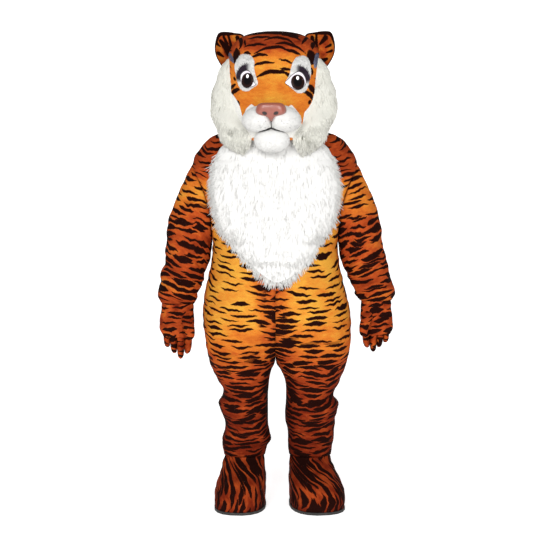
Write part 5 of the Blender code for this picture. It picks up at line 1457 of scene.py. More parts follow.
@dataclass
class Feet:
    """Two foot covers that tuck into the legs, over soles that the part carries."""

    wardrobe: Wardrobe
    rows: int = 50
    columns: int = 80
    toe: float = 0.250
    heel: float = 0.092
    flare: float = 0.16
    twist_over: float = 0.110

    ROWS = Table(
        ("height", "mix", "swell"),
        (
            (0.0104, 0.020, 0.000),
            (0.040, -0.020, 0.000),
            (0.078, 0.030, 0.000),
            (0.114, 0.250, 0.006),
            (0.148, 0.640, 0.008),
            (0.183, 1.000, 0.000),
            (0.212, 1.000, 0.000),
        ),
    )
    TURN = {Side.RIGHT: -5.0, Side.LEFT: 9.0}
    HALF_WIDTH = {Side.RIGHT: 0.095, Side.LEFT: 0.101}
    SHIFT = {Side.RIGHT: 0.004, Side.LEFT: 0.006}

    def grid(self, side: Side) -> tuple[Array, Array]:
        """Rings from the sole's edge up to the ankle.

        The outline of the sole is a rounded rectangle, wider at the toes. It is mixed with the
        ankle's ellipse as the height grows, and the lower rings are turned out.

        Args:
            side: side of the wearer.

        Returns:
            The points and the angle of each column, 90 at the toe.
        """
        angle = np.arange(self.columns) * 2 * np.pi / self.columns
        heights = np.linspace(self.ROWS.rows[0][0], self.ROWS.rows[-1][0], self.rows)[:, None]
        low = SUIT.rows[-1]
        edge, inner = low[SUIT.columns.index(f"side_{side.word}")], low[SUIT.columns.index(f"inner_{side.word}")]
        fit = PLUSH + 0.0012
        front, back = low[5] - fit, low[6] - fit
        ankle_x = ((edge - inner) / 2 - fit) * np.cos(angle)
        ankle_y = -np.where(np.sin(angle) > 0, front, back) * np.sin(angle)
        forward = power_of(np.sin(angle), 0.90)
        sole_x = self.HALF_WIDTH[side] * power_of(np.cos(angle), 0.82) * (1 + self.flare * forward)
        sole_y = (self.heel - self.toe) / 2 - (self.heel + self.toe) / 2 * forward
        mix, swell = self.ROWS.at("mix", heights), self.ROWS.at("swell", heights)
        x = sole_x + (ankle_x - sole_x) * mix
        y = sole_y + (ankle_y - sole_y) * mix - swell * np.maximum(np.sin(angle), 0)
        share = np.clip((self.ROWS.rows[-2][0] - heights) / self.twist_over, 0, 1)
        turn = np.radians(self.TURN[side]) * share
        turned_x = x * np.cos(turn) - y * np.sin(turn) + side.value * self.SHIFT[side] * share
        turned_y = x * np.sin(turn) + y * np.cos(turn)
        points = np.stack([turned_x + side.value * (edge + inner) / 2, turned_y, heights + 0 * turned_x], -1)
        normals = grid_normals(points, points - points.mean(axis=1, keepdims=True), closed=True)
        push = 0.0018 * ripple(points, 0.05, 61)
        for middle, centre, depth in ((0.150, 90, -0.006), (0.122, 60, -0.004), (0.128, 125, -0.004), (0.168, 250, -0.005)):
            away = (np.degrees(angle) - centre + 180) % 360 - 180
            push = push + depth * np.exp(-(((heights - middle - 0.01 * (away / 50) ** 2) / 0.011) ** 2) - (away / 55) ** 2)
        calm = smooth_step(heights, 0.012, 0.035) * smooth_step(0.205 - heights, 0.0, 0.03)
        return points + normals * (push * calm)[..., None], angle

    def build(self) -> None:
        """Makes and dresses both uppers."""
        for side in Side:
            points, angle = self.grid(side)
            looped = np.concatenate([points, points[:, :1]], axis=1)
            start = 83 + 5 * side.value
            texture = np.stack([looped[..., 2] * 1.0 + start, arc_lengths(looped, 1) + start], -1)
            warmth = 0.80 - 0.12 * np.exp(-(((np.degrees(angle) - 90) / 50) ** 2))[None, :]
            warmth = warmth + 0.15 * smooth_step(0.045 - points[..., 2], 0.0, 0.03) + 0.07 * ripple(points, 0.06, 62)
            skin = Skin(points, texture, closed=True,
                        values={"warmth": np.clip(warmth, 0, 1), "ink": np.full(points.shape[:2], 1.5)})
            name = f"foot_{side.word}_upper"
            obj = skin.make(f"{name}_plush", points - points.mean(axis=1, keepdims=True))
            self.wardrobe.thicken(obj, PLUSH)
            self.wardrobe.dress(obj, "tiger", "tiger_plush", name)
            flat, area = skin.cut()


@dataclass
class HeadShape:
    """Outer surface of the head in its own frame, and that frame's place."""

    axis_x: float = -0.004
    turn: float = -3.0
    squareness: float = 0.90
    chin_drop: float = 0.064
    chin_drop_from: float = 1.600
    rim_height: float = 1.472

    ROWS = Table(
        ("place", "height", "half_width", "front", "back"),
        (
            (0.0, 1.8452, 0.0000, 0.0000, 0.0000),
            (1.0, 1.8430, 0.0500, 0.0450, 0.0480),
            (2.0, 1.8330, 0.1050, 0.0950, 0.1000),
            (3.0, 1.8120, 0.1450, 0.1330, 0.1400),
            (4.0, 1.7750, 0.1720, 0.1640, 0.1740),
            (5.0, 1.7250, 0.1860, 0.1810, 0.1930),
            (6.0, 1.6650, 0.1920, 0.1900, 0.2030),
            (7.0, 1.6000, 0.1920, 0.1930, 0.2040),
            (8.0, 1.5400, 0.1860, 0.1930, 0.1950),
            (9.0, 1.4980, 0.1770, 0.1880, 0.1820),
            (10.0, 1.4720, 0.1680, 0.1830, 0.1710),
        ),
    )
    RELIEF = Table(
        ("x", "height", "spread_x", "spread_height", "power", "forward"),
        (
            (0.000, 1.560, 0.055, 0.090, 1.0, 0.034),
            (0.000, 1.488, 0.110, 0.062, 2.0, 0.040),
            (0.100, 1.640, 0.038, 0.036, 1.0, -0.008),
            (0.092, 1.712, 0.050, 0.026, 1.0, 0.006),
            (0.110, 1.560, 0.045, 0.040, 1.0, 0.006),
        ),
    )

    def surface(self, angle: Array, place: Array) -> Array:
        """Points of the head: rounded-rectangle rings, with the front hanging lower and the face's relief.

        Args:
            angle: degrees from the front, positive on the left.
            place: row of the table, 0 at the crown and 10 at the rim.

        Returns:
            The points in the head's frame.
        """
        height, half = self.ROWS.at("height", place), self.ROWS.at("half_width", place)
        turn = np.radians(angle)
        ahead = np.cos(turn)
        depth = np.where(ahead > 0, self.ROWS.at("front", place), self.ROWS.at("back", place))
        x = half * power_of(np.sin(turn), self.squareness)
        y = -depth * power_of(ahead, self.squareness)
        low = np.clip((self.chin_drop_from - height) / (self.chin_drop_from - self.rim_height), 0, 1)
        z = height - self.chin_drop * low**1.4 * np.clip(ahead, 0, 1) ** 1.5
        y = y - self.relief(x, z) * np.clip(ahead * 1.5, 0, 1)
        return np.stack([x, y, z], -1)

    def relief(self, x: Array, height: Array) -> Array:
        """How far the face stands forward: a sum of soft bulges."""
        total = np.zeros(np.broadcast(x, height).shape)
        for middle, rise, spread_x, spread_height, power, forward in self.RELIEF.rows:
            away = ((np.abs(x) - middle) / spread_x) ** 2 + ((height - rise) / spread_height) ** 2
            total += forward * np.exp(-(away**power))
        return total

    def world(self, points: Array) -> Array:
        """Points turned and shifted from the head's frame to the floor's."""
        turn = math.radians(self.turn)
        x = points[..., 0] * math.cos(turn) - points[..., 1] * math.sin(turn) + self.axis_x
        y = points[..., 0] * math.sin(turn) + points[..., 1] * math.cos(turn)
        return np.stack([x, y, points[..., 2]], -1)

    def front_y(self, x: Array, height: Array) -> Array:
        """Depth of the face at places seen from the front.

        The ring that passes through a place is found by steps: its height is the place's own plus
        the drop of the chin there.

        Args:
            x: places across, in the head's frame.
            height: heights of the places.

        Returns:
            The Y of the face at each place.
        """
        fine = np.linspace(0, 10, 400)
        heights = -self.ROWS.at("height", fine)
        ring = height + 0.0 * x
        for _ in range(24):
            place = np.interp(-ring, heights, fine)
            sine = np.clip(np.abs(x) / self.ROWS.at("half_width", place), 0, 1) ** (1 / self.squareness)
            ahead = np.sqrt(1 - sine**2)
            low = np.clip((self.chin_drop_from - ring) / (self.chin_drop_from - self.rim_height), 0, 1)
            ring = height + self.chin_drop * low**1.4 * ahead**1.5
        return -self.ROWS.at("front", place) * ahead**self.squareness - self.relief(x, height) * np.clip(ahead * 1.5, 0, 1)


@dataclass
class HeadShell:
    """Front and back of the head in short striped plush, sewn from ear to ear."""

    wardrobe: Wardrobe
    shape: HeadShape
    rows: int = 120
    front_columns: int = 150
    back_columns: int = 60
    half_angle: float = 88.0
    wall: float = 0.006

    STROKES = Table(
        ("from_x", "from_height", "bow_x", "bow_height", "to_x", "to_height", "thick"),
        (
            (-0.1035, 1.8258, -0.0059, 1.8629, 0.0998, 1.8136, 0.0057),
            (-0.0958, 1.8030, -0.0489, 1.8122, -0.0020, 1.8039, 0.0038),
            (-0.0321, 1.7928, 0.0312, 1.8215, 0.0822, 1.7787, 0.0042),
            (0.0354, 1.8160, 0.0772, 1.8148, 0.1042, 1.7976, 0.0038),
            (-0.1069, 1.8000, -0.1083, 1.7869, -0.1002, 1.7734, 0.0030),
            (-0.1077, 1.7702, -0.0597, 1.7819, -0.0237, 1.7732, 0.0038),
            (0.0105, 1.7785, 0.0668, 1.7908, 0.1239, 1.7460, 0.0042),
            (-0.0690, 1.7416, 0.0199, 1.7826, 0.0564, 1.7528, 0.0046),
            (0.0451, 1.7549, 0.0827, 1.7518, 0.1053, 1.7362, 0.0049),
            (-0.1066, 1.7427, -0.0999, 1.7521, -0.0807, 1.7399, 0.0042),
            (-0.0783, 1.7262, -0.0449, 1.7434, -0.0151, 1.7314, 0.0046),
            (-0.0682, 1.6937, -0.0452, 1.7081, 0.0081, 1.7043, 0.0042),
            (0.0230, 1.7158, 0.0560, 1.7167, 0.0777, 1.6998, 0.0030),
            (0.0309, 1.6814, 0.0552, 1.6820, 0.0720, 1.6767, 0.0038),
            (-0.0563, 1.6500, -0.0035, 1.6840, 0.0646, 1.6610, 0.0060),
            (0.0534, 1.6617, 0.0646, 1.6585, 0.0683, 1.6550, 0.0049),
            (-0.1483, 1.8306, -0.1102, 1.8040, -0.1259, 1.7643, 0.0057),
            (0.1361, 1.8272, 0.1217, 1.8022, 0.1107, 1.7811, 0.0042),
            (-0.1488, 1.6585, -0.1445, 1.6495, -0.1403, 1.6443, 0.0030),
            (-0.1607, 1.6146, -0.1559, 1.6242, -0.1394, 1.6309, 0.0046),
            (-0.1589, 1.5892, -0.1468, 1.6112, -0.1252, 1.6082, 0.0065),
            (-0.1355, 1.5666, -0.1293, 1.5585, -0.1248, 1.5476, 0.0042),
            (0.1366, 1.6237, 0.1492, 1.6170, 0.1594, 1.5937, 0.0072),
            (0.1192, 1.5980, 0.1430, 1.5951, 0.1520, 1.5716, 0.0061),
            (0.1423, 1.5674, 0.1419, 1.5622, 0.1371, 1.5535, 0.0038),
            (0.1455, 1.6915, 0.1521, 1.6821, 0.1489, 1.6624, 0.0034),
            (-0.1400, 1.7660, -0.1340, 1.7400, -0.1450, 1.7130, 0.0110),
            (0.1400, 1.7560, 0.1520, 1.7300, 0.1460, 1.7080, 0.0130),
            (0.1545, 1.7990, 0.1500, 1.7850, 0.1500, 1.7680, 0.0060),
            (-0.0950, 1.8200, 0.0000, 1.8430, 0.0950, 1.8120, 0.0070),
        ),
    )
    CHEEK_LINE = (
        (-0.200, 1.640), (-0.160, 1.600), (-0.140, 1.575), (-0.124, 1.546), (-0.109, 1.503), (-0.098, 1.531),
        (-0.075, 1.548), (-0.045, 1.510), (0.000, 1.500), (0.045, 1.510), (0.073, 1.545), (0.088, 1.531),
        (0.103, 1.512), (0.113, 1.474), (0.122, 1.520), (0.137, 1.540), (0.150, 1.565), (0.160, 1.600), (0.200, 1.640),
    )
    SLIVER = (0.070, 1.406, 0.019)

    def strokes(self, points: Array) -> Array:
        """Over 0.5 on the listed stripes of the face and falling away from them.

        A stripe is a curve through three points of the face, p(t) = (1-t)^2 a + 2t(1-t) b + t^2 c,
        thickest at its middle, and the value falls with the distance from it.
        """
        total = np.full(points.shape[:2], -4.0)
        t = np.linspace(0, 1, 90)[:, None]
        place = points[..., [0, 2]]
        for row in self.STROKES.rows:
            a, b, c = np.array(row[:6]).reshape(3, 2)
            curve = (1 - t) ** 2 * a + 2 * t * (1 - t) * b + t * t * c
            wave = 0.0010 * np.sin(14 * t + row[0] * 300)
            curve = curve + wave * [0, 1]
            width = 1.45 * row[6] * np.sin(np.pi * np.clip(t[:, 0], 0.04, 0.96)) ** 0.6
            away = np.linalg.norm(place[:, :, None] - curve, axis=-1) / width
            total = np.maximum(total, 1.5 - away.min(axis=-1))
        return total

    def colouring(self, points: Array, face: Face) -> dict[str, Array]:
        """Warmth, ink and listed stripes: gold bridge, rust crown, no dashes on the face."""
        x, height = points[..., 0], points[..., 2]
        if face is Face.BACK:
            warmth = 0.55 + 0.10 * ripple(points, 0.12, 71)
            return {"warmth": np.clip(warmth, 0, 1), "ink": np.ones_like(x), "mark": np.zeros_like(x)}
        crown = smooth_step(height, 1.705, 1.79)
        bridge = np.exp(-((x / 0.055) ** 2)) * smooth_step(1.74 - height, 0.0, 0.06)
        cheek = smooth_step(np.abs(x), 0.05, 0.11) * smooth_step(1.66 - height, 0.0, 0.06)
        warmth = 0.25 + 0.42 * crown - 0.08 * bridge + 0.06 * cheek + 0.03 * ripple(points, 0.05, 72)
        ink = smooth_step(np.abs(x), 0.150, 0.180) * smooth_step(height, 1.40, 1.45)
        line = through_points(*zip(*self.CHEEK_LINE), x)
        sliver_x, sliver_height, sliver_size = self.SLIVER
        spot = np.hypot(np.abs(x) - sliver_x, height - sliver_height) - sliver_size
        pale = 0.5 + np.minimum(line - height, spot) / 0.008
        top = smooth_step(height, 1.809, 1.832)
        mark = np.maximum(self.strokes(points), top)
        return {"warmth": np.clip(warmth, 0, 1), "ink": ink, "mark": mark, "pale": np.clip(pale, -2, 2)}

    def build(self) -> None:
        """Makes and dresses both halves."""
        places = np.linspace(0, 10, self.rows)
        spans = {
            Face.FRONT: np.linspace(-self.half_angle, self.half_angle, self.front_columns),
            Face.BACK: np.linspace(self.half_angle, 360 - self.half_angle, self.back_columns),
        }
        for face, angles in spans.items():
            angle, place = np.meshgrid(angles, places)
            local = self.shape.surface(angle, place)
            local[..., 1] += face.value * SEAM_GAP / 2 * (place > 0)
            points = self.shape.world(local)
            along = np.radians(angle - (0 if face is Face.FRONT else 180)) * 0.19
            across = arc_lengths(points, 0) + 0.02 * (np.abs(angle) / 60) ** 2
            texture = np.stack([along + 91, across + 91 + 3 * face.value], -1)
            skin = Skin(points, texture, values=self.colouring(local, face))
            obj = skin.make(f"head_{face.word}_plush", points - [self.shape.axis_x, 0, self.shape.chin_drop_from])
            self.wardrobe.thicken(obj, self.wall)
            self.wardrobe.dress(obj, "tiger", "tiger_plush", f"head_{face.word}")
            flat, area = skin.cut()


def ball(form: tuple[float, ...], sign: float, rows: int, columns: int) -> tuple[Array, Array]:
    """Ellipsoid from a row of centre, radii and tilt about Y, with its poles up and down.

    Args:
        form: x, y, height, three radii and the tilt in degrees, for the left side.
        sign: 1 for the left side, -1 for the right.
        rows: steps from pole to pole.
        columns: steps round it.

    Returns:
        Its points in the head's frame, and the directions from its middle before the radii.
    """
    x, y, height, radius_x, radius_y, radius_height, tilt = form
    up, round_it = np.meshgrid(np.linspace(0, np.pi, rows), np.arange(columns) * 2 * np.pi / columns, indexing="ij")
    ways = np.stack([np.sin(up) * np.cos(round_it), -np.sin(up) * np.sin(round_it), np.cos(up)], -1)
    swollen = ways * [radius_x, radius_y, radius_height]
    turn = math.radians(sign * tilt)
    turned_x = swollen[..., 0] * math.cos(turn) + swollen[..., 2] * math.sin(turn)
    turned_z = -swollen[..., 0] * math.sin(turn) + swollen[..., 2] * math.cos(turn)
    return np.stack([turned_x + sign * x, swollen[..., 1] + y, turned_z + height], -1), ways


@dataclass
class FacePieces:
    """Muzzle pads, chin, nose, mouth, eye patches and eyes, in the head's frame."""

    wardrobe: Wardrobe
    shape: HeadShape
    fur: Fur

    MUZZLE = (0.0420, -0.2080, 1.4930, 0.0700, 0.0690, 0.0500, 10.0)
    CHIN = (0.0000, -0.1880, 1.4150, 0.0680, 0.0620, 0.0470, 0.0)
    NOSE_HALF = (0.0570, 0.0540, 0.0245)
    NOSE_POWER = 4.2
    NOSE_STEM = 0.020
    NOSE_MIDDLE = (0.001, -0.2450, 1.5235)
    WHISKERS = Table(
        ("across", "height"),
        ((0.020, 1.4810), (0.033, 1.4830), (0.047, 1.4820), (0.061, 1.4800), (0.027, 1.4740), (0.041, 1.4740),
         (0.055, 1.4660), (0.069, 1.4640), (0.036, 1.4600), (0.050, 1.4580)),
    )
    IRIS = {Side.RIGHT: (0.0925, 1.6400, 0.0243, 0.0285), Side.LEFT: (0.0970, 1.6325, 0.0258, 0.0290)}
    ALMOND = {
        Side.RIGHT: (
            (0.0278, 0.0201), (0.0190, 0.0325), (0.0030, 0.0378), (-0.0105, 0.0300), (-0.0182, 0.0126),
            (-0.0238, -0.0060), (-0.0316, -0.0182), (-0.0165, -0.0248), (0.0000, -0.0295), (0.0170, -0.0205),
            (0.0268, 0.0000),
        ),
        Side.LEFT: (
            (-0.0462, -0.0050), (-0.0344, 0.0105), (-0.0195, 0.0272), (-0.0025, 0.0385), (0.0095, 0.0392),
            (0.0223, 0.0290), (0.0300, 0.0100), (0.0272, -0.0086), (0.0135, -0.0245), (-0.0042, -0.0298),
            (-0.0240, -0.0205),
        ),
    }
    PATCH = {
        Side.RIGHT: (
            (0.111, 1.742), (0.088, 1.737), (0.074, 1.726), (0.066, 1.709), (0.067, 1.688), (0.063, 1.666),
            (0.057, 1.645), (0.052, 1.632), (0.054, 1.622), (0.069, 1.612), (0.084, 1.603), (0.100, 1.600),
            (0.115, 1.606), (0.124, 1.616), (0.132, 1.634), (0.138, 1.656), (0.142, 1.674), (0.145, 1.695),
            (0.141, 1.713), (0.132, 1.727), (0.123, 1.738),
        ),
        Side.LEFT: (
            (0.118, 1.734), (0.104, 1.731), (0.090, 1.724), (0.080, 1.709), (0.074, 1.692), (0.069, 1.674),
            (0.064, 1.656), (0.055, 1.638), (0.055, 1.627), (0.062, 1.618), (0.076, 1.607), (0.090, 1.596),
            (0.104, 1.592), (0.118, 1.596), (0.128, 1.605), (0.135, 1.623), (0.141, 1.645), (0.145, 1.666),
            (0.145, 1.688), (0.142, 1.709), (0.135, 1.724), (0.128, 1.730),
        ),
    }

    def closed(self, name: str, local: Array, values: dict[str, Array], material: str, slot: str,
               *nodes: str) -> bpy.types.Object:
        """Makes and dresses one closed form whose columns go round it."""
        points = self.shape.world(local)
        looped = np.concatenate([points, points[:, :1]], axis=1)
        texture = np.stack([arc_lengths(looped, 1), arc_lengths(looped, 0)], -1)
        skin = Skin(points, texture, closed=True, values=values)
        obj = skin.make(name, points - points.mean(axis=(0, 1)))
        return self.wardrobe.dress(obj, material, slot, *nodes)

    def muzzle(self, side: Side) -> None:
        """One pad: an ellipsoid kept to its side, with a groove down the middle and short fur."""
        local, _ = ball(self.MUZZLE, side.value, 48, 60)
        inside = local[..., 0] * side.value
        local[..., 1] += 0.010 * np.exp(-((np.maximum(inside, 0) / 0.009) ** 2)) * (local[..., 1] < -0.20)
        local[..., 0] = side.value * np.maximum(inside, 0.0003)
        ones = np.ones(local.shape[:2])
        values = {"along": 0.9 * ones, "tone_and_shade": 0.06 * ones, "mark": 0.0 * ones}
        obj = self.closed(f"muzzle_{side.word}_pad", local, values, "white", "white_fur", f"muzzle_{side.word}")
        self.coat(f"muzzle_{side.word}_fur", local, side, 3600,
                  LockStyle(0.0065, 0.0021, lift=0.30, droop=0.10, wander=0.15, seed=91, spans=SHORT_SPANS,
                            thickness=SHORT_THICKNESS),
                  np.array([side.value * 0.9, 0.2, -0.55]))

    def whiskers(self, roots: Array) -> Array:
        """How grey the fur is in the small dots where whiskers would grow."""
        dots = np.zeros(len(roots))
        for across, height in self.WHISKERS.rows:
            away = np.hypot(np.abs(roots[:, 0]) - across, roots[:, 2] - height)
            dots = np.maximum(dots, 0.60 * np.exp(-((away / 0.0040) ** 2)))
        return dots

    def coat(self, name: str, local: Array, side: Side | None, count: int, style: LockStyle,
             heading: Array) -> None:
        """Short fur on the part of a form that stands in front of the head's shell."""
        normals = grid_normals(local, local - local.mean(axis=(0, 1)), closed=True)
        looped = np.concatenate([local, local[:, :1]], axis=1)
        turned = np.concatenate([normals, normals[:, :1]], axis=1)
        visible = (looped[..., 1] < self.shape.front_y(looped[..., 0], looped[..., 2]) - 0.001) & (turned[..., 1] < 0.35)
        if side is not None:
            visible &= looped[..., 0] * side.value > 0.003
        roots, ways, _ = scatter(looped, turned, count, style.seed, visible.astype(float) + 1e-9)
        lie = heading - ways * (ways @ heading)[:, None]
        roots, ways, lie = self.shape.world(roots), self.shape.world(ways), self.shape.world(unit(lie))
        ways, lie = ways - [self.shape.axis_x, 0, 0], lie - [self.shape.axis_x, 0, 0]
        dots = self.whiskers(roots)
        obj = self.fur.grow(name, roots - ways * 0.001, ways, lie, style, np.full(count, 0.05), {"mark": dots})
        self.wardrobe.dress(obj, "white", "white_fur")

    def chin(self) -> None:
        """The chin's pad with its short fur."""
        local, _ = ball(self.CHIN, 1.0, 48, 60)
        ones = np.ones(local.shape[:2])
        obj = self.closed("chin_pad", local, {"along": 0.9 * ones, "tone_and_shade": 0 * ones, "mark": 0 * ones}, "white",
                          "white_fur", "chin")
        self.coat("chin_fur", local, None, 3800,
                  LockStyle(0.0065, 0.0023, lift=0.20, droop=0.3, wander=0.15, seed=95, spans=SHORT_SPANS,
                            thickness=SHORT_THICKNESS),
                  np.array([0.0, 0.1, -1.0]))

    def nose(self) -> None:
        """Moulded nose: a box with rounded edges, |x/a|^p + |y/b|^p + |z/c|^p = 1.

        It narrows towards its top and draws down to a stem in the middle. Two nostrils are soft
        dents low in front, and a groove runs down from between them.
        """
        rows, columns = 80, 100
        _, ways = ball((0, 0, 0, 1, 1, 1, 0), 1.0, rows, columns)
        reach = (np.abs(ways / self.NOSE_HALF) ** self.NOSE_POWER).sum(-1) ** (-1 / self.NOSE_POWER)
        local = ways * reach[..., None]
        rise = local[..., 2] / self.NOSE_HALF[2]
        local[..., 0] *= 1 - 0.13 * smooth_step(rise, -0.2, 1.1) - 0.12 * smooth_step(-rise, 0.3, 1.1)
        stem = self.NOSE_STEM * np.exp(-((np.abs(local[..., 0]) / 0.0115) ** 1.6)) * smooth_step(-rise, 0.0, 1.0)
        local[..., 2] -= stem
        local[..., 1] += 0.35 * stem
        local = local + self.NOSE_MIDDLE
        x, height = local[..., 0], local[..., 2]
        ahead = smooth_step(-ways[..., 1], 0.1, 0.4)
        mark = np.zeros_like(x)
        for sign in (-1, 1):
            away = ((x - sign * 0.0210) / 0.0108) ** 2 + ((height - 1.5035 - 0.18 * np.abs(x)) / 0.0072) ** 2
            local[..., 1] += 0.008 * np.exp(-away) * ahead
            mark = np.maximum(mark, np.exp(-(away * 1.2) ** 1.6) * ahead)
        groove = np.exp(-((x / 0.0022) ** 2)) * smooth_step(1.526 - height, 0.0, 0.015) * ahead
        local[..., 1] += 0.003 * groove
        mark = np.maximum(mark, 0.40 * groove)
        self.closed("nose_moulding", local, {"mark": mark}, "nose", "nose_leather", "nose")

    def tube(self, name: str, path: Array, radius: Array, material: str, slot: str, lift: float) -> bpy.types.Object:
        """A line of varying thickness laid on the face, closed at both ends.

        Args:
            name: name of the piece.
            path: points in the head's frame.
            radius: thickness at each point.
            material: its finish.
            slot: not used.
            lift: how far it stands out of what it lies on.

        Returns:
            The piece.
        """
        forward = np.gradient(path, axis=0)
        side = unit(np.cross(forward, [0.0, 1.0, 0.0]))
        out = unit(np.cross(side, forward))
        out = np.where((out[:, 1] > 0)[:, None], -out, out)
        turn = np.arange(12) * 2 * np.pi / 12
        ring = side[:, None] * np.cos(turn)[None, :, None] + out[:, None] * np.sin(turn)[None, :, None] * 0.6
        points = path[:, None] + ring * radius[:, None, None] + out[:, None] * lift
        points[0], points[-1] = points[0].mean(axis=0), points[-1].mean(axis=0)
        ones = np.ones(points.shape[:2])
        obj = self.closed(name, points, {"mark": ones}, material, slot)
        return obj

    def mouth(self) -> None:
        """Dark line under the pads, lowest at its ends, and up between them to the nose."""
        x = np.linspace(-0.049, 0.049, 61)
        height = 1.4565 - 0.0140 * (np.abs(x) / 0.049) ** 0.85
        depth = np.minimum(self.pad_front(np.abs(x), height), self.shape.front_y(x, height))
        path = np.stack([x, depth - 0.0030, height], -1)
        radius = 0.0027 * np.sin(np.linspace(0.05, np.pi - 0.05, 61)) ** 0.6 * (1 - 0.25 * smooth_step(x, 0.0, 0.03))
        self.tube("mouth_line", path, radius * 1.3, "lash", "eye_black", 0.0020)
        height = np.linspace(1.492, 1.455, 30)
        across = np.full(30, 0.001)
        depth = np.minimum(self.pad_front(across, height), self.shape.front_y(across, height))
        path = np.stack([across, depth - 0.002, height], -1)
        self.tube("philtrum_line", path, np.full(30, 0.0016), "lash", "eye_black", 0.0010)

    def pad_front(self, x: Array, height: Array) -> Array:
        """Depth of the front of a muzzle pad or of the chin below it, whichever stands further out."""
        depths = []
        for form in (self.MUZZLE, self.CHIN):
            middle_x, y, middle_height, radius_x, radius_y, radius_height, tilt = form
            turn = math.radians(tilt)
            dx, dz = x - middle_x, height - middle_height
            u = (dx * math.cos(turn) - dz * math.sin(turn)) / radius_x
            v = (dx * math.sin(turn) + dz * math.cos(turn)) / radius_height
            depths.append(y - radius_y * np.sqrt(np.clip(1 - u * u - v * v, 0, 1)))
        return np.minimum(*depths)

    def patch(self, side: Side) -> None:
        """White patch round an eye, parallel to the face, with the dark smudge of a brow."""
        outline = np.array(self.PATCH[side]) * [side.value, 1]
        local, whole = self.cap(outline, 96, 22, 0.0, 0.0050, 6)
        mark = self.brow(whole, side)
        ones = np.ones(whole.shape[:2])
        values = {"along": 0.9 * ones, "tone_and_shade": self.greying(whole), "mark": mark}
        obj = self.closed(f"eye_patch_{side.word}_fur", whole, values, "white", "white_fur", f"eye_patch_{side.word}")
        normals = grid_normals(local, np.broadcast_to([0.0, -1.0, 0.0], local.shape), closed=True)
        looped = np.concatenate([local, local[:, :1]], axis=1)
        turned = np.concatenate([normals, normals[:, :1]], axis=1)
        count = 2400
        roots, ways, _ = scatter(looped, turned, count, 101)
        heading = np.array([0.25 * side.value, 0.0, -1.0])
        up = roots[:, 2] > 1.665
        heading = np.where(up[:, None], [0.30 * side.value, 0.0, 1.0], heading)
        lie = unit(heading - ways * (ways * heading).sum(-1, keepdims=True))
        dark = self.brow(roots[:, None], side)[:, 0]
        turned_frame = [self.shape.world(v) - [self.shape.axis_x, 0, 0] for v in (ways, lie)]
        hair = self.fur.grow(f"eye_patch_{side.word}_hair", self.shape.world(roots), *turned_frame,
                             LockStyle(0.0060, 0.0018, lift=0.16, droop=0.0, wander=0.15, seed=103,
                                       spans=SHORT_SPANS, thickness=SHORT_THICKNESS),
                             self.greying(roots[:, None])[:, 0], {"mark": dark})
        self.wardrobe.dress(hair, "white", "white_fur")

    def greying(self, local: Array) -> Array:
        """Grey shade of a patch, stronger above the eye."""
        return 0.04 * smooth_step(local[..., 2], 1.66, 1.71)

    def cap(self, outline: Array, columns: int, rings: int, lift: float, crown: float,
            power: float) -> tuple[Array, Array]:
        """A domed plate that follows the face inside a closed outline.

        Its depth is that of the face less lift + crown * sqrt(1 - share^power), where the share
        runs from 0 in the middle to 1 at the outline.

        Args:
            outline: corner points of a smooth closed curve.
            columns: points round it.
            rings: steps from the middle out.
            lift: how far the edge stands out of the face.
            crown: further height of the middle.
            power: how square the dome's section is.

        Returns:
            The front alone, and the front with a back sheet in the face.
        """
        edge = self.closed_curve(outline, np.linspace(0, len(outline), columns + 1)[:-1])
        middle = edge.mean(axis=0)
        share = np.linspace(0, 1, rings)[:, None, None] ** 0.8
        flat = middle + (edge[None] - middle) * share
        depth = self.shape.front_y(flat[..., 0], flat[..., 1])
        front = depth - lift - crown * np.sqrt(np.clip(1 - share[..., 0] ** power, 0, 1))
        local = np.stack([flat[..., 0], front, flat[..., 1]], -1)
        back = local[::-1].copy()
        back[..., 1] = depth[::-1] + 0.0015
        return local, np.concatenate([local, back], axis=0)

    def closed_curve(self, outline: Array, turn: Array) -> Array:
        """Smooth closed curve through the points of an outline: a periodic Catmull-Rom spline."""
        count = len(outline)
        k = np.floor(turn).astype(int)
        t = (turn - k)[:, None]
        a, b, c, d = (outline[(k + shift) % count] for shift in (-1, 0, 1, 2))
        return 0.5 * (2 * b + (c - a) * t + (2 * a - 5 * b + 4 * c - d) * t**2 + (3 * b - a - 3 * c + d) * t**3)

    def brow(self, local: Array, side: Side) -> Array:
        """Dark smudge over the outer half of an eye: thick near the lash and streaky at its top."""
        middle_x, middle_height, half_x, half_height = self.IRIS[side]
        x = local[..., 0] * side.value - middle_x
        height = local[..., 2] - middle_height
        angle = np.degrees(np.arctan2(height, x))
        reach = np.hypot(x / 0.0310, height / 0.0385)
        span = np.exp(-(((angle - 50) / 50) ** 4))
        streak = 0.07 * np.sin(x * 1500) + 0.04 * np.sin(x * 3100 + 1)
        return 0.95 * span * smooth_step(1.82 + streak - reach, 0.0, 0.34)

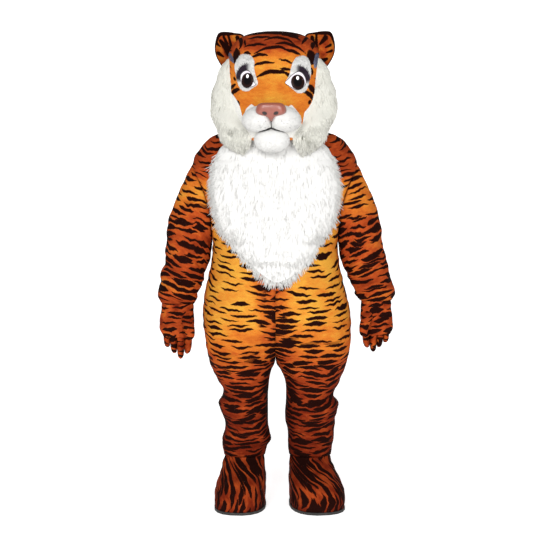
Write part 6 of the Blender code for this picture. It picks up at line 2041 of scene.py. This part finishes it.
    def eye(self, side: Side) -> None:
        """Almond-shaped white, the glossy iris on it and a lash line along the lids."""
        middle_x, middle_height, half_x, half_height = self.IRIS[side]
        middle = np.array([side.value * middle_x, middle_height])
        almond = np.array(self.ALMOND[side]) * [side.value, 1] + middle
        _, whole = self.cap(almond, 96, 14, 0.0062, 0.0040, 4)
        self.closed(f"eye_white_{side.word}_plate", whole, {"mark": np.zeros(whole.shape[:2])}, "eye_white",
                    "eye_white", f"eye_white_{side.word}")
        turn = np.arange(8) * np.pi / 4
        oval = middle + np.stack([half_x * np.cos(turn), half_height * np.sin(turn)], -1)
        _, whole = self.cap(oval, 72, 20, 0.0085, 0.0085, 2)
        x, height = whole[..., 0] - middle[0], whole[..., 2] - middle[1]
        values = {
            "rim": np.hypot(x / half_x, height / half_height),
            # Painted highlight: the glint's white spot high on the iris.
            "glint": 1.5 - np.hypot((x + 0.0005 * side.value) / 0.0046, (height - 0.0150) / 0.0066),
        }
        self.closed(f"pupil_{side.word}_dome", whole, values, "eye_gloss", "eye_black", f"pupil_{side.word}")
        edge = self.closed_curve(almond, np.linspace(0, len(almond), 121))
        over = (edge - middle) * side.value
        upper = smooth_step(edge[:, 1] - middle_height, -0.005, 0.030)
        outer = smooth_step(over[:, 0], -0.015, 0.020)
        depth = self.shape.front_y(edge[:, 0], edge[:, 1]) - 0.0066
        radius = 0.0007 + 0.0014 * upper * outer + 0.0004 * upper
        self.ring(f"lash_{side.word}", np.stack([edge[:, 0], depth, edge[:, 1]], -1), radius)

    def ring(self, name: str, path: Array, radius: Array) -> None:
        """A closed loop of varying thickness laid on the face."""
        path, radius = path[:-1], radius[:-1]
        forward = np.roll(path, -1, axis=0) - np.roll(path, 1, axis=0)
        side = unit(np.cross(forward, [0.0, 1.0, 0.0]))
        out = unit(np.cross(side, forward))
        out = np.where((out[:, 1] > 0)[:, None], -out, out)
        turn = np.linspace(0, 2 * np.pi, 11)
        ring = side[None] * np.cos(turn)[:, None, None] + out[None] * np.sin(turn)[:, None, None] * 0.55
        points = path[None] + ring * radius[None, :, None]
        world = self.shape.world(points)
        centre = self.shape.world(path)[None]
        looped = np.concatenate([world, world[:, :1]], axis=1)
        texture = np.stack([arc_lengths(looped, 1), arc_lengths(looped, 0)], -1)
        skin = Skin(world, texture, closed=True, values={"mark": np.ones(world.shape[:2])})
        self.wardrobe.dress(skin.make(name, world - centre), "lash", "eye_black")

    def build(self) -> None:
        """Makes every piece of the face."""
        self.chin()
        self.nose()
        self.mouth()
        for side in Side:
            self.muzzle(side)
            self.patch(side)
            self.eye(side)


@dataclass
class Ears:
    """Two cupped ears: one closed form each, with a rolled rim, and a tuft of fur in the cup."""

    wardrobe: Wardrobe
    shape: HeadShape
    fur: Fur
    columns: int = 96
    wall: float = 0.007
    turn: float = 10.0

    MIDDLE = (0.190, 0.006, 1.778)
    OUTLINE = (
        (-0.072, 0.052), (-0.030, 0.068), (0.014, 0.073), (0.033, 0.066), (0.043, 0.042), (0.047, 0.012),
        (0.043, -0.016), (0.031, -0.042), (0.016, -0.064), (0.002, -0.078), (-0.030, -0.062), (-0.060, -0.020),
    )
    CUP = ((0.00, 0.046), (0.30, 0.042), (0.60, 0.030), (0.86, 0.010), (1.00, 0.000))
    STRIPES = {
        Side.RIGHT: (
            (0.0250, 0.0400, -0.0050, 0.0080, 0.0040, 0.0100), (-0.0050, 0.0080, -0.0400, -0.0330, 0.0110, 0.0130),
            (-0.0070, 0.0620, -0.0160, 0.0250, 0.0026, 0.0034), (0.0120, 0.0560, 0.0000, 0.0300, 0.0030, 0.0040),
            (0.0330, -0.0080, 0.0150, -0.0190, 0.0048, 0.0020), (-0.0440, 0.0500, -0.0560, 0.0100, 0.0050, 0.0060),
            (0.0400, 0.0300, 0.0280, 0.0200, 0.0040, 0.0016),
        ),
        Side.LEFT: (
            (-0.0400, 0.0150, -0.0400, -0.0500, 0.0120, 0.0150), (-0.0440, 0.0480, -0.0400, 0.0110, 0.0046, 0.0060),
            (-0.0270, 0.0600, -0.0280, 0.0200, 0.0026, 0.0040), (-0.0130, 0.0270, 0.0090, 0.0500, 0.0026, 0.0060),
            (-0.0150, -0.0420, 0.0130, -0.0320, 0.0080, 0.0040), (0.0090, 0.0150, 0.0280, 0.0220, 0.0018, 0.0036),
            (0.0120, -0.0050, 0.0330, -0.0010, 0.0016, 0.0036),
        ),
    }
    TUFT = {Side.RIGHT: (0.1740, 1.7620, 0.1530, 1.7180), Side.LEFT: (0.1700, 1.7560, 0.1620, 1.7060)}

    def profile(self) -> tuple[Array, Array, Array]:
        """Section from the cup's middle, out over the rim and back behind it.

        Returns:
            The share of the outline, the depth, and 1 on the front and 0 behind.
        """
        front = np.linspace(0, 0.97, 26)
        depth = through_points(*zip(*self.CUP), front)
        turn = np.linspace(0, np.pi, 11)[1:-1]
        roll = 0.97 + 0.035 * np.sin(turn)
        rim_depth = depth[-1] + self.wall / 2 * (1 - np.cos(turn))
        back = front[::-1]
        share = np.concatenate([front, roll, back])
        depths = np.concatenate([depth, rim_depth, depth[::-1] + self.wall])
        facing = np.concatenate([np.ones(26), np.linspace(1, 0, 9), np.zeros(26)])
        return share, depths, facing

    def build(self) -> None:
        """Makes and dresses both ears and their tufts."""
        outline = np.array(self.OUTLINE)
        turn = np.linspace(0, len(outline), self.columns + 1)[:-1]
        edge = FacePieces.closed_curve(None, outline, turn)
        share, depths, facing = self.profile()
        for side in Side:
            tilt = math.radians(self.turn)
            x = edge[None, :, 0] * share[:, None]
            z = edge[None, :, 1] * share[:, None]
            y = depths[:, None] + x * math.sin(tilt)
            local = np.stack([x * math.cos(tilt), y, z], -1) + self.MIDDLE
            high = smooth_step(edge[None, :, 1] + 0.5 * edge[None, :, 0], 0.030, 0.075)
            rim = 0.5 + (share[:, None] - 0.93 + 0.11 * high) / 0.05
            behind = 0.5 + (ripple(local, 0.05, 82) - 0.35) / 0.3
            mark = np.where(facing[:, None] > 0.5, np.maximum(rim, self.stripes(side, x, z)), np.maximum(rim, behind))
            mark = np.clip(mark, -4, 1.5)
            warmth = 0.52 + 0.16 * ripple(local, 0.05, 83)
            points = self.shape.world(local * [side.value, 1, 1])
            looped = np.concatenate([points, points[:, :1]], axis=1)
            texture = np.stack([arc_lengths(looped, 1), arc_lengths(looped, 0)], -1) + 120
            ones = np.ones(points.shape[:2])
            skin = Skin(points, texture, closed=True,
                        values={"warmth": np.clip(warmth, 0, 1), "ink": 0 * ones, "mark": mark})
            outwards = np.where(facing[:, None, None] > 0.5, [0.0, -1.0, 0.0], [0.0, 1.0, 0.0]) * ones[..., None]
            obj = skin.make(f"ear_{side.word}_plush", outwards)
            self.wardrobe.dress(obj, "tiger", "tiger_plush", f"ear_{side.word}")
            self.tuft(side)

    def stripes(self, side: Side, x: Array, z: Array) -> Array:
        """Over 0.5 on the black stripes that run from the cup's hollow to its rim.

        A stripe is a straight line whose half-width goes from one size to another, and the value
        falls with the distance from it.
        """
        total = np.full(np.broadcast(x, z).shape, -4.0)
        for from_x, from_z, to_x, to_z, from_half, to_half in self.STRIPES[side]:
            span_x, span_z = to_x - from_x, to_z - from_z
            t = np.clip(((x - from_x) * span_x + (z - from_z) * span_z) / (span_x**2 + span_z**2), 0, 1)
            half = from_half + (to_half - from_half) * t
            away = np.hypot(x - from_x - span_x * t, z - from_z - span_z * t)
            total = np.maximum(total, 1.5 - away / (half * 1.75))
        return total

    def tuft(self, side: Side) -> None:
        """Blue-grey fur that lies in a long streak in the cup near the head."""
        source = np.random.default_rng(111)
        count = 420
        top_x, top_z, low_x, low_z = self.TUFT[side]
        along = source.uniform(0, 1, count)
        round_off = np.sqrt(np.clip(1 - (2 * along - 1) ** 2, 0.05, 1))
        x = top_x + (low_x - top_x) * along + 0.0080 * round_off * source.uniform(-1, 1, count)
        height = top_z + (low_z - top_z) * along
        ahead = np.minimum(self.shape.front_y(x, height), 0.030) - 0.002
        local = np.stack([side.value * x, ahead, height], -1)
        heading = np.array([side.value * (low_x - top_x), -0.012, low_z - top_z]) + 0 * local
        ways = np.broadcast_to([0.0, -1.0, 0.0], heading.shape)
        obj = self.fur.grow(f"ear_{side.word}_tuft", self.shape.world(local), ways, unit(heading),
                            LockStyle(0.016, 0.0026, lift=0.1, droop=0.1, wander=0.10, seed=113), np.full(count, 0.3))
        self.wardrobe.dress(obj, "ear_tuft", "white_fur")


@dataclass
class Ruffs:
    """Two cheek ruffs of long white fur that hang from the ears past the jaw."""

    wardrobe: Wardrobe
    shape: HeadShape
    fur: Fur
    rows: int = 60
    columns: int = 30
    sink: float = 0.006
    locks: int = 5400

    # Dark patches of painted shade in the fur: x, height, half sizes across and up, and depth.
    SHADE_PATCHES = {
        Side.RIGHT: (
            (0.222, 1.632, 0.022, 0.010, 0.48), (0.196, 1.549, 0.016, 0.009, 0.50), (0.156, 1.462, 0.020, 0.008, 0.50),
            (0.232, 1.600, 0.010, 0.030, 0.40),
        ),
        Side.LEFT: (
            (0.118, 1.442, 0.010, 0.009, 1.0), (0.180, 1.535, 0.013, 0.022, 0.42), (0.135, 1.425, 0.010, 0.024, 0.50),
            (0.212, 1.618, 0.014, 0.010, 0.40),
        ),
    }
    ROWS = Table(
        ("height", "from_angle", "to_angle", "base_x", "base_front", "fur"),
        (
            (1.735, 64.0, 78.0, 0.186, 0.182, 0.008),
            (1.705, 59.0, 85.0, 0.189, 0.187, 0.026),
            (1.655, 55.0, 94.0, 0.192, 0.190, 0.046),
            (1.600, 53.0, 104.0, 0.192, 0.193, 0.062),
            (1.545, 48.0, 101.0, 0.187, 0.193, 0.072),
            (1.490, 38.0, 86.0, 0.179, 0.190, 0.076),
            (1.448, 28.0, 79.0, 0.174, 0.190, 0.072),
            (1.422, 27.0, 74.0, 0.170, 0.192, 0.062),
            (1.402, 30.0, 68.0, 0.166, 0.194, 0.048),
            (1.385, 36.0, 60.0, 0.162, 0.196, 0.034),
            (1.369, 43.0, 49.0, 0.158, 0.197, 0.016),
        ),
    )

    def grid(self) -> tuple[Array, Array, Array]:
        """Outer surface of the left ruff.

        Each row spans two angles of the head's ellipse, and stands out from it by the fur's
        thickness times a sine of the share across.

        Returns:
            The outer points, the inner points and the outward directions.
        """
        height = np.linspace(self.ROWS.rows[0][0], self.ROWS.rows[-1][0], self.rows)[:, None]
        share = np.linspace(0, 1, self.columns)[None, :]
        size = {name: self.ROWS.at(name, height) for name in self.ROWS.columns[1:]}
        turn = np.radians(size["from_angle"] + (size["to_angle"] - size["from_angle"]) * share)
        way = np.stack([np.sin(turn), -np.cos(turn), 0 * turn], -1)
        base = np.stack([size["base_x"] * np.sin(turn), -size["base_front"] * np.cos(turn), height + 0 * turn], -1)
        bulge = size["fur"] * np.sin(np.pi * (0.02 + 0.96 * share)) ** 0.8 * 0.86
        clumps = 0.004 * ripple(base * [1, 1, 0.5], 0.05, 131) * np.sin(np.pi * share)
        outer = base + way * (bulge + clumps)[..., None]
        return outer, base - way * self.sink, way

    def build(self) -> None:
        """Makes and dresses both ruffs and their fur."""
        outer, inner, way = self.grid()
        for side in Side:
            mirror = [side.value, 1, 1]
            whole = np.concatenate([outer, inner[:, ::-1]], axis=1)
            whole = np.concatenate([whole[:1] * 0 + whole[:1].mean(axis=1, keepdims=True), whole,
                                    whole[-1:] * 0 + whole[-1:].mean(axis=1, keepdims=True)], axis=0)
            points = self.shape.world(whole * mirror)
            looped = np.concatenate([points, points[:, :1]], axis=1)
            texture = np.stack([arc_lengths(looped, 1), arc_lengths(looped, 0)], -1)
            ones = np.ones(points.shape[:2])
            # Painted shade: the base under the locks takes a greyer colour, part root colour and part shadow colour.
            skin = Skin(points, texture, closed=True, values={"along": 0.4 * ones, "tone_and_shade": 0.15 * ones, "mark": 0 * ones})
            obj = skin.make(f"cheek_ruff_{side.word}_base", points - points.mean(axis=1, keepdims=True))
            self.wardrobe.dress(obj, "ruff", "white_fur", f"cheek_ruff_{side.word}")
            self.coat(side, outer * mirror, way * mirror)

    def coat(self, side: Side, outer: Array, way: Array) -> None:
        """Long locks that lie outwards and down, with painted shade in dark patches and along the outer edge."""
        normals = grid_normals(outer, way)
        roots, ways, spots = scatter(outer, normals, self.locks, 137)
        share = spots[:, 1] / (self.columns - 1)
        drop = spots[:, 0] / (self.rows - 1)
        heading = np.stack([
            side.value * (0.55 * share + 0.15 * (1 - drop)),
            -0.25 + 0.55 * share,
            -1.0 + 0.25 * share * (1 - drop),
        ], -1)
        lie = unit(heading - ways * (ways * heading).sum(-1, keepdims=True) * 0.8)
        frame_ways = self.shape.world(ways) - [self.shape.axis_x, 0, 0]
        frame_lie = self.shape.world(lie) - [self.shape.axis_x, 0, 0]
        shade = np.clip(0.05 + 0.08 * np.maximum(ripple(roots, 0.045, 139), 0), 0, 1)
        # Painted shade: the dark patches where shade falls between clumps of fur.
        for x, height, half_x, half_height, depth in self.SHADE_PATCHES[side]:
            away = ((np.abs(roots[:, 0]) - x) / half_x) ** 2 + ((roots[:, 2] - height) / half_height) ** 2
            shade = np.maximum(shade, depth * np.exp(-away))
        # Painted shade, strongest along the ruff's outer edge.
        shade = np.maximum(shade, 0.60 * smooth_step(share, 0.84, 0.98))
        obj = self.fur.grow(f"cheek_ruff_{side.word}_fur", self.shape.world(roots) - frame_ways * 0.002, frame_ways,
                            frame_lie, LockStyle(0.028, 0.0034, lift=0.08, droop=0.25, wander=0.11, seed=141), shade)
        self.wardrobe.dress(obj, "ruff", "white_fur")


@dataclass
class Bib:
    """White bib of long fur on the chest: a thin backing and rows of hanging locks."""

    wardrobe: Wardrobe
    suit: Suit
    fur: Fur
    rows: int = 80
    columns: int = 60
    crest: float = 0.060
    middle_fur: float = 0.017
    edge_fur: float = 0.004
    locks: int = 9000

    ROWS = Table(
        ("height", "right_half", "left_half"),
        (
            (1.452, 0.110, 0.104),
            (1.385, 0.214, 0.204),
            (1.312, 0.238, 0.228),
            (1.235, 0.243, 0.240),
            (1.150, 0.232, 0.228),
            (1.080, 0.210, 0.202),
            (1.030, 0.168, 0.164),
            (0.975, 0.124, 0.134),
            (0.930, 0.076, 0.094),
            (0.897, 0.034, 0.052),
            (0.880, 0.006, 0.012),
        ),
    )

    def chest(self, x: Array, height: Array) -> Array:
        """Points of the suit's front at places seen from the front.

        The section's angle q follows from x = edge * cos(q)^squareness, and y from its sine.
        """
        edge = np.where(x < 0, SUIT.at("side_right", height), SUIT.at("side_left", height))
        ratio = np.clip(np.abs(x) / edge, 0, 1) ** (1 / CHEST_SQUARENESS)
        rise = np.sqrt(np.clip(1 - ratio**2, 0, 1)) ** CHEST_SQUARENESS
        inset, depth = armhole_inset(height), SUIT.at("front", height)
        return np.stack([x, -(inset + (depth - inset) * rise), height + 0 * x], -1)

    def build(self) -> None:
        """Makes the backing, which bulges, and the fur on it and along its edge."""
        height = np.linspace(self.ROWS.rows[0][0], self.ROWS.rows[-1][0], self.rows)[:, None]
        share = np.linspace(-1, 1, self.columns)[None, :]
        right, left = self.ROWS.at("right_half", height), self.ROWS.at("left_half", height)
        x = np.where(share < 0, share * right, share * left)
        base = self.chest(x, height + 0 * x)
        normals = grid_normals(base, np.broadcast_to([0.0, -1.0, 0.0], base.shape))
        inside = np.clip((np.where(x < 0, right, left) - np.abs(x)) / self.crest, 0, 1)
        lower = np.clip((height - self.ROWS.rows[-1][0]) / 0.08, 0, 1)
        thick = self.edge_fur + (self.middle_fur - self.edge_fur) * inside * (2 - inside) * lower
        thick = thick + 0.0016 * ripple(base * [1, 1, 0.5], 0.05, 151) * inside
        outer = base + normals * thick[..., None]
        rear = base + normals * 0.0012
        whole = np.concatenate([outer, rear[:, ::-1]], axis=1)
        whole = np.concatenate([whole[:1] * 0 + whole[:1].mean(axis=1, keepdims=True), whole,
                                whole[-1:] * 0 + whole[-1:].mean(axis=1, keepdims=True)], axis=0)
        looped = np.concatenate([whole, whole[:, :1]], axis=1)
        texture = np.stack([arc_lengths(looped, 1), arc_lengths(looped, 0)], -1)
        ones = np.ones(whole.shape[:2])
        skin = Skin(whole, texture, closed=True, values={"along": 0.9 * ones, "tone_and_shade": 0 * ones, "mark": 0 * ones})
        obj = skin.make("chest_bib_base", whole - whole.mean(axis=1, keepdims=True) * [1, 0, 1])
        self.wardrobe.dress(obj, "white", "white_fur", "chest_bib")
        self.coat(outer, normals, x, height)

    def coat(self, outer: Array, normals: Array, x: Array, height: Array) -> None:
        """Locks all over the bib, and longer ones that reach past its edge over the suit."""
        turned = grid_normals(outer, normals)
        roots, ways, spots = scatter(outer, turned, self.locks, 153)
        out = spots[:, 1] / (self.columns - 1) * 2 - 1
        heading = np.stack([0.35 * out * np.abs(out) ** 2, 0 * out, -1 + 0 * out], -1)
        lie = unit(heading - ways * (ways * heading).sum(-1, keepdims=True))
        tone_and_shade = np.clip(0.02 * ripple(roots, 0.05, 155), 0, 0.2)
        obj = self.fur.grow("chest_bib_fur", roots - ways * 0.002, ways, lie,
                            LockStyle(0.030, 0.0036, lift=0.07, droop=0.12, wander=0.07, seed=157), tone_and_shade)
        self.wardrobe.dress(obj, "white", "white_fur")
        source = np.random.default_rng(159)
        rows = source.uniform(0.10, 1.0, 1700) ** 0.85 * (self.rows - 1)
        ends = np.where(source.uniform(size=1700) < 0.5, 0.0, self.columns - 1.0)
        spots = np.stack([rows, np.abs(ends - source.uniform(0, 2.5, 1700))], -1)
        roots, ways = read_grid(outer, spots), unit(read_grid(turned, spots))
        sign = np.where(ends > 0, 1.0, -1.0)
        slope = 0.30 + 0.55 * smooth_step(rows / self.rows, 0.55, 0.8)
        heading = np.stack([sign * (0.95 - slope * 0.6), 0 * sign, -slope - 0.25], -1)
        lie = unit(heading - ways * (ways * heading).sum(-1, keepdims=True))
        obj = self.fur.grow("chest_bib_edge", roots - ways * 0.001, ways, lie,
                            LockStyle(0.034, 0.0034, lift=0.12, droop=0.25, wander=0.22, seed=161), np.zeros(1700))
        self.wardrobe.dress(obj, "white", "white_fur")


@dataclass
class Neck:
    """Tube of striped plush from the collar up into the head."""

    wardrobe: Wardrobe
    suit: Suit
    shape: HeadShape
    rows: int = 24
    columns: int = 120

    def build(self) -> None:
        """Makes and dresses the tube: straight lines from the collar to just inside the head's wall."""
        degrees = np.arange(self.columns) * 360 / self.columns
        turn = np.radians(degrees)
        across = 1 - np.arcsin(np.clip(np.abs(np.sin(turn)), 0, 1)) * 2 / np.pi
        top = np.full(self.columns, SUIT.rows[0][0])
        choices = {
            (side, face): self.suit.surface(side, face, across, top) for side in Side for face in Face
        }
        left, front = np.sin(turn) >= 0, np.cos(turn) >= 0
        low = np.zeros((self.columns, 3))
        for (side, face), points in choices.items():
            chosen = (left == (side is Side.LEFT)) & (front == (face is Face.FRONT))
            low[chosen] = points[chosen]
        low[:, 2] -= 0.004
        place = np.full(self.columns, 9.15)
        rim = self.shape.surface(degrees, place)
        inside = rim * [0.955, 0.955, 1.0]
        high = self.shape.world(inside)
        share = np.linspace(0, 1, self.rows)[:, None, None]
        points = low * 0.985 + (high - low * 0.985) * share
        looped = np.concatenate([points, points[:, :1]], axis=1)
        texture = np.stack([arc_lengths(looped, 1), -looped[..., 2]], -1) + 140
        ones = np.ones(points.shape[:2])
        skin = Skin(points, texture, closed=True, values={"warmth": 0.45 * ones, "ink": ones})
        obj = skin.make("neck_skirt_plush", points - points.mean(axis=1, keepdims=True))
        self.wardrobe.thicken(obj, PLUSH)
        self.wardrobe.dress(obj, "tiger", "tiger_plush", "neck_skirt")
        flat, area = skin.cut()


@dataclass
class Zip:
    """Teeth on the chain at the centre back."""

    wardrobe: Wardrobe
    top: float = 1.432
    bottom: float = 0.988
    pitch: float = 0.0030
    tooth: tuple[float, float, float] = (0.0038, 0.0022, 0.0017)

    def build(self) -> None:
        """Makes the teeth as small blocks, left and right in turn, along the back's line."""
        low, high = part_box("zip_strip")
        heights = np.arange(self.bottom, self.top, self.pitch)
        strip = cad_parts["zip_strip"]
        places = np.array([v.co for v in strip.data.vertices])
        chain = places[np.abs(places[:, 0]) < 0.0032]
        near = np.abs(chain[:, None, 2] - chain[None, :, 2]) < 0.012
        chain = chain[chain[:, 1] >= (near * chain[None, :, 1]).sum(axis=1) / near.sum(axis=1)]
        chain = chain[np.argsort(chain[:, 2])]
        back = np.interp(heights - HOLD_HEIGHT, chain[:, 2], chain[:, 1])
        centre = np.stack([np.where(np.arange(len(heights)) % 2 == 0, 0.0011, -0.0011), back + 0.0004, heights], -1)
        corner = np.array([(x, y, z) for x in (-1, 1) for y in (-1, 1) for z in (-1, 1)]) * np.array(self.tooth) / 2
        points = centre[:, None] + corner[None]
        faces = np.array([(0, 1, 3, 2), (4, 6, 7, 5), (0, 4, 5, 1), (2, 3, 7, 6), (0, 2, 6, 4), (1, 5, 7, 3)])
        quads = ((np.arange(len(heights)) * 8)[:, None, None] + faces[None]).reshape(-1, 4)
        obj = mesh_object("zip_teeth", points.reshape(-1, 3), quads, np.empty((0, 3), int))
        obj.data.shade_flat()
        self.wardrobe.dress(obj, "metal", "zip_metal")


@dataclass
class Studio:
    """Pale floor and backdrop, soft lights and the camera at the photograph's angle."""

    wardrobe: Wardrobe
    distance: float = 4.5
    camera_height: float = 1.15
    down: float = 3.22
    lens: float = 74.69

    def sweep(self) -> None:
        """Floor that curves up into a backdrop: a line with a quarter circle, carried along X."""
        turn = np.linspace(0, np.pi / 2, 24)
        radius = 0.9
        y = np.concatenate([[-12.0], 5.7 + radius * np.sin(turn), [5.7 + radius]])
        z = np.concatenate([[0.0], radius - radius * np.cos(turn), [7.0]])
        x = np.linspace(-12, 12, 3)
        points = np.stack([np.broadcast_to(x[None], (len(y), 3)), np.broadcast_to(y[:, None], (len(y), 3)),
                           np.broadcast_to(z[:, None], (len(y), 3))], -1)
        skin = Skin(points, points[..., :2])
        obj = skin.make("studio_floor", np.broadcast_to([0.0, -1.0, 1.0], points.shape))
        obj.data.materials.append(self.wardrobe.materials["paper"])

    def lamp(self, name: str, place: tuple[float, float, float], size: float, power: float) -> None:
        """A round soft light aimed at the chest."""
        data = bpy.data.lights.new(name, "AREA")
        data.shape = "DISK"
        data.size = size
        data.energy = power
        obj = bpy.data.objects.new(name, data)
        bpy.context.scene.collection.objects.link(obj)
        obj.location = place
        obj.rotation_euler = (Vector((0, 0, -0.25)) - obj.location).to_track_quat("-Z", "Y").to_euler()

    def build(self) -> None:
        """Sets up floor, lights, sky and camera."""
        self.sweep()
        self.lamp("key_light", (-1.2, -4.2, 1.5), 1.6, 100.0)
        self.lamp("fill_light", (1.3, -4.2, 0.8), 1.8, 70.0)
        world = bpy.data.worlds.new("studio_sky")
        world.use_nodes = True
        world.node_tree.nodes["Background"].inputs[0].default_value = (1.0, 1.0, 1.0, 1.0)
        world.node_tree.nodes["Background"].inputs[1].default_value = 0.30
        bpy.context.scene.world = world
        bpy.context.scene.view_settings.view_transform = "Standard"
        data = bpy.data.cameras.new("camera")
        data.lens = self.lens
        camera = bpy.data.objects.new("camera", data)
        bpy.context.scene.collection.objects.link(camera)
        camera.location = (-0.002, -self.distance, self.camera_height - HOLD_HEIGHT)
        drop = self.distance * math.tan(math.radians(self.down))
        aim = Vector((-0.002, 0.0, self.camera_height - HOLD_HEIGHT - drop))
        camera.rotation_euler = (aim - camera.location).to_track_quat("-Z", "Y").to_euler()
        bpy.context.scene.camera = camera


def finish_part_nodes(wardrobe: Wardrobe) -> None:
    """Gives the CAD nodes that stay in view their materials."""
    finishes = {"zip_strip": "tape", "zip_slider": "metal", "zip_pull": "metal",
                "foot_right_sole": "rubber", "foot_left_sole": "rubber"}
    for node, material in finishes.items():
        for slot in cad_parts[node].material_slots:
            slot.material = wardrobe.materials[material]
        log.info("%s keeps its shape, in %s", node, material)


def main() -> None:
    """Dresses the whole costume and sets up the studio."""
    logging.basicConfig(level=logging.INFO, format="%(name)s: %(message)s")
    wardrobe = Wardrobe({
        "tiger": TigerPlush().make(),
        "white": WhiteFur().make(),
        "ruff": WhiteFur("ruff_fur_pile", tip=(0.84, 0.83, 0.77), root=(0.69, 0.685, 0.62), shadow=(0.16, 0.16, 0.11)).make(),
        "ear_tuft": WhiteFur("ear_tuft_pile", tip=(0.32, 0.34, 0.48), root=(0.16, 0.17, 0.26), shadow=(0.04, 0.04, 0.07),
                             glow=0.0).make(),
        "nose": Moulded("nose_skin", (0.31, 0.092, 0.062), (0.22, 0.054, 0.038), 0.38, 0.25, 0.002).make(),
        "lash": Moulded("lash_black", (0.030, 0.018, 0.026), (0.020, 0.012, 0.018), 0.5, 0.0, 0.002).make(),
        "eye_gloss": EyeGloss().make(),
        "eye_white": EyeWhitePaint().make(),
        "rubber": SoleRubber().make(),
        "tape": ZipTape().make(),
        "metal": ZipMetal().make(),
        "paper": Paper().make(),
    })
    shape, fur, suit, sleeves = HeadShape(), Fur(), Suit(wardrobe), Sleeves(wardrobe)
    Studio(wardrobe).build()
    finish_part_nodes(wardrobe)
    suit.build()
    sleeves.build()
    Gloves(wardrobe, sleeves).build()
    Feet(wardrobe).build()
    HeadShell(wardrobe, shape).build()
    FacePieces(wardrobe, shape, fur).build()
    Ears(wardrobe, shape, fur).build()
    Ruffs(wardrobe, shape, fur).build()
    Bib(wardrobe, suit, fur).build()
    Neck(wardrobe, suit, shape).build()
    Zip(wardrobe).build()
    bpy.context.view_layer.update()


if __name__ == "__main__":
    main()
